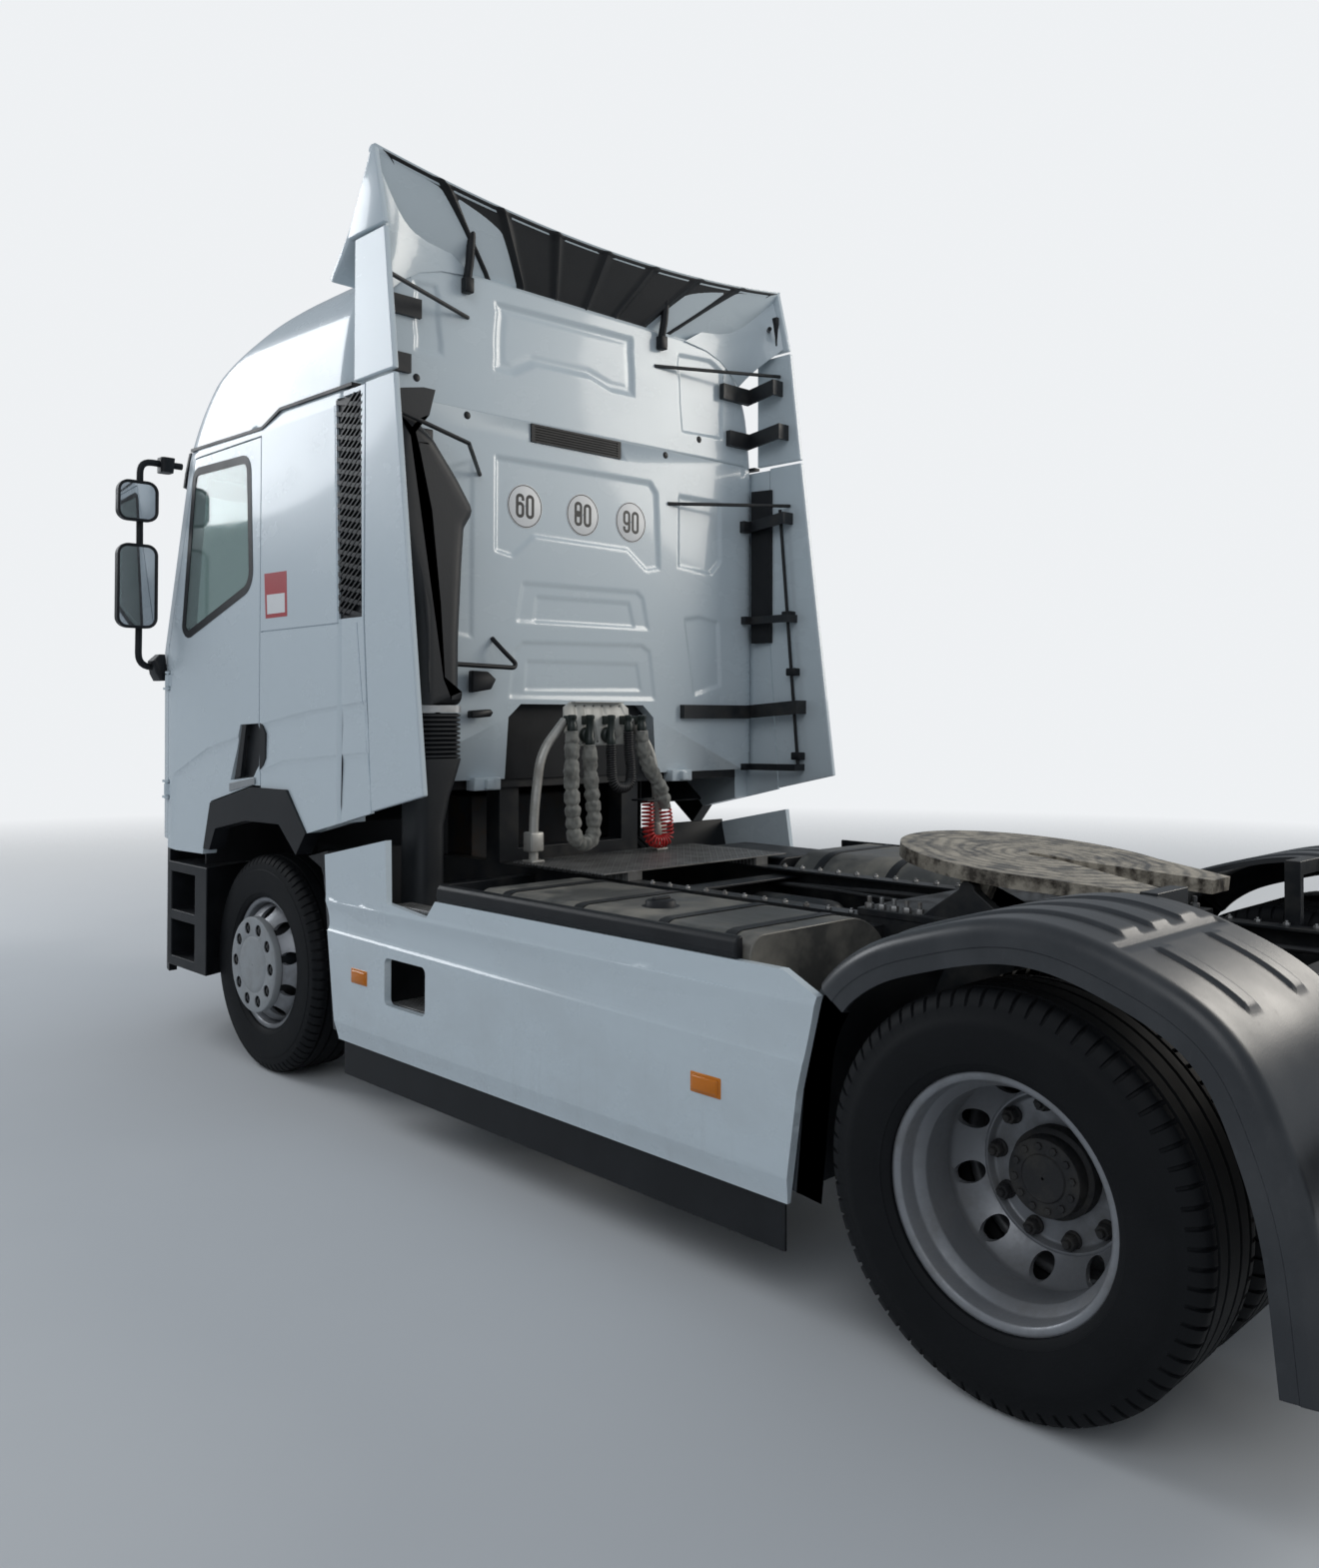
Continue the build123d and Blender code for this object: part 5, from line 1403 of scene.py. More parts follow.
@dataclass
class SteeredWheel:
    """Front wheel: tyre, rim with its hub cover, and the nuts behind the cover's holes."""

    middle: float = 1.020
    # Hub cover. Columns: distance from the wheel's middle, radius.
    cover: tuple = (
        (0.166, 0.2160), (0.190, 0.2160), (0.1955, 0.2135), (0.198, 0.2080), (0.1985, 0.1290), (0.1972, 0.1272),
        (0.1985, 0.1254), (0.2000, 0.1000), (0.2004, 0.0040), (0.196, 0.0020), (0.193, 0.0040), (0.193, 0.2040),
        (0.187, 0.2090), (0.166, 0.2090),
    )
    hole_radius: float = 0.0265
    # Dark hub behind it, with the same columns.
    back: tuple = ((0.060, 0.208), (0.183, 0.208), (0.183, 0.05), (0.060, 0.05))

    def build(self, wardrobe: Wardrobe) -> None:
        """Make both front wheels.

        Args:
            wardrobe: The finishes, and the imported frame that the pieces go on.
        """
        tyre = Tyre().ring("front_tyre_left_skin", self.middle, FRONT_AXLE_Y)
        rim = Rim().build("front_rim_left_skin", self.middle, 1, FRONT_AXLE_Y)
        centre = (self.middle, FRONT_AXLE_Y, AXLE_Z)
        cover = turned("front_hub_cover_left", self.cover, centre, 96)
        cuts = [
            tube(f"cover_hole_{k}", np.array([(x + 0.15, y, z), (x + 0.21, y, z)]), self.hole_radius, 24)
            for k, (x, y, z) in enumerate(circle_places(NUTS, NUT_CIRCLE, centre))
        ]
        cover = carved(cover, joined("cover_holes", cuts))
        back = turned("front_hub_left", self.back, centre, 64)
        face = self.back[1][0]
        nuts = bolts("front_nuts_left", [(x + face, y, z) for x, y, z in circle_places(NUTS, NUT_CIRCLE, centre)],
                     "x", 0.0195, 0.010, 0.004)
        dark = joined("front_hub_left_dark", [back, nuts])
        body = "front_wheel_left"
        wardrobe.dress_both(tyre, "tyre_skin", body, ("front_tyre_left",))
        wardrobe.dress_both(rim, "rim_coat", body, ("front_rim_left",))
        wardrobe.dress_both(cover, "hub_cover_coat", body)
        wardrobe.dress_both(dark, "frame_coat", body)


@dataclass
class TwinWheels:
    """Rear twin wheels with their nuts and drive hub."""

    outer: float = 1.098
    inner: float = 0.748
    # Drive hub. Columns: distance from the outer wheel's middle, radius.
    hub: tuple = (
        (-0.300, 0.060), (-0.300, 0.112), (-0.155, 0.1125), (-0.130, 0.1120), (-0.126, 0.1060), (-0.124, 0.0990),
        (-0.092, 0.0975), (-0.087, 0.0950), (-0.0855, 0.0900), (-0.0855, 0.0600), (-0.0815, 0.0560),
        (-0.0812, 0.0040), (-0.120, 0.0020), (-0.120, 0.0560),
    )
    # Washer of a nut, with the same columns.
    washer: tuple = ((-0.168, 0.004), (-0.168, 0.0235), (-0.161, 0.0230), (-0.158, 0.0200), (-0.158, 0.004))
    nut_phase: float = 0.855

    def build(self, wardrobe: Wardrobe) -> None:
        """Make both pairs.

        Args:
            wardrobe: The finishes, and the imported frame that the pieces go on.
        """
        places = (("outer", self.outer, -1), ("inner", self.inner, 1))
        tyres = joined("rear_tyres_left_skin", [Tyre().ring(f"{name}_tyre", x, REAR_AXLE_Y) for name, x, _ in places])
        rims = joined("rear_rims_left_skin",
                      [Rim().build(f"{name}_rim", x, dished, REAR_AXLE_Y) for name, x, dished in places])
        centre = (self.outer, REAR_AXLE_Y, AXLE_Z)
        hub = turned("rear_hub", self.hub, centre, 72)
        places = circle_places(NUTS, NUT_CIRCLE, centre, self.nut_phase)
        washers = [turned(f"washer_{k}", self.washer, place, 20) for k, place in enumerate(places)]
        nuts = bolts("rear_nuts", [(x - 0.160, y, z) for x, y, z in places], "x", 0.0205, 0.024, 0.012)
        small = bolts("rear_hub_bolts", [(x - 0.0855, y, z) for x, y, z in circle_places(12, 0.078, centre, 0.3)],
                      "x", 0.0095, 0.006)
        dark = joined("rear_hub_left_dark", [hub, nuts, small, *washers])
        valve = rods("rear_valve", [((self.outer - 0.06, REAR_AXLE_Y + 0.085, AXLE_Z + 0.222),
                                     (self.outer + 0.035, REAR_AXLE_Y + 0.091, AXLE_Z + 0.240))], 0.004, 8)
        valve.name = "rear_valve_left"
        body = "rear_wheel_left"
        wardrobe.dress_both(tyres, "tyre_skin", body, ("rear_tyres_left",))
        wardrobe.dress_both(rims, "rim_coat", body, ("rear_rims_left",))
        wardrobe.dress_both(dark, "hub_coat", body)
        wardrobe.dress_both(valve, "bright_aluminium", body)


# ---------------------------------------------------------------- mudguards


@dataclass
class RearMudguards:
    """Bent guards over the twin wheels: rounded outer edge, side flange, raised ribs and a flap."""

    # Line of the guard's top. Columns: Y from the rear axle, Z.
    line: tuple = ((-0.640, 0.340), (-0.590, 0.860), (-0.420, 1.040), (0.090, 1.200), (0.560, 1.010), (0.700, 0.640),
                   (0.735, 0.300))
    corners: tuple = (0.160, 0.240, 0.560, 0.260, 0.200)
    # Ribs. Columns: low x, high x, front and rear Y from the rear axle.
    ribs: tuple = (
        (0.690, 0.790, -0.500, 0.250), (0.850, 0.950, -0.500, 0.250), (1.010, 1.110, -0.500, 0.250),
        (0.740, 0.810, 0.310, 0.520), (1.020, 1.090, 0.310, 0.520),
    )
    rib_height: float = 0.0085
    wall: float = 0.018
    inner_x: float = 0.620
    outer_x: float = 1.250
    edge: float = 0.042
    flange: float = 0.105
    skirt_inner_x: float = 1.207
    skirt_rear: float = -0.525
    # Ledge across the top: Y from the rear axle at which it falls and rises, low and high x, depth.
    ledge_y: tuple = ((0.268, 0.276), (0.284, 0.292))
    ledge_x: tuple = (0.64, 1.19)
    ledge_depth: float = 0.006
    # Flap: low and high x, Y from the rear axle, Z.
    flap: tuple = ((0.66, 1.21), (0.722, 0.730), (0.303, 0.56))

    def section(self) -> tuple[np.ndarray, np.ndarray]:
        """Return the closed section as x and depth under the line: top, rounded edge, flange and underside."""
        top = np.arange(self.inner_x, self.outer_x - self.edge, 0.007)
        bend = np.linspace(0, np.pi / 2, 9)
        edge_x = self.outer_x - self.edge + self.edge * np.sin(bend)
        edge_d = self.edge - self.edge * np.cos(bend)
        side_d = np.array([0.055, 0.064, 0.067, 0.092, self.flange])
        side_x = self.outer_x + np.array([0.0, 0.0, -0.003, -0.003, -0.004])
        under = np.array([(self.outer_x - self.wall, self.flange), (self.outer_x - self.wall, self.edge + 0.01),
                          (self.outer_x - self.edge, self.wall), (self.inner_x, self.wall)])
        x = np.concatenate([top, edge_x, side_x, under[:, 0]])
        return x, np.concatenate([np.zeros(len(top)), edge_d, side_d, under[:, 1]])

    def build(self, wardrobe: Wardrobe) -> None:
        """Point (i, j) is line_i plus its normal times (rib height less the section's depth), at the section's x.

        Args:
            wardrobe: The finishes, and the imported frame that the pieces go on.
        """
        line = averaged(rounded_line(self.line, self.corners, 0.012), 11)
        normal = -normals_of(line)
        normal[:, 0] *= np.sign(normal[len(line) // 2, 1])
        normal[:, 1] *= np.sign(normal[len(line) // 2, 1])
        x, depth = self.section()
        height = np.zeros((len(line), len(x)))
        run = line[:, 0]
        for low, high, front, rear in self.ribs:
            across = soft_step(x, low, low + 0.010) * (1 - soft_step(x, high - 0.010, high))
            along = soft_step(run, front, front + 0.012) * (1 - soft_step(run, rear - 0.012, rear))
            along = along * (line[:, 1] > 0.85)
            height += self.rib_height * along[:, None] * across[None, :]
        ledge = soft_step(run, *self.ledge_y[0]) * (1 - soft_step(run, *self.ledge_y[1]))
        height -= self.ledge_depth * ledge[:, None] * (x[None, :] > self.ledge_x[0]) * (x[None, :] < self.ledge_x[1])
        height *= (depth < 0.001)[None, :]
        reach = height - depth[None, :]
        y = line[:, :1] + normal[:, :1] * reach
        z = line[:, 1:] + normal[:, 1:] * reach
        limit = np.where(line[:, :1] < self.skirt_rear, self.skirt_inner_x, 2.0)
        wide = np.minimum(np.broadcast_to(x[None, :], y.shape), limit)
        points = np.stack([wide, REAR_AXLE_Y + y, z], axis=-1)
        guard = lofted("rear_guard_left", points)
        wide, deep, tall = self.flap
        flap = box("rear_flap_left", wide, (REAR_AXLE_Y + deep[0], REAR_AXLE_Y + deep[1]), tall, 0.0)
        guard = joined("rear_guard_left_skin", [guard, flap])
        wardrobe.refined("mudguards", "black_mould", 0.004,
                         lambda middle: middle[1] < REAR_AXLE_Y - 0.45, "front_guards_and_lips")
        wardrobe.dress_both(guard, "guard_mould", "chassis", ("mudguards",))


# ---------------------------------------------------------------- cab panels, skirts and deflector


def sliced(obj: bpy.types.Object, cuts: Sequence[tuple[Point, Point]]) -> None:
    """Cut an object's faces by planes, so that its vertices can take a finer shape.

    Args:
        obj: The object.
        cuts: Planes as a point and a normal.
    """
    with edited(obj.data) as work:
        for place, normal in cuts:
            geometry = work.verts[:] + work.edges[:] + work.faces[:]
            bmesh.ops.bisect_plane(work, geom=geometry, dist=1e-5, plane_co=place, plane_no=normal)


def level_cuts(axis: str, low: float, high: float, step: float) -> list[tuple[Point, Point]]:
    """Planes across an axis, a step apart.

    Args:
        axis: "x", "y" or "z".
        low: Low end of the field that they cut.
        high: High end of that field.
        step: Distance between the planes.

    Returns:
        Planes as a point and a normal.
    """
    column = "xyz".index(axis)
    normal = tuple(1.0 if k == column else 0.0 for k in range(3))
    return [(tuple(value if k == column else 0.0 for k in range(3)), normal)
            for value in np.arange(low + step / 2, high, step)]


def line_cuts(line: Sequence[tuple[float, float]], offsets: Sequence[float]) -> list[tuple[Point, Point]]:
    """Planes along X through the runs of a line of (y behind the front axle, z), moved down by each offset.

    Args:
        line: Points as (y behind the front axle, Z).
        offsets: Distances down from the line.

    Returns:
        Planes as a point and a normal.
    """
    cuts = []
    for (y0, z0), (y1, z1) in zip(line, line[1:]):
        for offset in offsets:
            cuts.append(((0.0, behind_axle(y0), z0 - offset), (0.0, -(z1 - z0), y1 - y0)))
    return cuts


def reshaped(obj: bpy.types.Object, shape: Callable[[np.ndarray], np.ndarray]) -> bpy.types.Object:
    """Move an object's vertices by a function of their places, and return the object.

    Args:
        obj: The object.
        shape: Function of the places (n, 3) that returns the new ones.

    Returns:
        The object.
    """
    mesh = obj.data
    places = np.empty(len(mesh.vertices) * 3)
    mesh.vertices.foreach_get("co", places)
    mesh.vertices.foreach_set("co", shape(places.reshape(-1, 3)).ravel())
    mesh.update()
    return obj


def flattened(obj: bpy.types.Object, merge: float = 5e-5) -> bpy.types.Object:
    """Take out faces that are closed up, merge what is flat and cut faces of many corners into triangles.

    Args:
        obj: The object.
        merge: Distance under which points become one.

    Returns:
        The object.
    """
    with edited(obj.data) as work:
        bmesh.ops.remove_doubles(work, verts=work.verts, dist=merge)
        bmesh.ops.dissolve_degenerate(work, edges=work.edges, dist=merge)
        bmesh.ops.dissolve_limit(work, angle_limit=FLAT, verts=work.verts, edges=work.edges)
        bmesh.ops.triangulate(work, faces=[f for f in work.faces if len(f.verts) > 4])
    return obj


@dataclass(frozen=True)
class Pressing:
    """Pressed shape of a wall: a recess, or a line round it. Corners are (x, z)."""

    corners: Corners
    depth: float = 0.006
    width: float = 0.020
    line: bool = False

    def at(self, x: np.ndarray, z: np.ndarray) -> np.ndarray:
        """Return the depth at each place: full inside, or a round groove along the outline.

        Args:
            x: First coordinates.
            z: Second coordinates.

        Returns:
            Depth at each place.
        """
        distance = polygon_distance(x, z, self.corners)
        if self.line:
            return self.depth * np.exp(-((distance / self.width) ** 2))
        return self.depth * (1 - soft_step(distance, -self.width, 0.0))


@dataclass
class RearWall:
    """Cab's back wall and roof: their pressed panels, plugs, number discs, latches and guard tube."""

    wall_y: float = 0.890
    old_press: float = 0.007
    step: float = 0.0085
    # Pressed fields of the wall and of the roof: low and high x, then Z.
    wall_field: tuple = ((-1.095, 1.095), (1.700, 2.872))
    roof_field: tuple = ((-0.955, 0.955), (2.985, 3.500))
    pressings: tuple = (
        Pressing(((0.528, 3.476), (-0.300, 3.498), (-0.320, 3.195), (-0.159, 3.192), (-0.020, 3.231), (0.306, 3.223),
                  (0.430, 3.156), (0.541, 3.159)), 0.009, 0.022),
        Pressing(((0.486, 3.448), (-0.270, 3.462), (-0.283, 3.235), (-0.159, 3.232), (-0.020, 3.266), (0.316, 3.258),
                  (0.440, 3.196), (0.496, 3.199)), 0.003, 0.014, True),
        Pressing(((1.024, 3.460), (0.823, 3.476), (0.802, 3.166), (1.022, 3.155)), 0.009, 0.022),
        Pressing(((-0.601, 3.481), (-0.840, 3.502), (-0.960, 3.445), (-1.030, 3.087), (-0.641, 3.073)), 0.009, 0.022),
        Pressing(((0.533, 2.790), (-0.430, 2.800), (-0.480, 2.747), (-0.500, 2.360), (-0.400, 2.340), (-0.270, 2.430),
                  (0.302, 2.437), (0.425, 2.335), (0.533, 2.354)), 0.009, 0.022),
        Pressing(((-0.620, 2.760), (-0.940, 2.760), (-0.950, 2.440), (-0.870, 2.360), (-0.620, 2.380)), 0.008, 0.022),
        Pressing(((0.377, 2.235), (-0.340, 2.245), (-0.385, 2.215), (-0.424, 2.052), (0.413, 2.045)), 0.006, 0.018),
        Pressing(((0.293, 2.179), (-0.295, 2.187), (-0.333, 2.058), (0.312, 2.050)), 0.005, 0.016),
        Pressing(((0.425, 1.924), (0.375, 1.967), (-0.371, 1.983), (-0.432, 1.953), (-0.527, 1.364), (0.500, 1.364)),
                 0.006, 0.018),
        Pressing(((0.349, 1.882), (-0.349, 1.889), (-0.380, 1.747), (0.361, 1.736)), 0.005, 0.016),
        Pressing(((-0.660, 2.130), (-0.782, 2.150), (-0.933, 2.130), (-0.950, 1.780), (-0.734, 1.724)), 0.008, 0.022),
        Pressing(((0.640, 2.760), (0.800, 2.700), (0.780, 1.980), (0.640, 1.960)), 0.006, 0.022),
    )
    # Lines pressed straight across. Columns: half width, height.
    bars: tuple = ((0.380, 1.685), (0.380, 1.620))
    # Seam right across.
    seam_z: float = 2.975
    # Plugs: x, Z. Their outline: y off the wall, radius.
    plugs: tuple = ((0.942, 3.052), (0.682, 2.937), (-0.773, 3.061), (-0.530, 2.943))
    plug: tuple = ((-0.004, 0.002), (-0.004, 0.017), (0.001, 0.017), (0.003, 0.014), (0.0035, 0.002))
    # Speed discs: text, x, Z. Outlines of a disc and of its ring: y off its back, radius.
    discs: tuple = (("60", 0.356, 2.579), ("80", 0.010, 2.579), ("90", -0.301, 2.579))
    disc: tuple = ((0.0, 0.004), (0.0, 0.100), (0.0016, 0.100), (0.002, 0.0985), (0.002, 0.004))
    disc_ring: tuple = ((0.0021, 0.0925), (0.0021, 0.0965), (0.0027, 0.0965), (0.0027, 0.0925))
    # Guard tube: x, y off the wall, Z.
    guard: tuple = (
        (0.542, 0.0, 1.969), (0.536, 0.055, 1.925), (0.468, 0.075, 1.858), (0.487, 0.090, 1.838),
        (0.878, 0.115, 1.845), (0.905, 0.120, 1.816), (0.909, 0.120, 1.479),
    )
    # Its black ears: x, Z.
    ear: tuple = ((0.684, 1.822), (0.601, 1.820), (0.557, 1.787), (0.583, 1.742), (0.684, 1.726))
    low_ear: tuple = ((0.690, 1.648), (0.588, 1.655), (0.575, 1.640), (0.588, 1.622), (0.690, 1.615))

    def depth(self, x: np.ndarray, z: np.ndarray) -> np.ndarray:
        """Return how deep the wall is pressed at each place.

        Args:
            x: First coordinates.
            z: Second coordinates.

        Returns:
            Depth at each place.
        """
        total = np.zeros_like(x)
        for pressing in self.pressings:
            total += pressing.at(x, z)
        for half, level in self.bars:
            inside = 1 - soft_step(np.abs(x), half - 0.02, half + 0.02)
            total += 0.004 * np.exp(-(((z - level) / 0.009) ** 2)) * inside
        total += 0.005 * np.exp(-(((z - self.seam_z) / 0.010) ** 2))
        return total

    def level(self, places: np.ndarray) -> np.ndarray:
        """Bring the plain recesses of the CAD copy flush with the wall.

        Args:
            places: The vertices' places (n, 3), changed in place.

        Returns:
            The new places.
        """
        back = behind_axle(self.wall_y)
        near = np.abs(places[:, 1] - (back - self.old_press)) < 0.0006
        places[near, 1] = back
        return places

    def press(self, obj: bpy.types.Object, x: tuple[float, float], z: tuple[float, float]) -> None:
        """Put a finely pressed field into the wall's flat outer face.

        Point (i, j) of the field is (x_i, wall less the depth there, z_j). The depth fades out at the field's edge.

        Args:
            obj: The wall.
            x: Low and high end of the field.
            z: The same in height.
        """
        back = behind_axle(self.wall_y)
        edges = [((value, 0, 0), (1, 0, 0)) for value in x] + [((0, 0, value), (0, 0, 1)) for value in z]
        sliced(obj, edges)
        with edited(obj.data) as work:
            inside = []
            for face in work.faces:
                centre = face.calc_center_median()
                flat = all(abs(v.co.y - back) < 0.0004 for v in face.verts)
                if flat and x[0] < centre.x < x[1] and z[0] < centre.z < z[1]:
                    inside.append(face)
            bmesh.ops.delete(work, geom=inside, context="FACES")
        xs = np.linspace(*x, int((x[1] - x[0]) / self.step) + 1)
        zs = np.linspace(*z, int((z[1] - z[0]) / self.step) + 1)
        px, pz = np.meshgrid(xs, zs, indexing="ij")
        edge = np.minimum(np.minimum(px - x[0], x[1] - px), np.minimum(pz - z[0], z[1] - pz))
        depth = self.depth(px, pz) * soft_step(edge, 0.0, 0.025)
        pressed = sheet_mesh(f"{obj.name}_field", np.stack([px, back - depth, pz], axis=-1))
        face_towards(pressed, (0, 1, 0))
        with edited(obj.data) as work:
            work.from_mesh(pressed.data)
            bmesh.ops.remove_doubles(work, verts=work.verts, dist=1e-5)
        bpy.data.objects.remove(pressed)

    def crown(self, places: np.ndarray) -> np.ndarray:
        """Round the roof between its sections: each ring takes the half width and front of a smooth curve.

        Args:
            places: The vertices' places (n, 3), changed in place.

        Returns:
            The new places.
        """
        sections = np.array(ROOF_SECTIONS)
        z = np.clip(places[:, 2], sections[0, 0], sections[-1, 0])
        rear = behind_axle(self.wall_y)
        for column, axis, fixed in ((2, 0, 0.0), (1, 1, rear)):
            straight = np.interp(z, sections[:, 0], sections[:, column])
            curved = smooth_curve(z, sections[:, 0], sections[:, column])
            if axis == 1:
                straight, curved = behind_axle(straight), behind_axle(curved)
            places[:, axis] = fixed + (places[:, axis] - fixed) * (curved - fixed) / (straight - fixed)
        return places

    def build(self, wardrobe: Wardrobe) -> None:
        """Make the wall, the roof and what is fixed to them.

        Args:
            wardrobe: The finishes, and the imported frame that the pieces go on.
        """
        wall = wardrobe.refined("cab_back_wall", "white_coat", 0.0)
        flattened(reshaped(wall, self.level))
        self.press(wall, *self.wall_field)
        smooth(wall, 40.0)
        roof = wardrobe.refined("cab_roof", "white_coat", 0.0)
        flattened(reshaped(roof, self.level))
        sliced(roof, level_cuts("z", 2.93, 3.56, 0.035) + level_cuts("y", -2.8, -0.72, 0.09))
        self.press(roof, *self.roof_field)
        smooth(reshaped(roof, self.crown), 40.0)
        self.fix_discs(wardrobe)
        self.fix_small(wardrobe)

    def fix_discs(self, wardrobe: Wardrobe) -> None:
        """Speed discs: white with a thin black ring and upright numbers.

        Args:
            wardrobe: The finishes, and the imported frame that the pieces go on.
        """
        back = behind_axle(self.wall_y) - 0.009
        for text, x, z in self.discs:
            white = turned(f"disc_{text}", self.disc, (x, back, z), 64, 35.0, "y")
            wardrobe.dress(white, "disc_white", "cab")
            ring = turned(f"disc_{text}_ring", self.disc_ring, (x, back, z), 64, 35.0, "y")
            number = joined(f"disc_{text}_number", [
                digit_strip(f"disc_{text}_{k}", figure, (x + 0.0285 * (1 - 2 * k), back + 0.0022, z))
                for k, figure in enumerate(text)])
            wardrobe.dress(number, "print_black", "cab")
            wardrobe.dress(ring, "print_black", "cab")

    def fix_small(self, wardrobe: Wardrobe) -> None:
        """Plugs, latch blocks, the guard tube beside the intake and its black ear.

        Args:
            wardrobe: The finishes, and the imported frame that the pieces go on.
        """
        back = behind_axle(self.wall_y)
        plugs = [turned(f"plug_{k}", self.plug, (x, back, z), 24, 35.0, "y") for k, (x, z) in enumerate(self.plugs)]
        wardrobe.dress(joined("wall_plugs", plugs), "black_mould", "cab")
        blocks = []
        for low, high in ((0.514, 0.658), (-0.694, -0.551)):
            blocks.append(box(f"latch_{low}", (low, high), (back - 0.03, back + 0.035), (1.299, 1.357), 0.006))
            middle = (low + high) / 2
            blocks.append(box(f"latch_ear_{low}", (middle - 0.020, middle + 0.020), (back + 0.03, back + 0.06),
                              (1.305, 1.350), 0.005))
        wardrobe.dress(joined("latch_blocks", blocks), "white_coat", "cab")
        path = np.array([(x, back + y, z) for x, y, z in self.guard])
        guard = tube("guard_tube", round_path(path, 0.03), 0.0105)
        ear = prism("guard_ear", self.ear, "y", back + 0.02, back + 0.055)
        low_ear = prism("guard_ear_low", self.low_ear, "y", back + 0.02, back + 0.06)
        plate = box("wall_hook", (0.895, 0.965), (back - 0.002, back + 0.06), (2.70, 2.83), 0.006)
        parts = [guard, bevelled(ear, 0.006), bevelled(low_ear, 0.006), plate]
        wardrobe.dress(joined("wall_fittings", parts), "black_mould", "cab")


def digit_strip(name: str, figure: str, centre: Point) -> bpy.types.Object:
    """Narrow bold figure as a flat strip of even width on the wall.

    A strip follows a line of the figure: point (i, side) is line_i plus or minus half the width times its normal.

    Args:
        name: Name of the object.
        figure: One of 0, 6, 8 and 9.
        centre: Middle of the figure on the wall.

    Returns:
        The object.
    """
    wide, tall, width, bend = 0.0165, 0.0475, 0.0150, 0.0150
    oval = [(0, tall), (wide, tall), (wide, -tall), (-wide, -tall), (-wide, tall), (0, tall)]
    lower = [(0, 0.010), (wide, 0.010), (wide, -tall), (-wide, -tall), (-wide, 0.010), (0, 0.010)]
    hook = [(wide, 0.024), (wide, tall), (-wide, tall), (-wide, -0.010)]
    lines = {"0": [oval], "6": [lower, hook], "8": [lower, [(a, 0.005 - b) for a, b in lower]],
             "9": [[(-a, -b) for a, b in lower], [(-a, -b) for a, b in hook]]}[figure]
    strips = []
    for k, line in enumerate(lines):
        path = rounded_line(line, [bend] * (len(line) - 2), 0.004)
        normal = normals_of(path)
        rows = np.stack([path + normal * width / 2, path - normal * width / 2], axis=1)
        x, y, z = centre
        points = np.stack([x - rows[..., 0], np.full(rows.shape[:2], y + 0.0002 * k), z + rows[..., 1]], axis=-1)
        strip = face_towards(sheet_mesh(f"{name}_{k}", points), (0, 1, 0))
        strips.append(strip)
    return joined(name, strips)


# Roof's sections. Columns: Z, front behind the front axle, half width.
ROOF_SECTIONS = ((2.900, -1.095, 1.245), (3.230, -0.880, 1.205), (3.420, -0.480, 1.120), (3.530, 0.060, 0.980),
                 (3.560, 0.420, 0.800))


def smooth_curve(where: np.ndarray, knots: np.ndarray, values: np.ndarray) -> np.ndarray:
    """Cubic curve through knots with slopes that never overshoot.

    The slope at an inner knot is the harmonic mean of its two runs' slopes, and 0 where they differ in sign.

    Args:
        where: Places asked for.
        knots: Rising knots.
        values: Value at each knot.

    Returns:
        Value at each place.
    """
    step = np.diff(knots)
    run = np.diff(values) / step
    slope = np.zeros(len(knots))
    same = run[:-1] * run[1:] > 0
    slope[1:-1][same] = 2 * run[:-1][same] * run[1:][same] / (run[:-1][same] + run[1:][same])
    slope[0], slope[-1] = run[0] * 0.6, run[-1] * 1.5
    k = np.clip(np.searchsorted(knots, where, side="right") - 1, 0, len(step) - 1)
    t = (where - knots[k]) / step[k]
    h = step[k]
    return ((2 * t**3 - 3 * t**2 + 1) * values[k] + (t**3 - 2 * t**2 + t) * h * slope[k]
            + (3 * t**2 - 2 * t**3) * values[k + 1] + (t**3 - t**2) * h * slope[k + 1])


def round_path(points: np.ndarray, radius: float) -> np.ndarray:
    """Path in space with its corners cut by curves of two mixed runs.

    Args:
        points: Corners.
        radius: Distance from a corner at which its curve starts.

    Returns:
        Points of the path.
    """
    out = [points[0]]
    for before, here, after in zip(points, points[1:], points[2:]):
        near = min(radius, np.linalg.norm(here - before) * 0.45, np.linalg.norm(after - here) * 0.45)
        start = here + (before - here) / np.linalg.norm(before - here) * near
        end = here + (after - here) / np.linalg.norm(after - here) * near
        for t in np.linspace(0, 1, 7):
            out.append((1 - t) ** 2 * start + 2 * t * (1 - t) * here + t**2 * end)
    out.append(points[-1])
    return np.array(out)


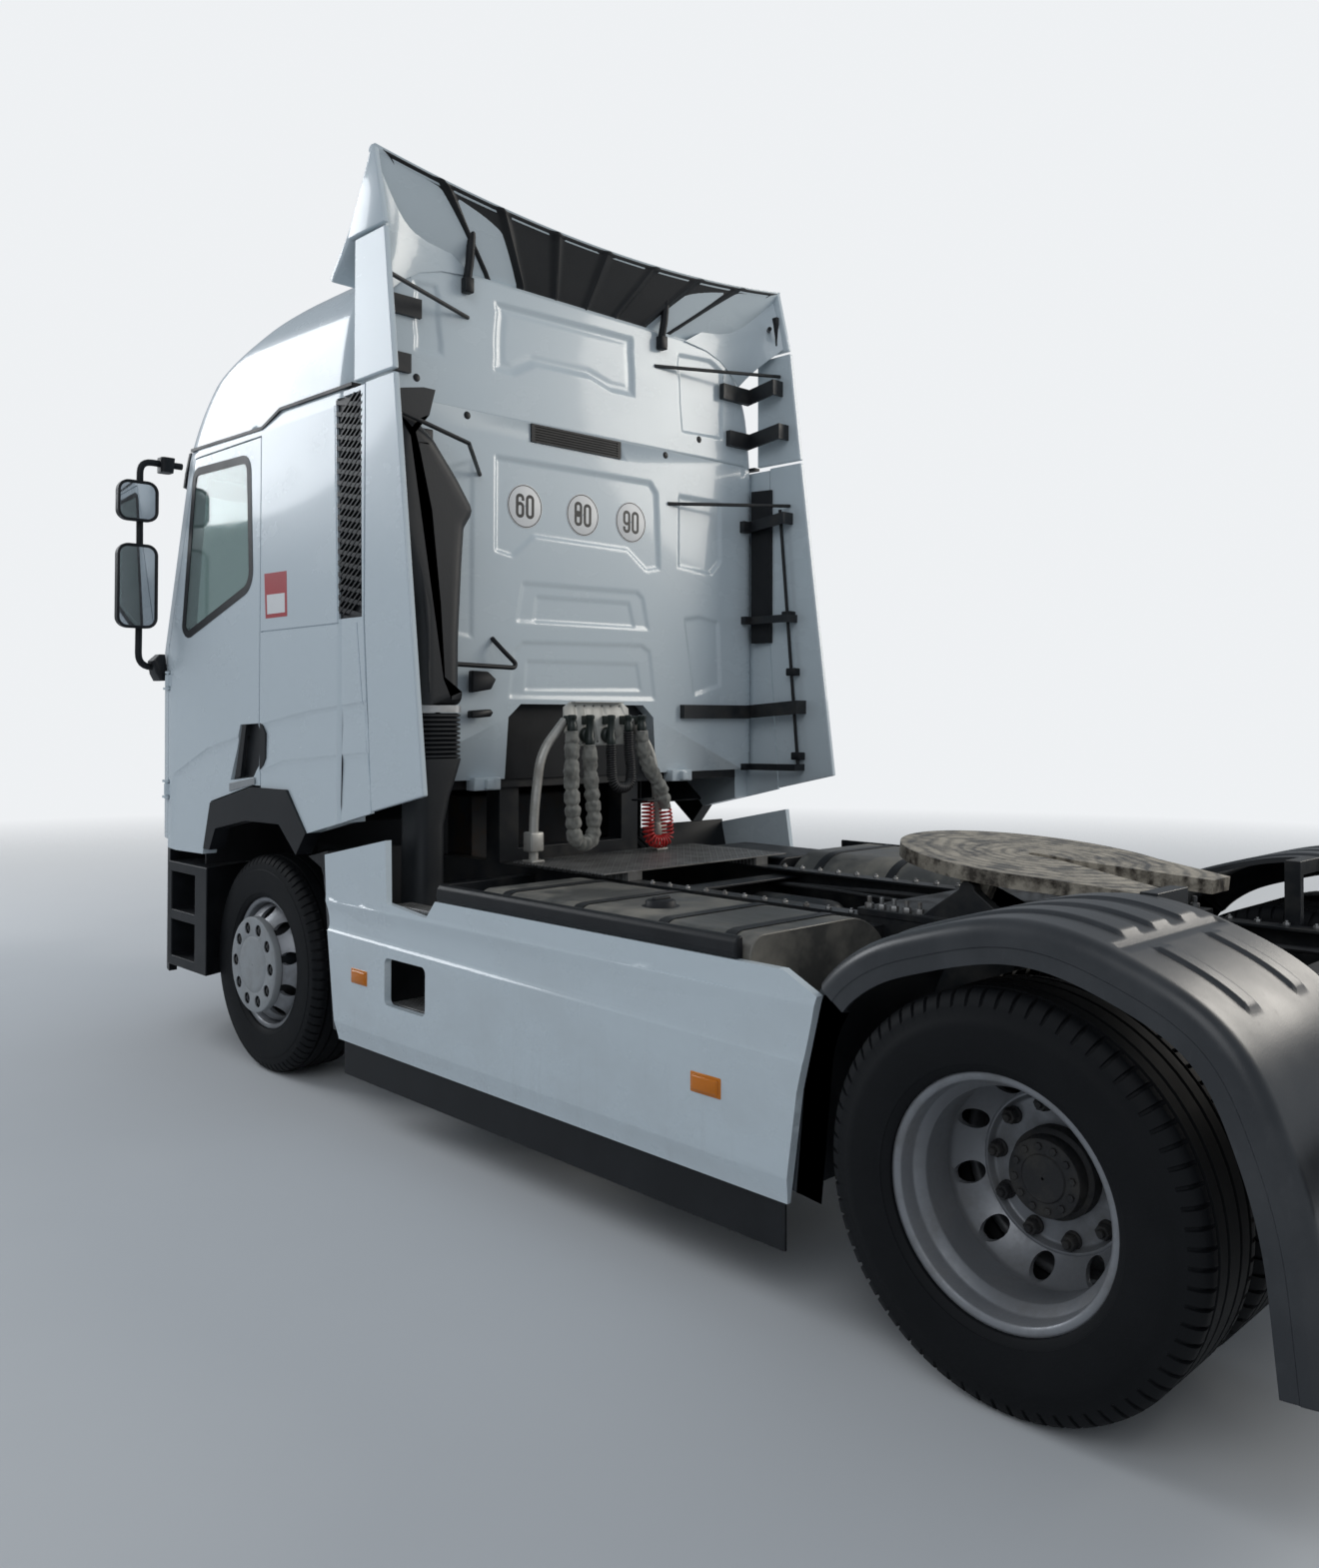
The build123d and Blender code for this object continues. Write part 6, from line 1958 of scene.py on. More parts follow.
@dataclass
class SidePanels:
    """Doors and cab sides with their two swage lines, and the skirts with theirs."""

    side_x: float = 1.245
    # Swages: y behind the front axle, Z of each line. Their depths, and the heights in which they step and fade.
    upper_depth: float = 0.011
    lower_depth: float = 0.009
    swage_step: float = 0.018
    swage_fade: float = 0.20
    upper: tuple = ((-0.900, 1.303), (-0.785, 1.344), (-0.429, 1.471), (-0.147, 1.521), (0.131, 1.590), (0.514, 1.643),
                    (0.873, 1.674), (1.060, 1.688))
    lower: tuple = ((0.000, 1.352), (0.089, 1.377), (0.323, 1.432), (0.996, 1.482), (1.060, 1.487))
    skirt_x: float = 1.240
    # Skirt's crease: y behind the front axle, Z. Above the lean's Z its face leans inwards.
    crease: tuple = ((0.6, 0.742), (1.11, 0.732), (2.5, 0.708), (3.3, 0.700))
    lean_z: float = 0.862

    def swage(self, places: np.ndarray) -> np.ndarray:
        """Push the flat side in under each line: a quick step that fades out below.

        Args:
            places: The vertices' places (n, 3), changed in place.

        Returns:
            The new places.
        """
        x, y, z = places[:, 0], places[:, 1] - FRONT_AXLE_Y, places[:, 2]
        face = np.abs(np.abs(x) - self.side_x) < 0.0006
        depth = np.zeros_like(x)
        for line, amount in ((self.upper, self.upper_depth), (self.lower, self.lower_depth)):
            ys, zs = np.array(line).T
            below = np.interp(y, ys, zs) - z
            quick = 1 - np.exp(-below / self.swage_step)
            inside = np.where(below > 0, quick * np.exp(-np.clip(below, 0, 9) / self.swage_fade), 0.0)
            start = soft_step(y, ys[0] - 0.02, ys[0] + 0.15)
            depth += amount * inside * start
        places[face, 0] -= np.sign(x[face]) * depth[face]
        return places

    def skirt(self, places: np.ndarray) -> np.ndarray:
        """Outer face of the skirt as a function of y and z: bottom tuck, swage band and leaning top.

        Args:
            places: The vertices' places (n, 3), changed in place.

        Returns:
            The new places.
        """
        side = np.sign(places[:, 0])
        x, y, z = np.abs(places[:, 0]), places[:, 1] - FRONT_AXLE_Y, places[:, 2]
        outer = x > self.skirt_x - 0.0265
        deep = 0.016 * (1 - soft_step(z, 0.305, 0.39))
        crease = np.interp(y, *np.array(self.crease).T)
        fade = 1 - 0.75 * soft_step(y, 1.7, 2.8)
        above = z - crease
        band = np.where(above > 0, (1 - np.exp(-np.clip(above, 0, 9) / 0.012)), 0.0)
        back = soft_step(z, 0.80, 0.865)
        deep = deep + 0.014 * band * (1 - 0.85 * back) * fade
        top = np.clip(z - self.lean_z, 0, 1)
        deep = deep + np.where(z > self.lean_z, 0.003 + top * 0.045, 0.0)
        places[outer, 0] = (side * (self.skirt_x - deep))[outer]
        return places

    def build(self, wardrobe: Wardrobe) -> None:
        """Make doors, cab sides and skirts.

        Args:
            wardrobe: The finishes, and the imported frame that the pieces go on.
        """
        cuts = line_cuts(self.upper, (0.0, 0.008, 0.020)) + line_cuts(self.lower, (0.0, 0.008, 0.020))
        cuts += level_cuts("y", behind_axle(-0.90), behind_axle(1.0), 0.045)
        cuts += level_cuts("z", 1.00, 1.60, 0.035)
        for node in ("door_left", "door_right", "cab_side_left", "cab_side_right"):
            panel = wardrobe.refined(node, "white_coat", 0.0)
            flattened(panel)
            sliced(panel, cuts)
            smooth(reshaped(panel, self.swage), 32.0)
            bevelled(panel, 0.0028, 2, 40.0)
        skirts = wardrobe.refined("side_skirts", "white_coat", 0.0)
        flattened(skirts)
        cuts = line_cuts(self.crease, (0.0, -0.008, -0.018, -0.034))
        cuts += line_cuts(((0.6, self.lean_z), (3.4, self.lean_z)), (0.0, 0.012))
        cuts += level_cuts("y", behind_axle(0.70), behind_axle(3.30), 0.06) + level_cuts("z", 0.30, 1.14, 0.03)
        sliced(skirts, cuts)
        smooth(reshaped(skirts, self.skirt), 32.0)
        bevelled(skirts, 0.004, 2, 45.0)


@dataclass
class RoofDeflector:
    """Deflector: white shell with a rolled rear edge, ribbed black underside, struts and a cross tube."""

    half: float = 1.245
    dip: float = 0.100
    top_z: float = 3.908
    # Line of the outer face. Columns: y behind the front axle, Z.
    line: tuple = ((0.695, 3.445), (0.840, 3.590), (1.020, 3.902))
    corner: float = 0.300
    wall: float = 0.030
    liner_low: float = 0.72
    liner_z: float = 3.56
    rib_pitch: float = 0.31
    # Cheek: y behind the front axle, Z.
    cheek: tuple = ((0.838, 3.568), (1.118, 3.568), (1.036, 3.905), (1.012, 3.880))
    # Struts: their two x, and their line as x from there, y behind the front axle and Z.
    strut_x: tuple = (0.700, -0.480)
    strut: tuple = ((0.0, 0.905, 3.50), (0.0, 0.93, 3.60), (0.008, 0.952, 3.72), (0.008, 0.945, 3.785))
    # Gusset between the roof's shoulder and the cheek. Columns: x, y behind the front axle, Z.
    gusset_inner: tuple = ((0.660, 0.900, 3.548), (0.820, 0.896, 3.533), (0.930, 0.893, 3.500), (1.010, 0.893, 3.450),
                           (1.075, 0.893, 3.390))
    gusset_outer: tuple = ((1.215, 1.000, 3.882), (1.215, 1.020, 3.830), (1.215, 1.045, 3.750), (1.215, 1.070, 3.660),
                           (1.215, 1.085, 3.580))

    def top(self, x: np.ndarray) -> np.ndarray:
        """Return the top edge's height: a circle's arc through the two cheeks' tops, lowest in the middle."""
        radius = (self.half**2 + self.dip**2) / (2 * self.dip)
        return self.top_z - self.dip + radius - np.sqrt(radius**2 - x**2)

    def face(self, x: np.ndarray, depth: float) -> np.ndarray:
        """Return points (x, i): the line scaled to the top's height there, moved inwards by the depth.

        Args:
            x: The x of each row.
            depth: Distance inwards from the outer face.

        Returns:
            Array (len(x), points of the line, 3).
        """
        line = rounded_line(self.line, (self.corner,), 0.03)
        normal = normals_of(line)
        line = line + normal * depth
        low = line[0, 1]
        share = (self.top(x)[:, None] - 0.004 - low) / (line[-1, 1] - low)
        z = low + (line[None, :, 1] - low) * share
        return places_at(x[:, None], line[None, :, 0], z)

    def build(self, wardrobe: Wardrobe) -> None:
        """Make the shell, the underside, the cheeks and the struts.

        Args:
            wardrobe: The finishes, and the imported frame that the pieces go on.
        """
        x = np.linspace(-self.half + 0.002, self.half - 0.002, 64)
        outer, inner = self.face(x, 0.0), self.face(x, self.wall)
        ring = np.concatenate([outer, inner[:, ::-1]], axis=1)
        shell = bevelled(lofted("deflector_sheet", ring), 0.006, 2, 50.0)
        cheeks = []
        for side in Side:
            edge = self.half * side.value
            low, high = sorted((edge, edge - 0.026 * side.value))
            cheeks.append(bevelled(side_plate(f"deflector_cheek_{side.name}", self.cheek, low, high), 0.006, 3))
        rim = tube("deflector_rim", places_at(x, 1.018, self.top(x) - 0.020), 0.017, 16)
        wardrobe.dress(joined("deflector_shell", [shell, rim, *cheeks]), "white_coat", "cab",
                       ("roof_deflector",))
        self.underside(wardrobe)

    def underside(self, wardrobe: Wardrobe) -> None:
        """Black liner with upright ribs, the two struts, the cross tube and its pads.

        Args:
            wardrobe: The finishes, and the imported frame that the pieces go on.
        """
        across = np.linspace(-1, 1, 161)
        x = across * (self.half - 0.035)
        rib = np.maximum(0, np.cos(2 * np.pi * x / self.rib_pitch)) ** 10
        face = self.face(x, self.wall + 0.004)
        back = self.face(x, self.wall + 0.020)
        liner = face * (1 - rib)[:, None, None] + back * rib[:, None, None]
        rise = np.clip((liner[..., 2] - self.liner_z) / (self.top(x) - self.liner_z)[:, None], 0, 1)
        liner[..., 0] = across[:, None] * (self.liner_low + (self.half - 0.03 - self.liner_low) * rise)
        liner[:, -1, 2] -= 0.016
        skin = sheet_mesh("deflector_liner", liner, 0.003, 30.0)
        face_towards(skin, (0.0, 1.0, -0.6))
        wardrobe.dress(skin, "dark_liner", "cab")
        gussets = []
        for side in Side:
            inner = np.array(self.gusset_inner) * (side.value, 1, 1)
            outer = np.array(self.gusset_outer) * (side.value, 1, 1)
            t = np.linspace(0, 1, 14)[None, :, None]
            points = inner[:, None, :] * (1 - t) + outer[:, None, :] * t
            points[..., 1] = behind_axle(points[..., 1]) - 0.03 * np.sin(np.pi * t[..., 0])
            gussets.append(face_towards(sheet_mesh(f"gusset_{side.name}", points, 0.004), (0, 1, 0)))
        wardrobe.dress(joined("deflector_gussets", gussets), "white_coat", "cab")
        parts = []
        for place in self.strut_x:
            x, y, z = np.array(self.strut).T
            parts.append(tube(f"strut_{place}", round_path(places_at(place + x, y, z), 0.03), 0.019))
            parts.append(box(f"strut_foot_{place}", (place - 0.022, place + 0.022), span(0.893, 0.935), (3.462, 3.53),
                             0.006))
            parts.append(box(f"strut_head_{place}", (place - 0.04, place + 0.055), span(0.90, 0.965), (3.755, 3.80),
                             0.008))
        across = np.linspace(-1.19, 1.19, 30)
        parts.append(tube("deflector_cross", places_at(across, 0.935, self.top(across) - 0.105), 0.014))
        pad = box("cheek_pad", (-1.218, -1.196), span(0.965, 1.055), (3.60, 3.76), 0.005)
        stub = rods("cheek_rod", [((-1.10, behind_axle(1.09), 3.665), (-1.214, behind_axle(0.98), 3.70))], 0.011)
        wardrobe.dress(joined("deflector_struts", [*parts, pad, stub]), "black_mould", "cab")


@dataclass
class AirIntake:
    """Moulded intake behind the cab: rounded face with curved grooves, a ribbed bellows and a funnel under it."""

    wall_y: float = 0.893
    face_y: float = 1.130
    round_off: float = 0.055
    # A place inside the outline (x, Z), and the heights that the face's inner rings draw in to.
    middle: tuple = (0.985, 2.25)
    face_z: tuple = (1.80, 2.72)
    # Outline of the duct: x, Z.
    outline: tuple = (
        (0.865, 1.670), (1.070, 1.670), (1.075, 2.050), (1.180, 2.400), (1.200, 2.860), (1.150, 2.870), (1.000, 2.760),
        (0.880, 2.610), (0.790, 2.480), (0.840, 2.400), (0.850, 2.250), (0.865, 1.940),
    )
    corners: tuple = (0.100, 0.200, 0.200, 0.020, 0.020, 0.200, 0.050, 0.025, 0.030, 0.060)
    # Middle of the face: Z, x.
    middle_line: tuple = ((1.67, 0.968), (2.05, 0.965), (2.45, 1.00), (2.87, 1.12))
    # Edges that the grooves follow: Z, x.
    inner_edge: tuple = ((1.67, 0.865), (1.94, 0.865), (2.25, 0.85), (2.40, 0.84), (2.50, 0.80), (2.61, 0.88),
                         (2.76, 1.0))
    outer_edge: tuple = ((1.67, 1.07), (2.05, 1.075), (2.40, 1.18), (2.87, 1.20))
    # Grooves along the duct. Columns: share of the way from the inner to the outer edge, low and high Z.
    grooves: tuple = ((0.28, 1.86, 2.66), (0.55, 1.78, 2.78), (0.80, 1.72, 2.60))
    # Bellows: its low Z and the height of a fold. Funnel: Z, low x.
    bellows_z: float = 1.452
    fold: float = 0.0185
    band_z: tuple = (1.640, 1.648, 1.662, 1.668)
    funnel: tuple = ((0.662, 0.935), (0.950, 0.935), (1.180, 0.935), (1.300, 0.905), (1.400, 0.868), (1.445, 0.853),
                     (1.452, 0.853))

    def build(self, wardrobe: Wardrobe) -> None:
        """Make the duct as an outline carried back with rounded edges, its grooves, and the pieces under it.

        Args:
            wardrobe: The finishes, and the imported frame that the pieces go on.
        """
        ring = rounded_line(list(self.outline[1:]) + [self.outline[0]], self.corners, 0.02)
        middle = np.array(self.middle)
        layers = [(self.wall_y, 0.0)]
        for a in np.linspace(0, np.pi / 2, 7):
            layers.append((self.face_y - self.round_off + self.round_off * math.sin(a),
                           self.round_off * (1 - math.cos(a))))
        normal = normals_of(np.concatenate([ring, ring[:1]]))[:-1]
        sign = 1.0 if ((middle - ring) * normal).sum() > 0 else -1.0
        points = []
        for y, inset in layers:
            moved = ring + sign * normal * inset
            points.append(places_at(moved[:, 0], y, moved[:, 1]))
        for shrink in (0.75, 0.45, 0.15):
            centre_x = np.interp(ring[:, 1], *np.array(self.middle_line).T)
            last = points[len(layers) - 1]
            x = centre_x + (last[:, 0] - centre_x) * shrink
            z = last[:, 2] + (np.clip(last[:, 2], *self.face_z) - last[:, 2]) * (1 - shrink) * 0.9
            points.append(places_at(x, self.face_y, z))
        parts = [lofted("intake_body", points, 50.0)]
        for k, (share, low, high) in enumerate(self.grooves):
            z = np.linspace(low, high, 40)
            inner = np.interp(z, *np.array(self.inner_edge).T)
            outer = np.interp(z, *np.array(self.outer_edge).T)
            x = inner + (outer - inner) * (0.12 + 0.80 * share)
            x = averaged(x[:, None], 6)[:, 0]
            width = 0.018 * np.sin(np.pi * np.linspace(0.06, 0.94, 40)) ** 0.4
            ridge = tube(f"intake_ridge_{k}", places_at(x, self.face_y - 0.004, z), width, 10)
            reshaped(ridge, lambda places: np.minimum(places, (np.inf, behind_axle(1.1295), np.inf)))
            parts.append(ridge)
        clip = box("intake_clip", (0.80, 0.86), span(0.895, 0.99), (2.44, 2.50), 0.008)
        wardrobe.dress(joined("air_intake_skin", [*parts, clip]), "intake_mould", "cab",
                       ("air_intake",))
        self.bellows(wardrobe)

    def bellows(self, wardrobe: Wardrobe) -> None:
        """Bellows of ten folds with a pale band, then a funnel that narrows inwards.

        Args:
            wardrobe: The finishes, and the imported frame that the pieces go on.
        """
        inner, outer = (0.866, 1.056, *span(0.974, 1.118)), (0.853, 1.067, *span(0.963, 1.1295))
        rows = []
        for z in self.bellows_z + self.fold * np.arange(10):
            rows += [(z, *inner), (z + 0.006, *outer), (z + 0.0125, *outer), (z + self.fold, *inner)]
        folds = stack("bellows", rows, 0.05)
        funnel = stack("funnel", [(z, low, 1.068, *span(0.962, 1.129)) for z, low in self.funnel], 0.045)
        wardrobe.dress(joined("intake_duct_skin", [folds, funnel]), "intake_mould", "chassis",
                       ("intake_duct",))
        band = stack("bellows_band", [(z, 0.851, 1.069, *span(0.961, 1.1298)) for z in self.band_z], 0.05)
        wardrobe.dress(band, "bright_aluminium", "chassis")


@dataclass
class Mirrors:
    """Two mirror housings on a bent arm each side, with their glass towards the rear."""

    arm_y: float = -1.000
    arm_bend: float = 0.07
    arm_radius: float = 0.0168
    # Housings. Columns: low x, high x, low Z, high Z.
    housings: tuple = ((1.276, 1.479, 2.062, 2.488), (1.276, 1.479, 2.602, 2.808))
    front_y: float = -1.060
    back_y: float = -0.951
    corner: float = 0.055
    dome: float = 0.075
    pane_inset: float = 0.014
    # Arm: x, Z.
    arm: tuple = ((1.140, 2.915), (1.355, 2.915), (1.355, 2.780), (1.352, 2.300), (1.355, 1.870), (1.150, 1.870))
    # Its two feet. Columns: Z, low x, high x, low y and high y from the arm.
    high_foot: tuple = ((2.870, 1.195, 1.262, -0.03, 0.045), (2.945, 1.190, 1.262, -0.03, 0.05))
    low_foot: tuple = ((1.800, 1.235, 1.262, -0.05, 0.06), (1.835, 1.230, 1.285, -0.05, 0.07),
                       (1.900, 1.230, 1.300, -0.04, 0.06), (1.935, 1.230, 1.262, -0.03, 0.04))

    def housing(self, name: str, x0: float, x1: float, z0: float, z1: float) -> bpy.types.Object:
        """Housing as rounded rings from its rear rim to a domed front: the ring shrinks as a quarter ellipse.

        Args:
            name: Name of the object.
            x0: Low x.
            x1: High x.
            z0: Low Z.
            z1: High Z.

        Returns:
            The object.
        """
        back = self.back_y - 0.02
        rows = [(self.back_y - 0.012, 0.016), (self.back_y - 0.002, 0.010), (self.back_y, 0.006),
                (self.back_y - 0.004, 0.0)]
        for a in np.linspace(0.12, np.pi / 2, 9):
            rows.append((back - (back - self.front_y) * math.sin(a), self.dome * (1 - math.cos(a))))
        rings = []
        for y, inset in rows:
            ring = rounded_ring((x0 + inset, x1 - inset), (z0 + inset, z1 - inset), max(self.corner - inset, 0.002), 8)
            rings.append(np.insert(ring, 1, behind_axle(y), axis=1))
        return lofted(name, rings)

    def build(self, wardrobe: Wardrobe) -> None:
        """Make both sets.

        Args:
            wardrobe: The finishes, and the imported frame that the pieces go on.
        """
        parts, panes = [], []
        inset = self.pane_inset
        for k, (x0, x1, z0, z1) in enumerate(self.housings):
            parts.append(self.housing(f"housing_{k}", x0, x1, z0, z1))
            outline = [(x0 + inset, z0 + inset), (x1 - inset, z0 + inset), (x1 - inset, z1 - inset),
                       (x0 + inset, z1 - inset)]
            pane = prism(f"pane_{k}", outline, "y", *span(self.back_y - 0.0135, self.back_y - 0.0105))
            rounding = pane.modifiers.new("corner", "BEVEL")
            rounding.width, rounding.segments, rounding.limit_method = 0.040, 8, "ANGLE"
            rounding.affect = "EDGES"
            panes.append(pane)
        y = behind_axle(self.arm_y)
        x, z = np.array(self.arm).T
        parts.append(tube("arm", round_path(places_at(x, self.arm_y, z), self.arm_bend), self.arm_radius, 14))
        for name, rows, corner in (("foot_high", self.high_foot, 0.02), ("foot_low", self.low_foot, 0.025)):
            parts.append(stack(name, [(z, x0, x1, y + low, y + high) for z, x0, x1, low, high in rows], corner))
        left = joined("mirrors_left_skin", parts)
        glass = joined("mirror_glass_left", panes)
        wardrobe.dress_both(left, "black_mould", "cab", ("mirrors",))
        wardrobe.dress_both(glass, "mirror_face", "cab")


@dataclass
class SideFittings:
    """Small pieces on the sides: window seals, bare sticker and label, marker lamps and step treads."""

    # Window, sticker and its label: y behind the front axle, Z.
    window: tuple = ((0.011, 2.217), (-0.022, 2.798), (-0.591, 2.813), (-0.706, 2.061), (-0.672, 2.018))
    window_corners: tuple = (0.090, 0.060, 0.040, 0.020, 0.060)
    sticker: tuple = ((0.156, 2.057), (0.356, 2.057), (0.347, 2.255), (0.140, 2.258))
    blank: tuple = ((0.172, 2.075), (0.336, 2.075), (0.332, 2.160), (0.166, 2.162))
    # Marker lamps: y behind the front axle, Z.
    markers: tuple = ((0.963, 0.586), (2.868, 0.568))
    # Door handle's surround and sill, and the guard's edge ahead of the skirt.
    surround: tuple = ((0.108, 1.592), (0.128, 1.586), (0.161, 1.546), (0.163, 1.435), (0.140, 1.402), (0.108, 1.383))
    sill: tuple = ((-0.192, 1.309), (0.060, 1.346), (0.060, 1.314), (-0.191, 1.272))
    guard_edge: tuple = ((0.592, 1.038), (0.655, 1.038), (0.690, 0.895), (0.778, 0.324), (0.700, 0.324),
                         (0.628, 0.860))
    # Wheel housing: its wall, its roof and its front plate.
    housing_wall: tuple = ((-0.540, 0.960), (-0.540, 1.322), (0.640, 1.322), (0.640, 1.000))
    housing_roof: tuple = ((-0.440, 1.292), (0.045, 1.318), (0.330, 1.308), (0.520, 1.16), (0.526, 1.168),
                           (0.334, 1.322), (0.045, 1.326), (-0.444, 1.302))
    housing_front: tuple = ((-0.545, 0.900), (-0.535, 0.900), (-0.535, 1.322), (-0.545, 1.322))
    # Louvres: lowest blade's Z, its rise and Y from end to end, the pitch, and the field's low and high Z.
    blade_z: float = 1.985
    blade_rise: float = 0.110
    blade_y: tuple = (0.800, 0.165)
    blade_pitch: float = 0.029
    blade_field: tuple = (2.035, 2.925)

    def band(self, name: str, line: np.ndarray, low: float, high: float, x: tuple[float, float]) -> bpy.types.Object:
        """Flat closed band along an outline: from low to high beside it, between two x.

        Args:
            name: Name of the object.
            line: Closed outline of (y behind the front axle, Z).
            low: Inner distance from it.
            high: Outer distance from it.
            x: Low and high x.

        Returns:
            The object.
        """
        normal = normals_of(np.concatenate([line[-2:-1], line, line[1:2]]))[1:-1]
        centre = line.mean(axis=0)
        sign = 1.0 if ((line - centre) * normal).sum() > 0 else -1.0
        rings = []
        for depth, distance in ((x[0], low), (x[1], low), (x[1], high), (x[0], high)):
            moved = line + sign * normal * distance
            rings.append(places_at(depth, moved[:, 0], moved[:, 1]))
        points = np.stack(rings, axis=1)
        return mend_normals(mesh_object(name, points, grid_faces(len(line), 4, False, True), 40.0))

    def build(self, wardrobe: Wardrobe) -> None:
        """Make them for both sides.

        Args:
            wardrobe: The finishes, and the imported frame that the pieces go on.
        """
        (y0, z0), (y1, z1) = self.window[-1], self.window[0]
        middle = ((y0 + y1) / 2, (z0 + z1) / 2)
        line = rounded_line([middle, *self.window, middle], self.window_corners, 0.02)
        seal = self.band("window_seal_left", line, -0.016, 0.022, (1.2435, 1.2475))
        wardrobe.dress_both(seal, "black_mould", "door_left")
        wardrobe.dress(side_plate("sticker_field", self.sticker, 1.2446, 1.2456), "sticker_red", "cab")
        wardrobe.dress(side_plate("sticker_blank", self.blank, 1.2455, 1.2460), "disc_white", "cab")
        self.extras(wardrobe)
        lamps, frames = [], []
        for y, z in self.markers:
            frames.append(box(f"marker_{y}", (1.232, 1.2420), (behind_axle(y) - 0.062, behind_axle(y) + 0.062),
                              (z - 0.031, z + 0.031), 0.006))
            lamps.append(box(f"marker_lens_{y}", (1.236, 1.2485), (behind_axle(y) - 0.052, behind_axle(y) + 0.052),
                             (z - 0.023, z + 0.023), 0.007))
        for left in [joined("marker_lenses_left", lamps), joined("marker_frames_left", frames)]:
            wardrobe.dress_both(left, "amber_lens", "chassis")
        treads = [box("tread_low", (1.035, 1.208), span(1.152, 1.428), (0.507, 0.5125), 0.002),
                  box("tread_notch", (1.12, 1.205), span(1.155, 1.418), (0.872, 0.892))]
        wardrobe.dress_both(joined("step_treads_left", treads), "chequer", "chassis")

    def extras(self, wardrobe: Wardrobe) -> None:
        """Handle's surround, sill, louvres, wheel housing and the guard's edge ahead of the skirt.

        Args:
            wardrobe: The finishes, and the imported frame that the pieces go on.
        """
        surround = bevelled(side_plate("handle_surround_left", self.surround, 1.2395, 1.2462), 0.001)
        wardrobe.dress_both(surround, "black_mould", "cab")
        sill = bevelled(side_plate("handle_sill_left", self.sill, 1.2425, 1.2470), 0.0015)
        wardrobe.dress_both(sill, "hub_cover_coat", "door_left")
        blades = []
        (front, depth), rise = self.blade_y, self.blade_rise
        for k in range(31):
            z = self.blade_z + self.blade_pitch * k
            low, high = max(z, self.blade_field[0]), min(z + rise, self.blade_field[1])
            y0, y1 = front + depth * (low - z) / rise, front + depth * (high - z) / rise
            if high - low > 0.02:
                blades.append(side_plate(f"blade_{k}", ((y0, low), (y1, high), (y1, high + 0.009), (y0, low + 0.009)),
                                         1.2300, 1.2465))
        wardrobe.dress_both(joined("louvres_left", blades), "black_mould", "cab")
        housing = [side_plate("housing_wall", self.housing_wall, 0.598, 0.604),
                   side_plate("housing_roof", self.housing_roof, 0.602, 1.200),
                   side_plate("housing_front", self.housing_front, 0.602, 1.200)]
        wardrobe.dress_both(joined("wheel_housing_left", housing), "dark_liner", "cab")
        edge = bevelled(side_plate("guard_edge_left", self.guard_edge, 1.145, 1.206), 0.006)
        wardrobe.dress_both(edge, "guard_mould", "chassis")


def pad(name: str, centre: Point, half: Point, lean: float = 0.0, seams: tuple = (), crown: float = 0.10,
        pull: float = 0.045, steps: int = 40) -> bpy.types.Object:
    """Padded block: a superellipsoid with a crown, sides that pull in between its corners and sewn channels.

    A point (a, b, c) of the cube's surface is divided by (|a|^6 + |b|^6 + |c|^6)^(1/6). Then the ends across are
    pulled in by the pull times (1 - b^2), the top is raised towards its middle by the crown, and each seam takes
    a round groove out of the faces that look up and to the front.

    Args:
        name: Name of the object.
        centre: Its middle.
        half: Half sizes before the lean.
        lean: Y added for each metre of height.
        seams: Pairs of axis ("x", "y" or "z") and the seam's place from -1 to 1.
        crown: Share of the half height that the middle stands higher than the edge.
        pull: Share that the sides pull in by.
        steps: Faces along each edge.

    Returns:
        The object.
    """
    line = np.linspace(-1, 1, steps + 1)
    a, b = np.meshgrid(line, line, indexing="ij")
    one = np.ones_like(a)
    sides = [np.stack(s, axis=-1).reshape(-1, 3) for s in ((a, b, one), (a, b, -one), (a, one, b), (a, -one, b),
                                                           (one, a, b), (-one, a, b))]
    cube = np.concatenate(sides)
    round_one = cube / (np.abs(cube) ** 6).sum(axis=1, keepdims=True) ** (1 / 6)
    u, v, w = round_one.T
    shaped = np.stack([u * (1 - pull * (1 - v**2)), v * (1 - pull * (1 - u**2)),
                       w * (1 - crown + crown * (1 - u**2) * (1 - v**2))], axis=1)
    for axis, place in seams:
        along = round_one[:, "xyz".index(axis)]
        groove = np.exp(-(((along - place) / 0.035) ** 2))
        shaped *= (1 - 0.055 * groove)[:, None] ** np.array([float(axis != name) for name in "xyz"])
    points = shaped * half
    points[:, 1] += points[:, 2] * lean
    points += centre
    faces = np.concatenate([np.array(grid_faces(steps + 1, steps + 1)) + k * (steps + 1) ** 2 for k in range(6)])
    obj = mend_normals(mesh_object(name, points, faces, 60.0), 1e-4)
    smooth(obj, 60.0)
    return obj


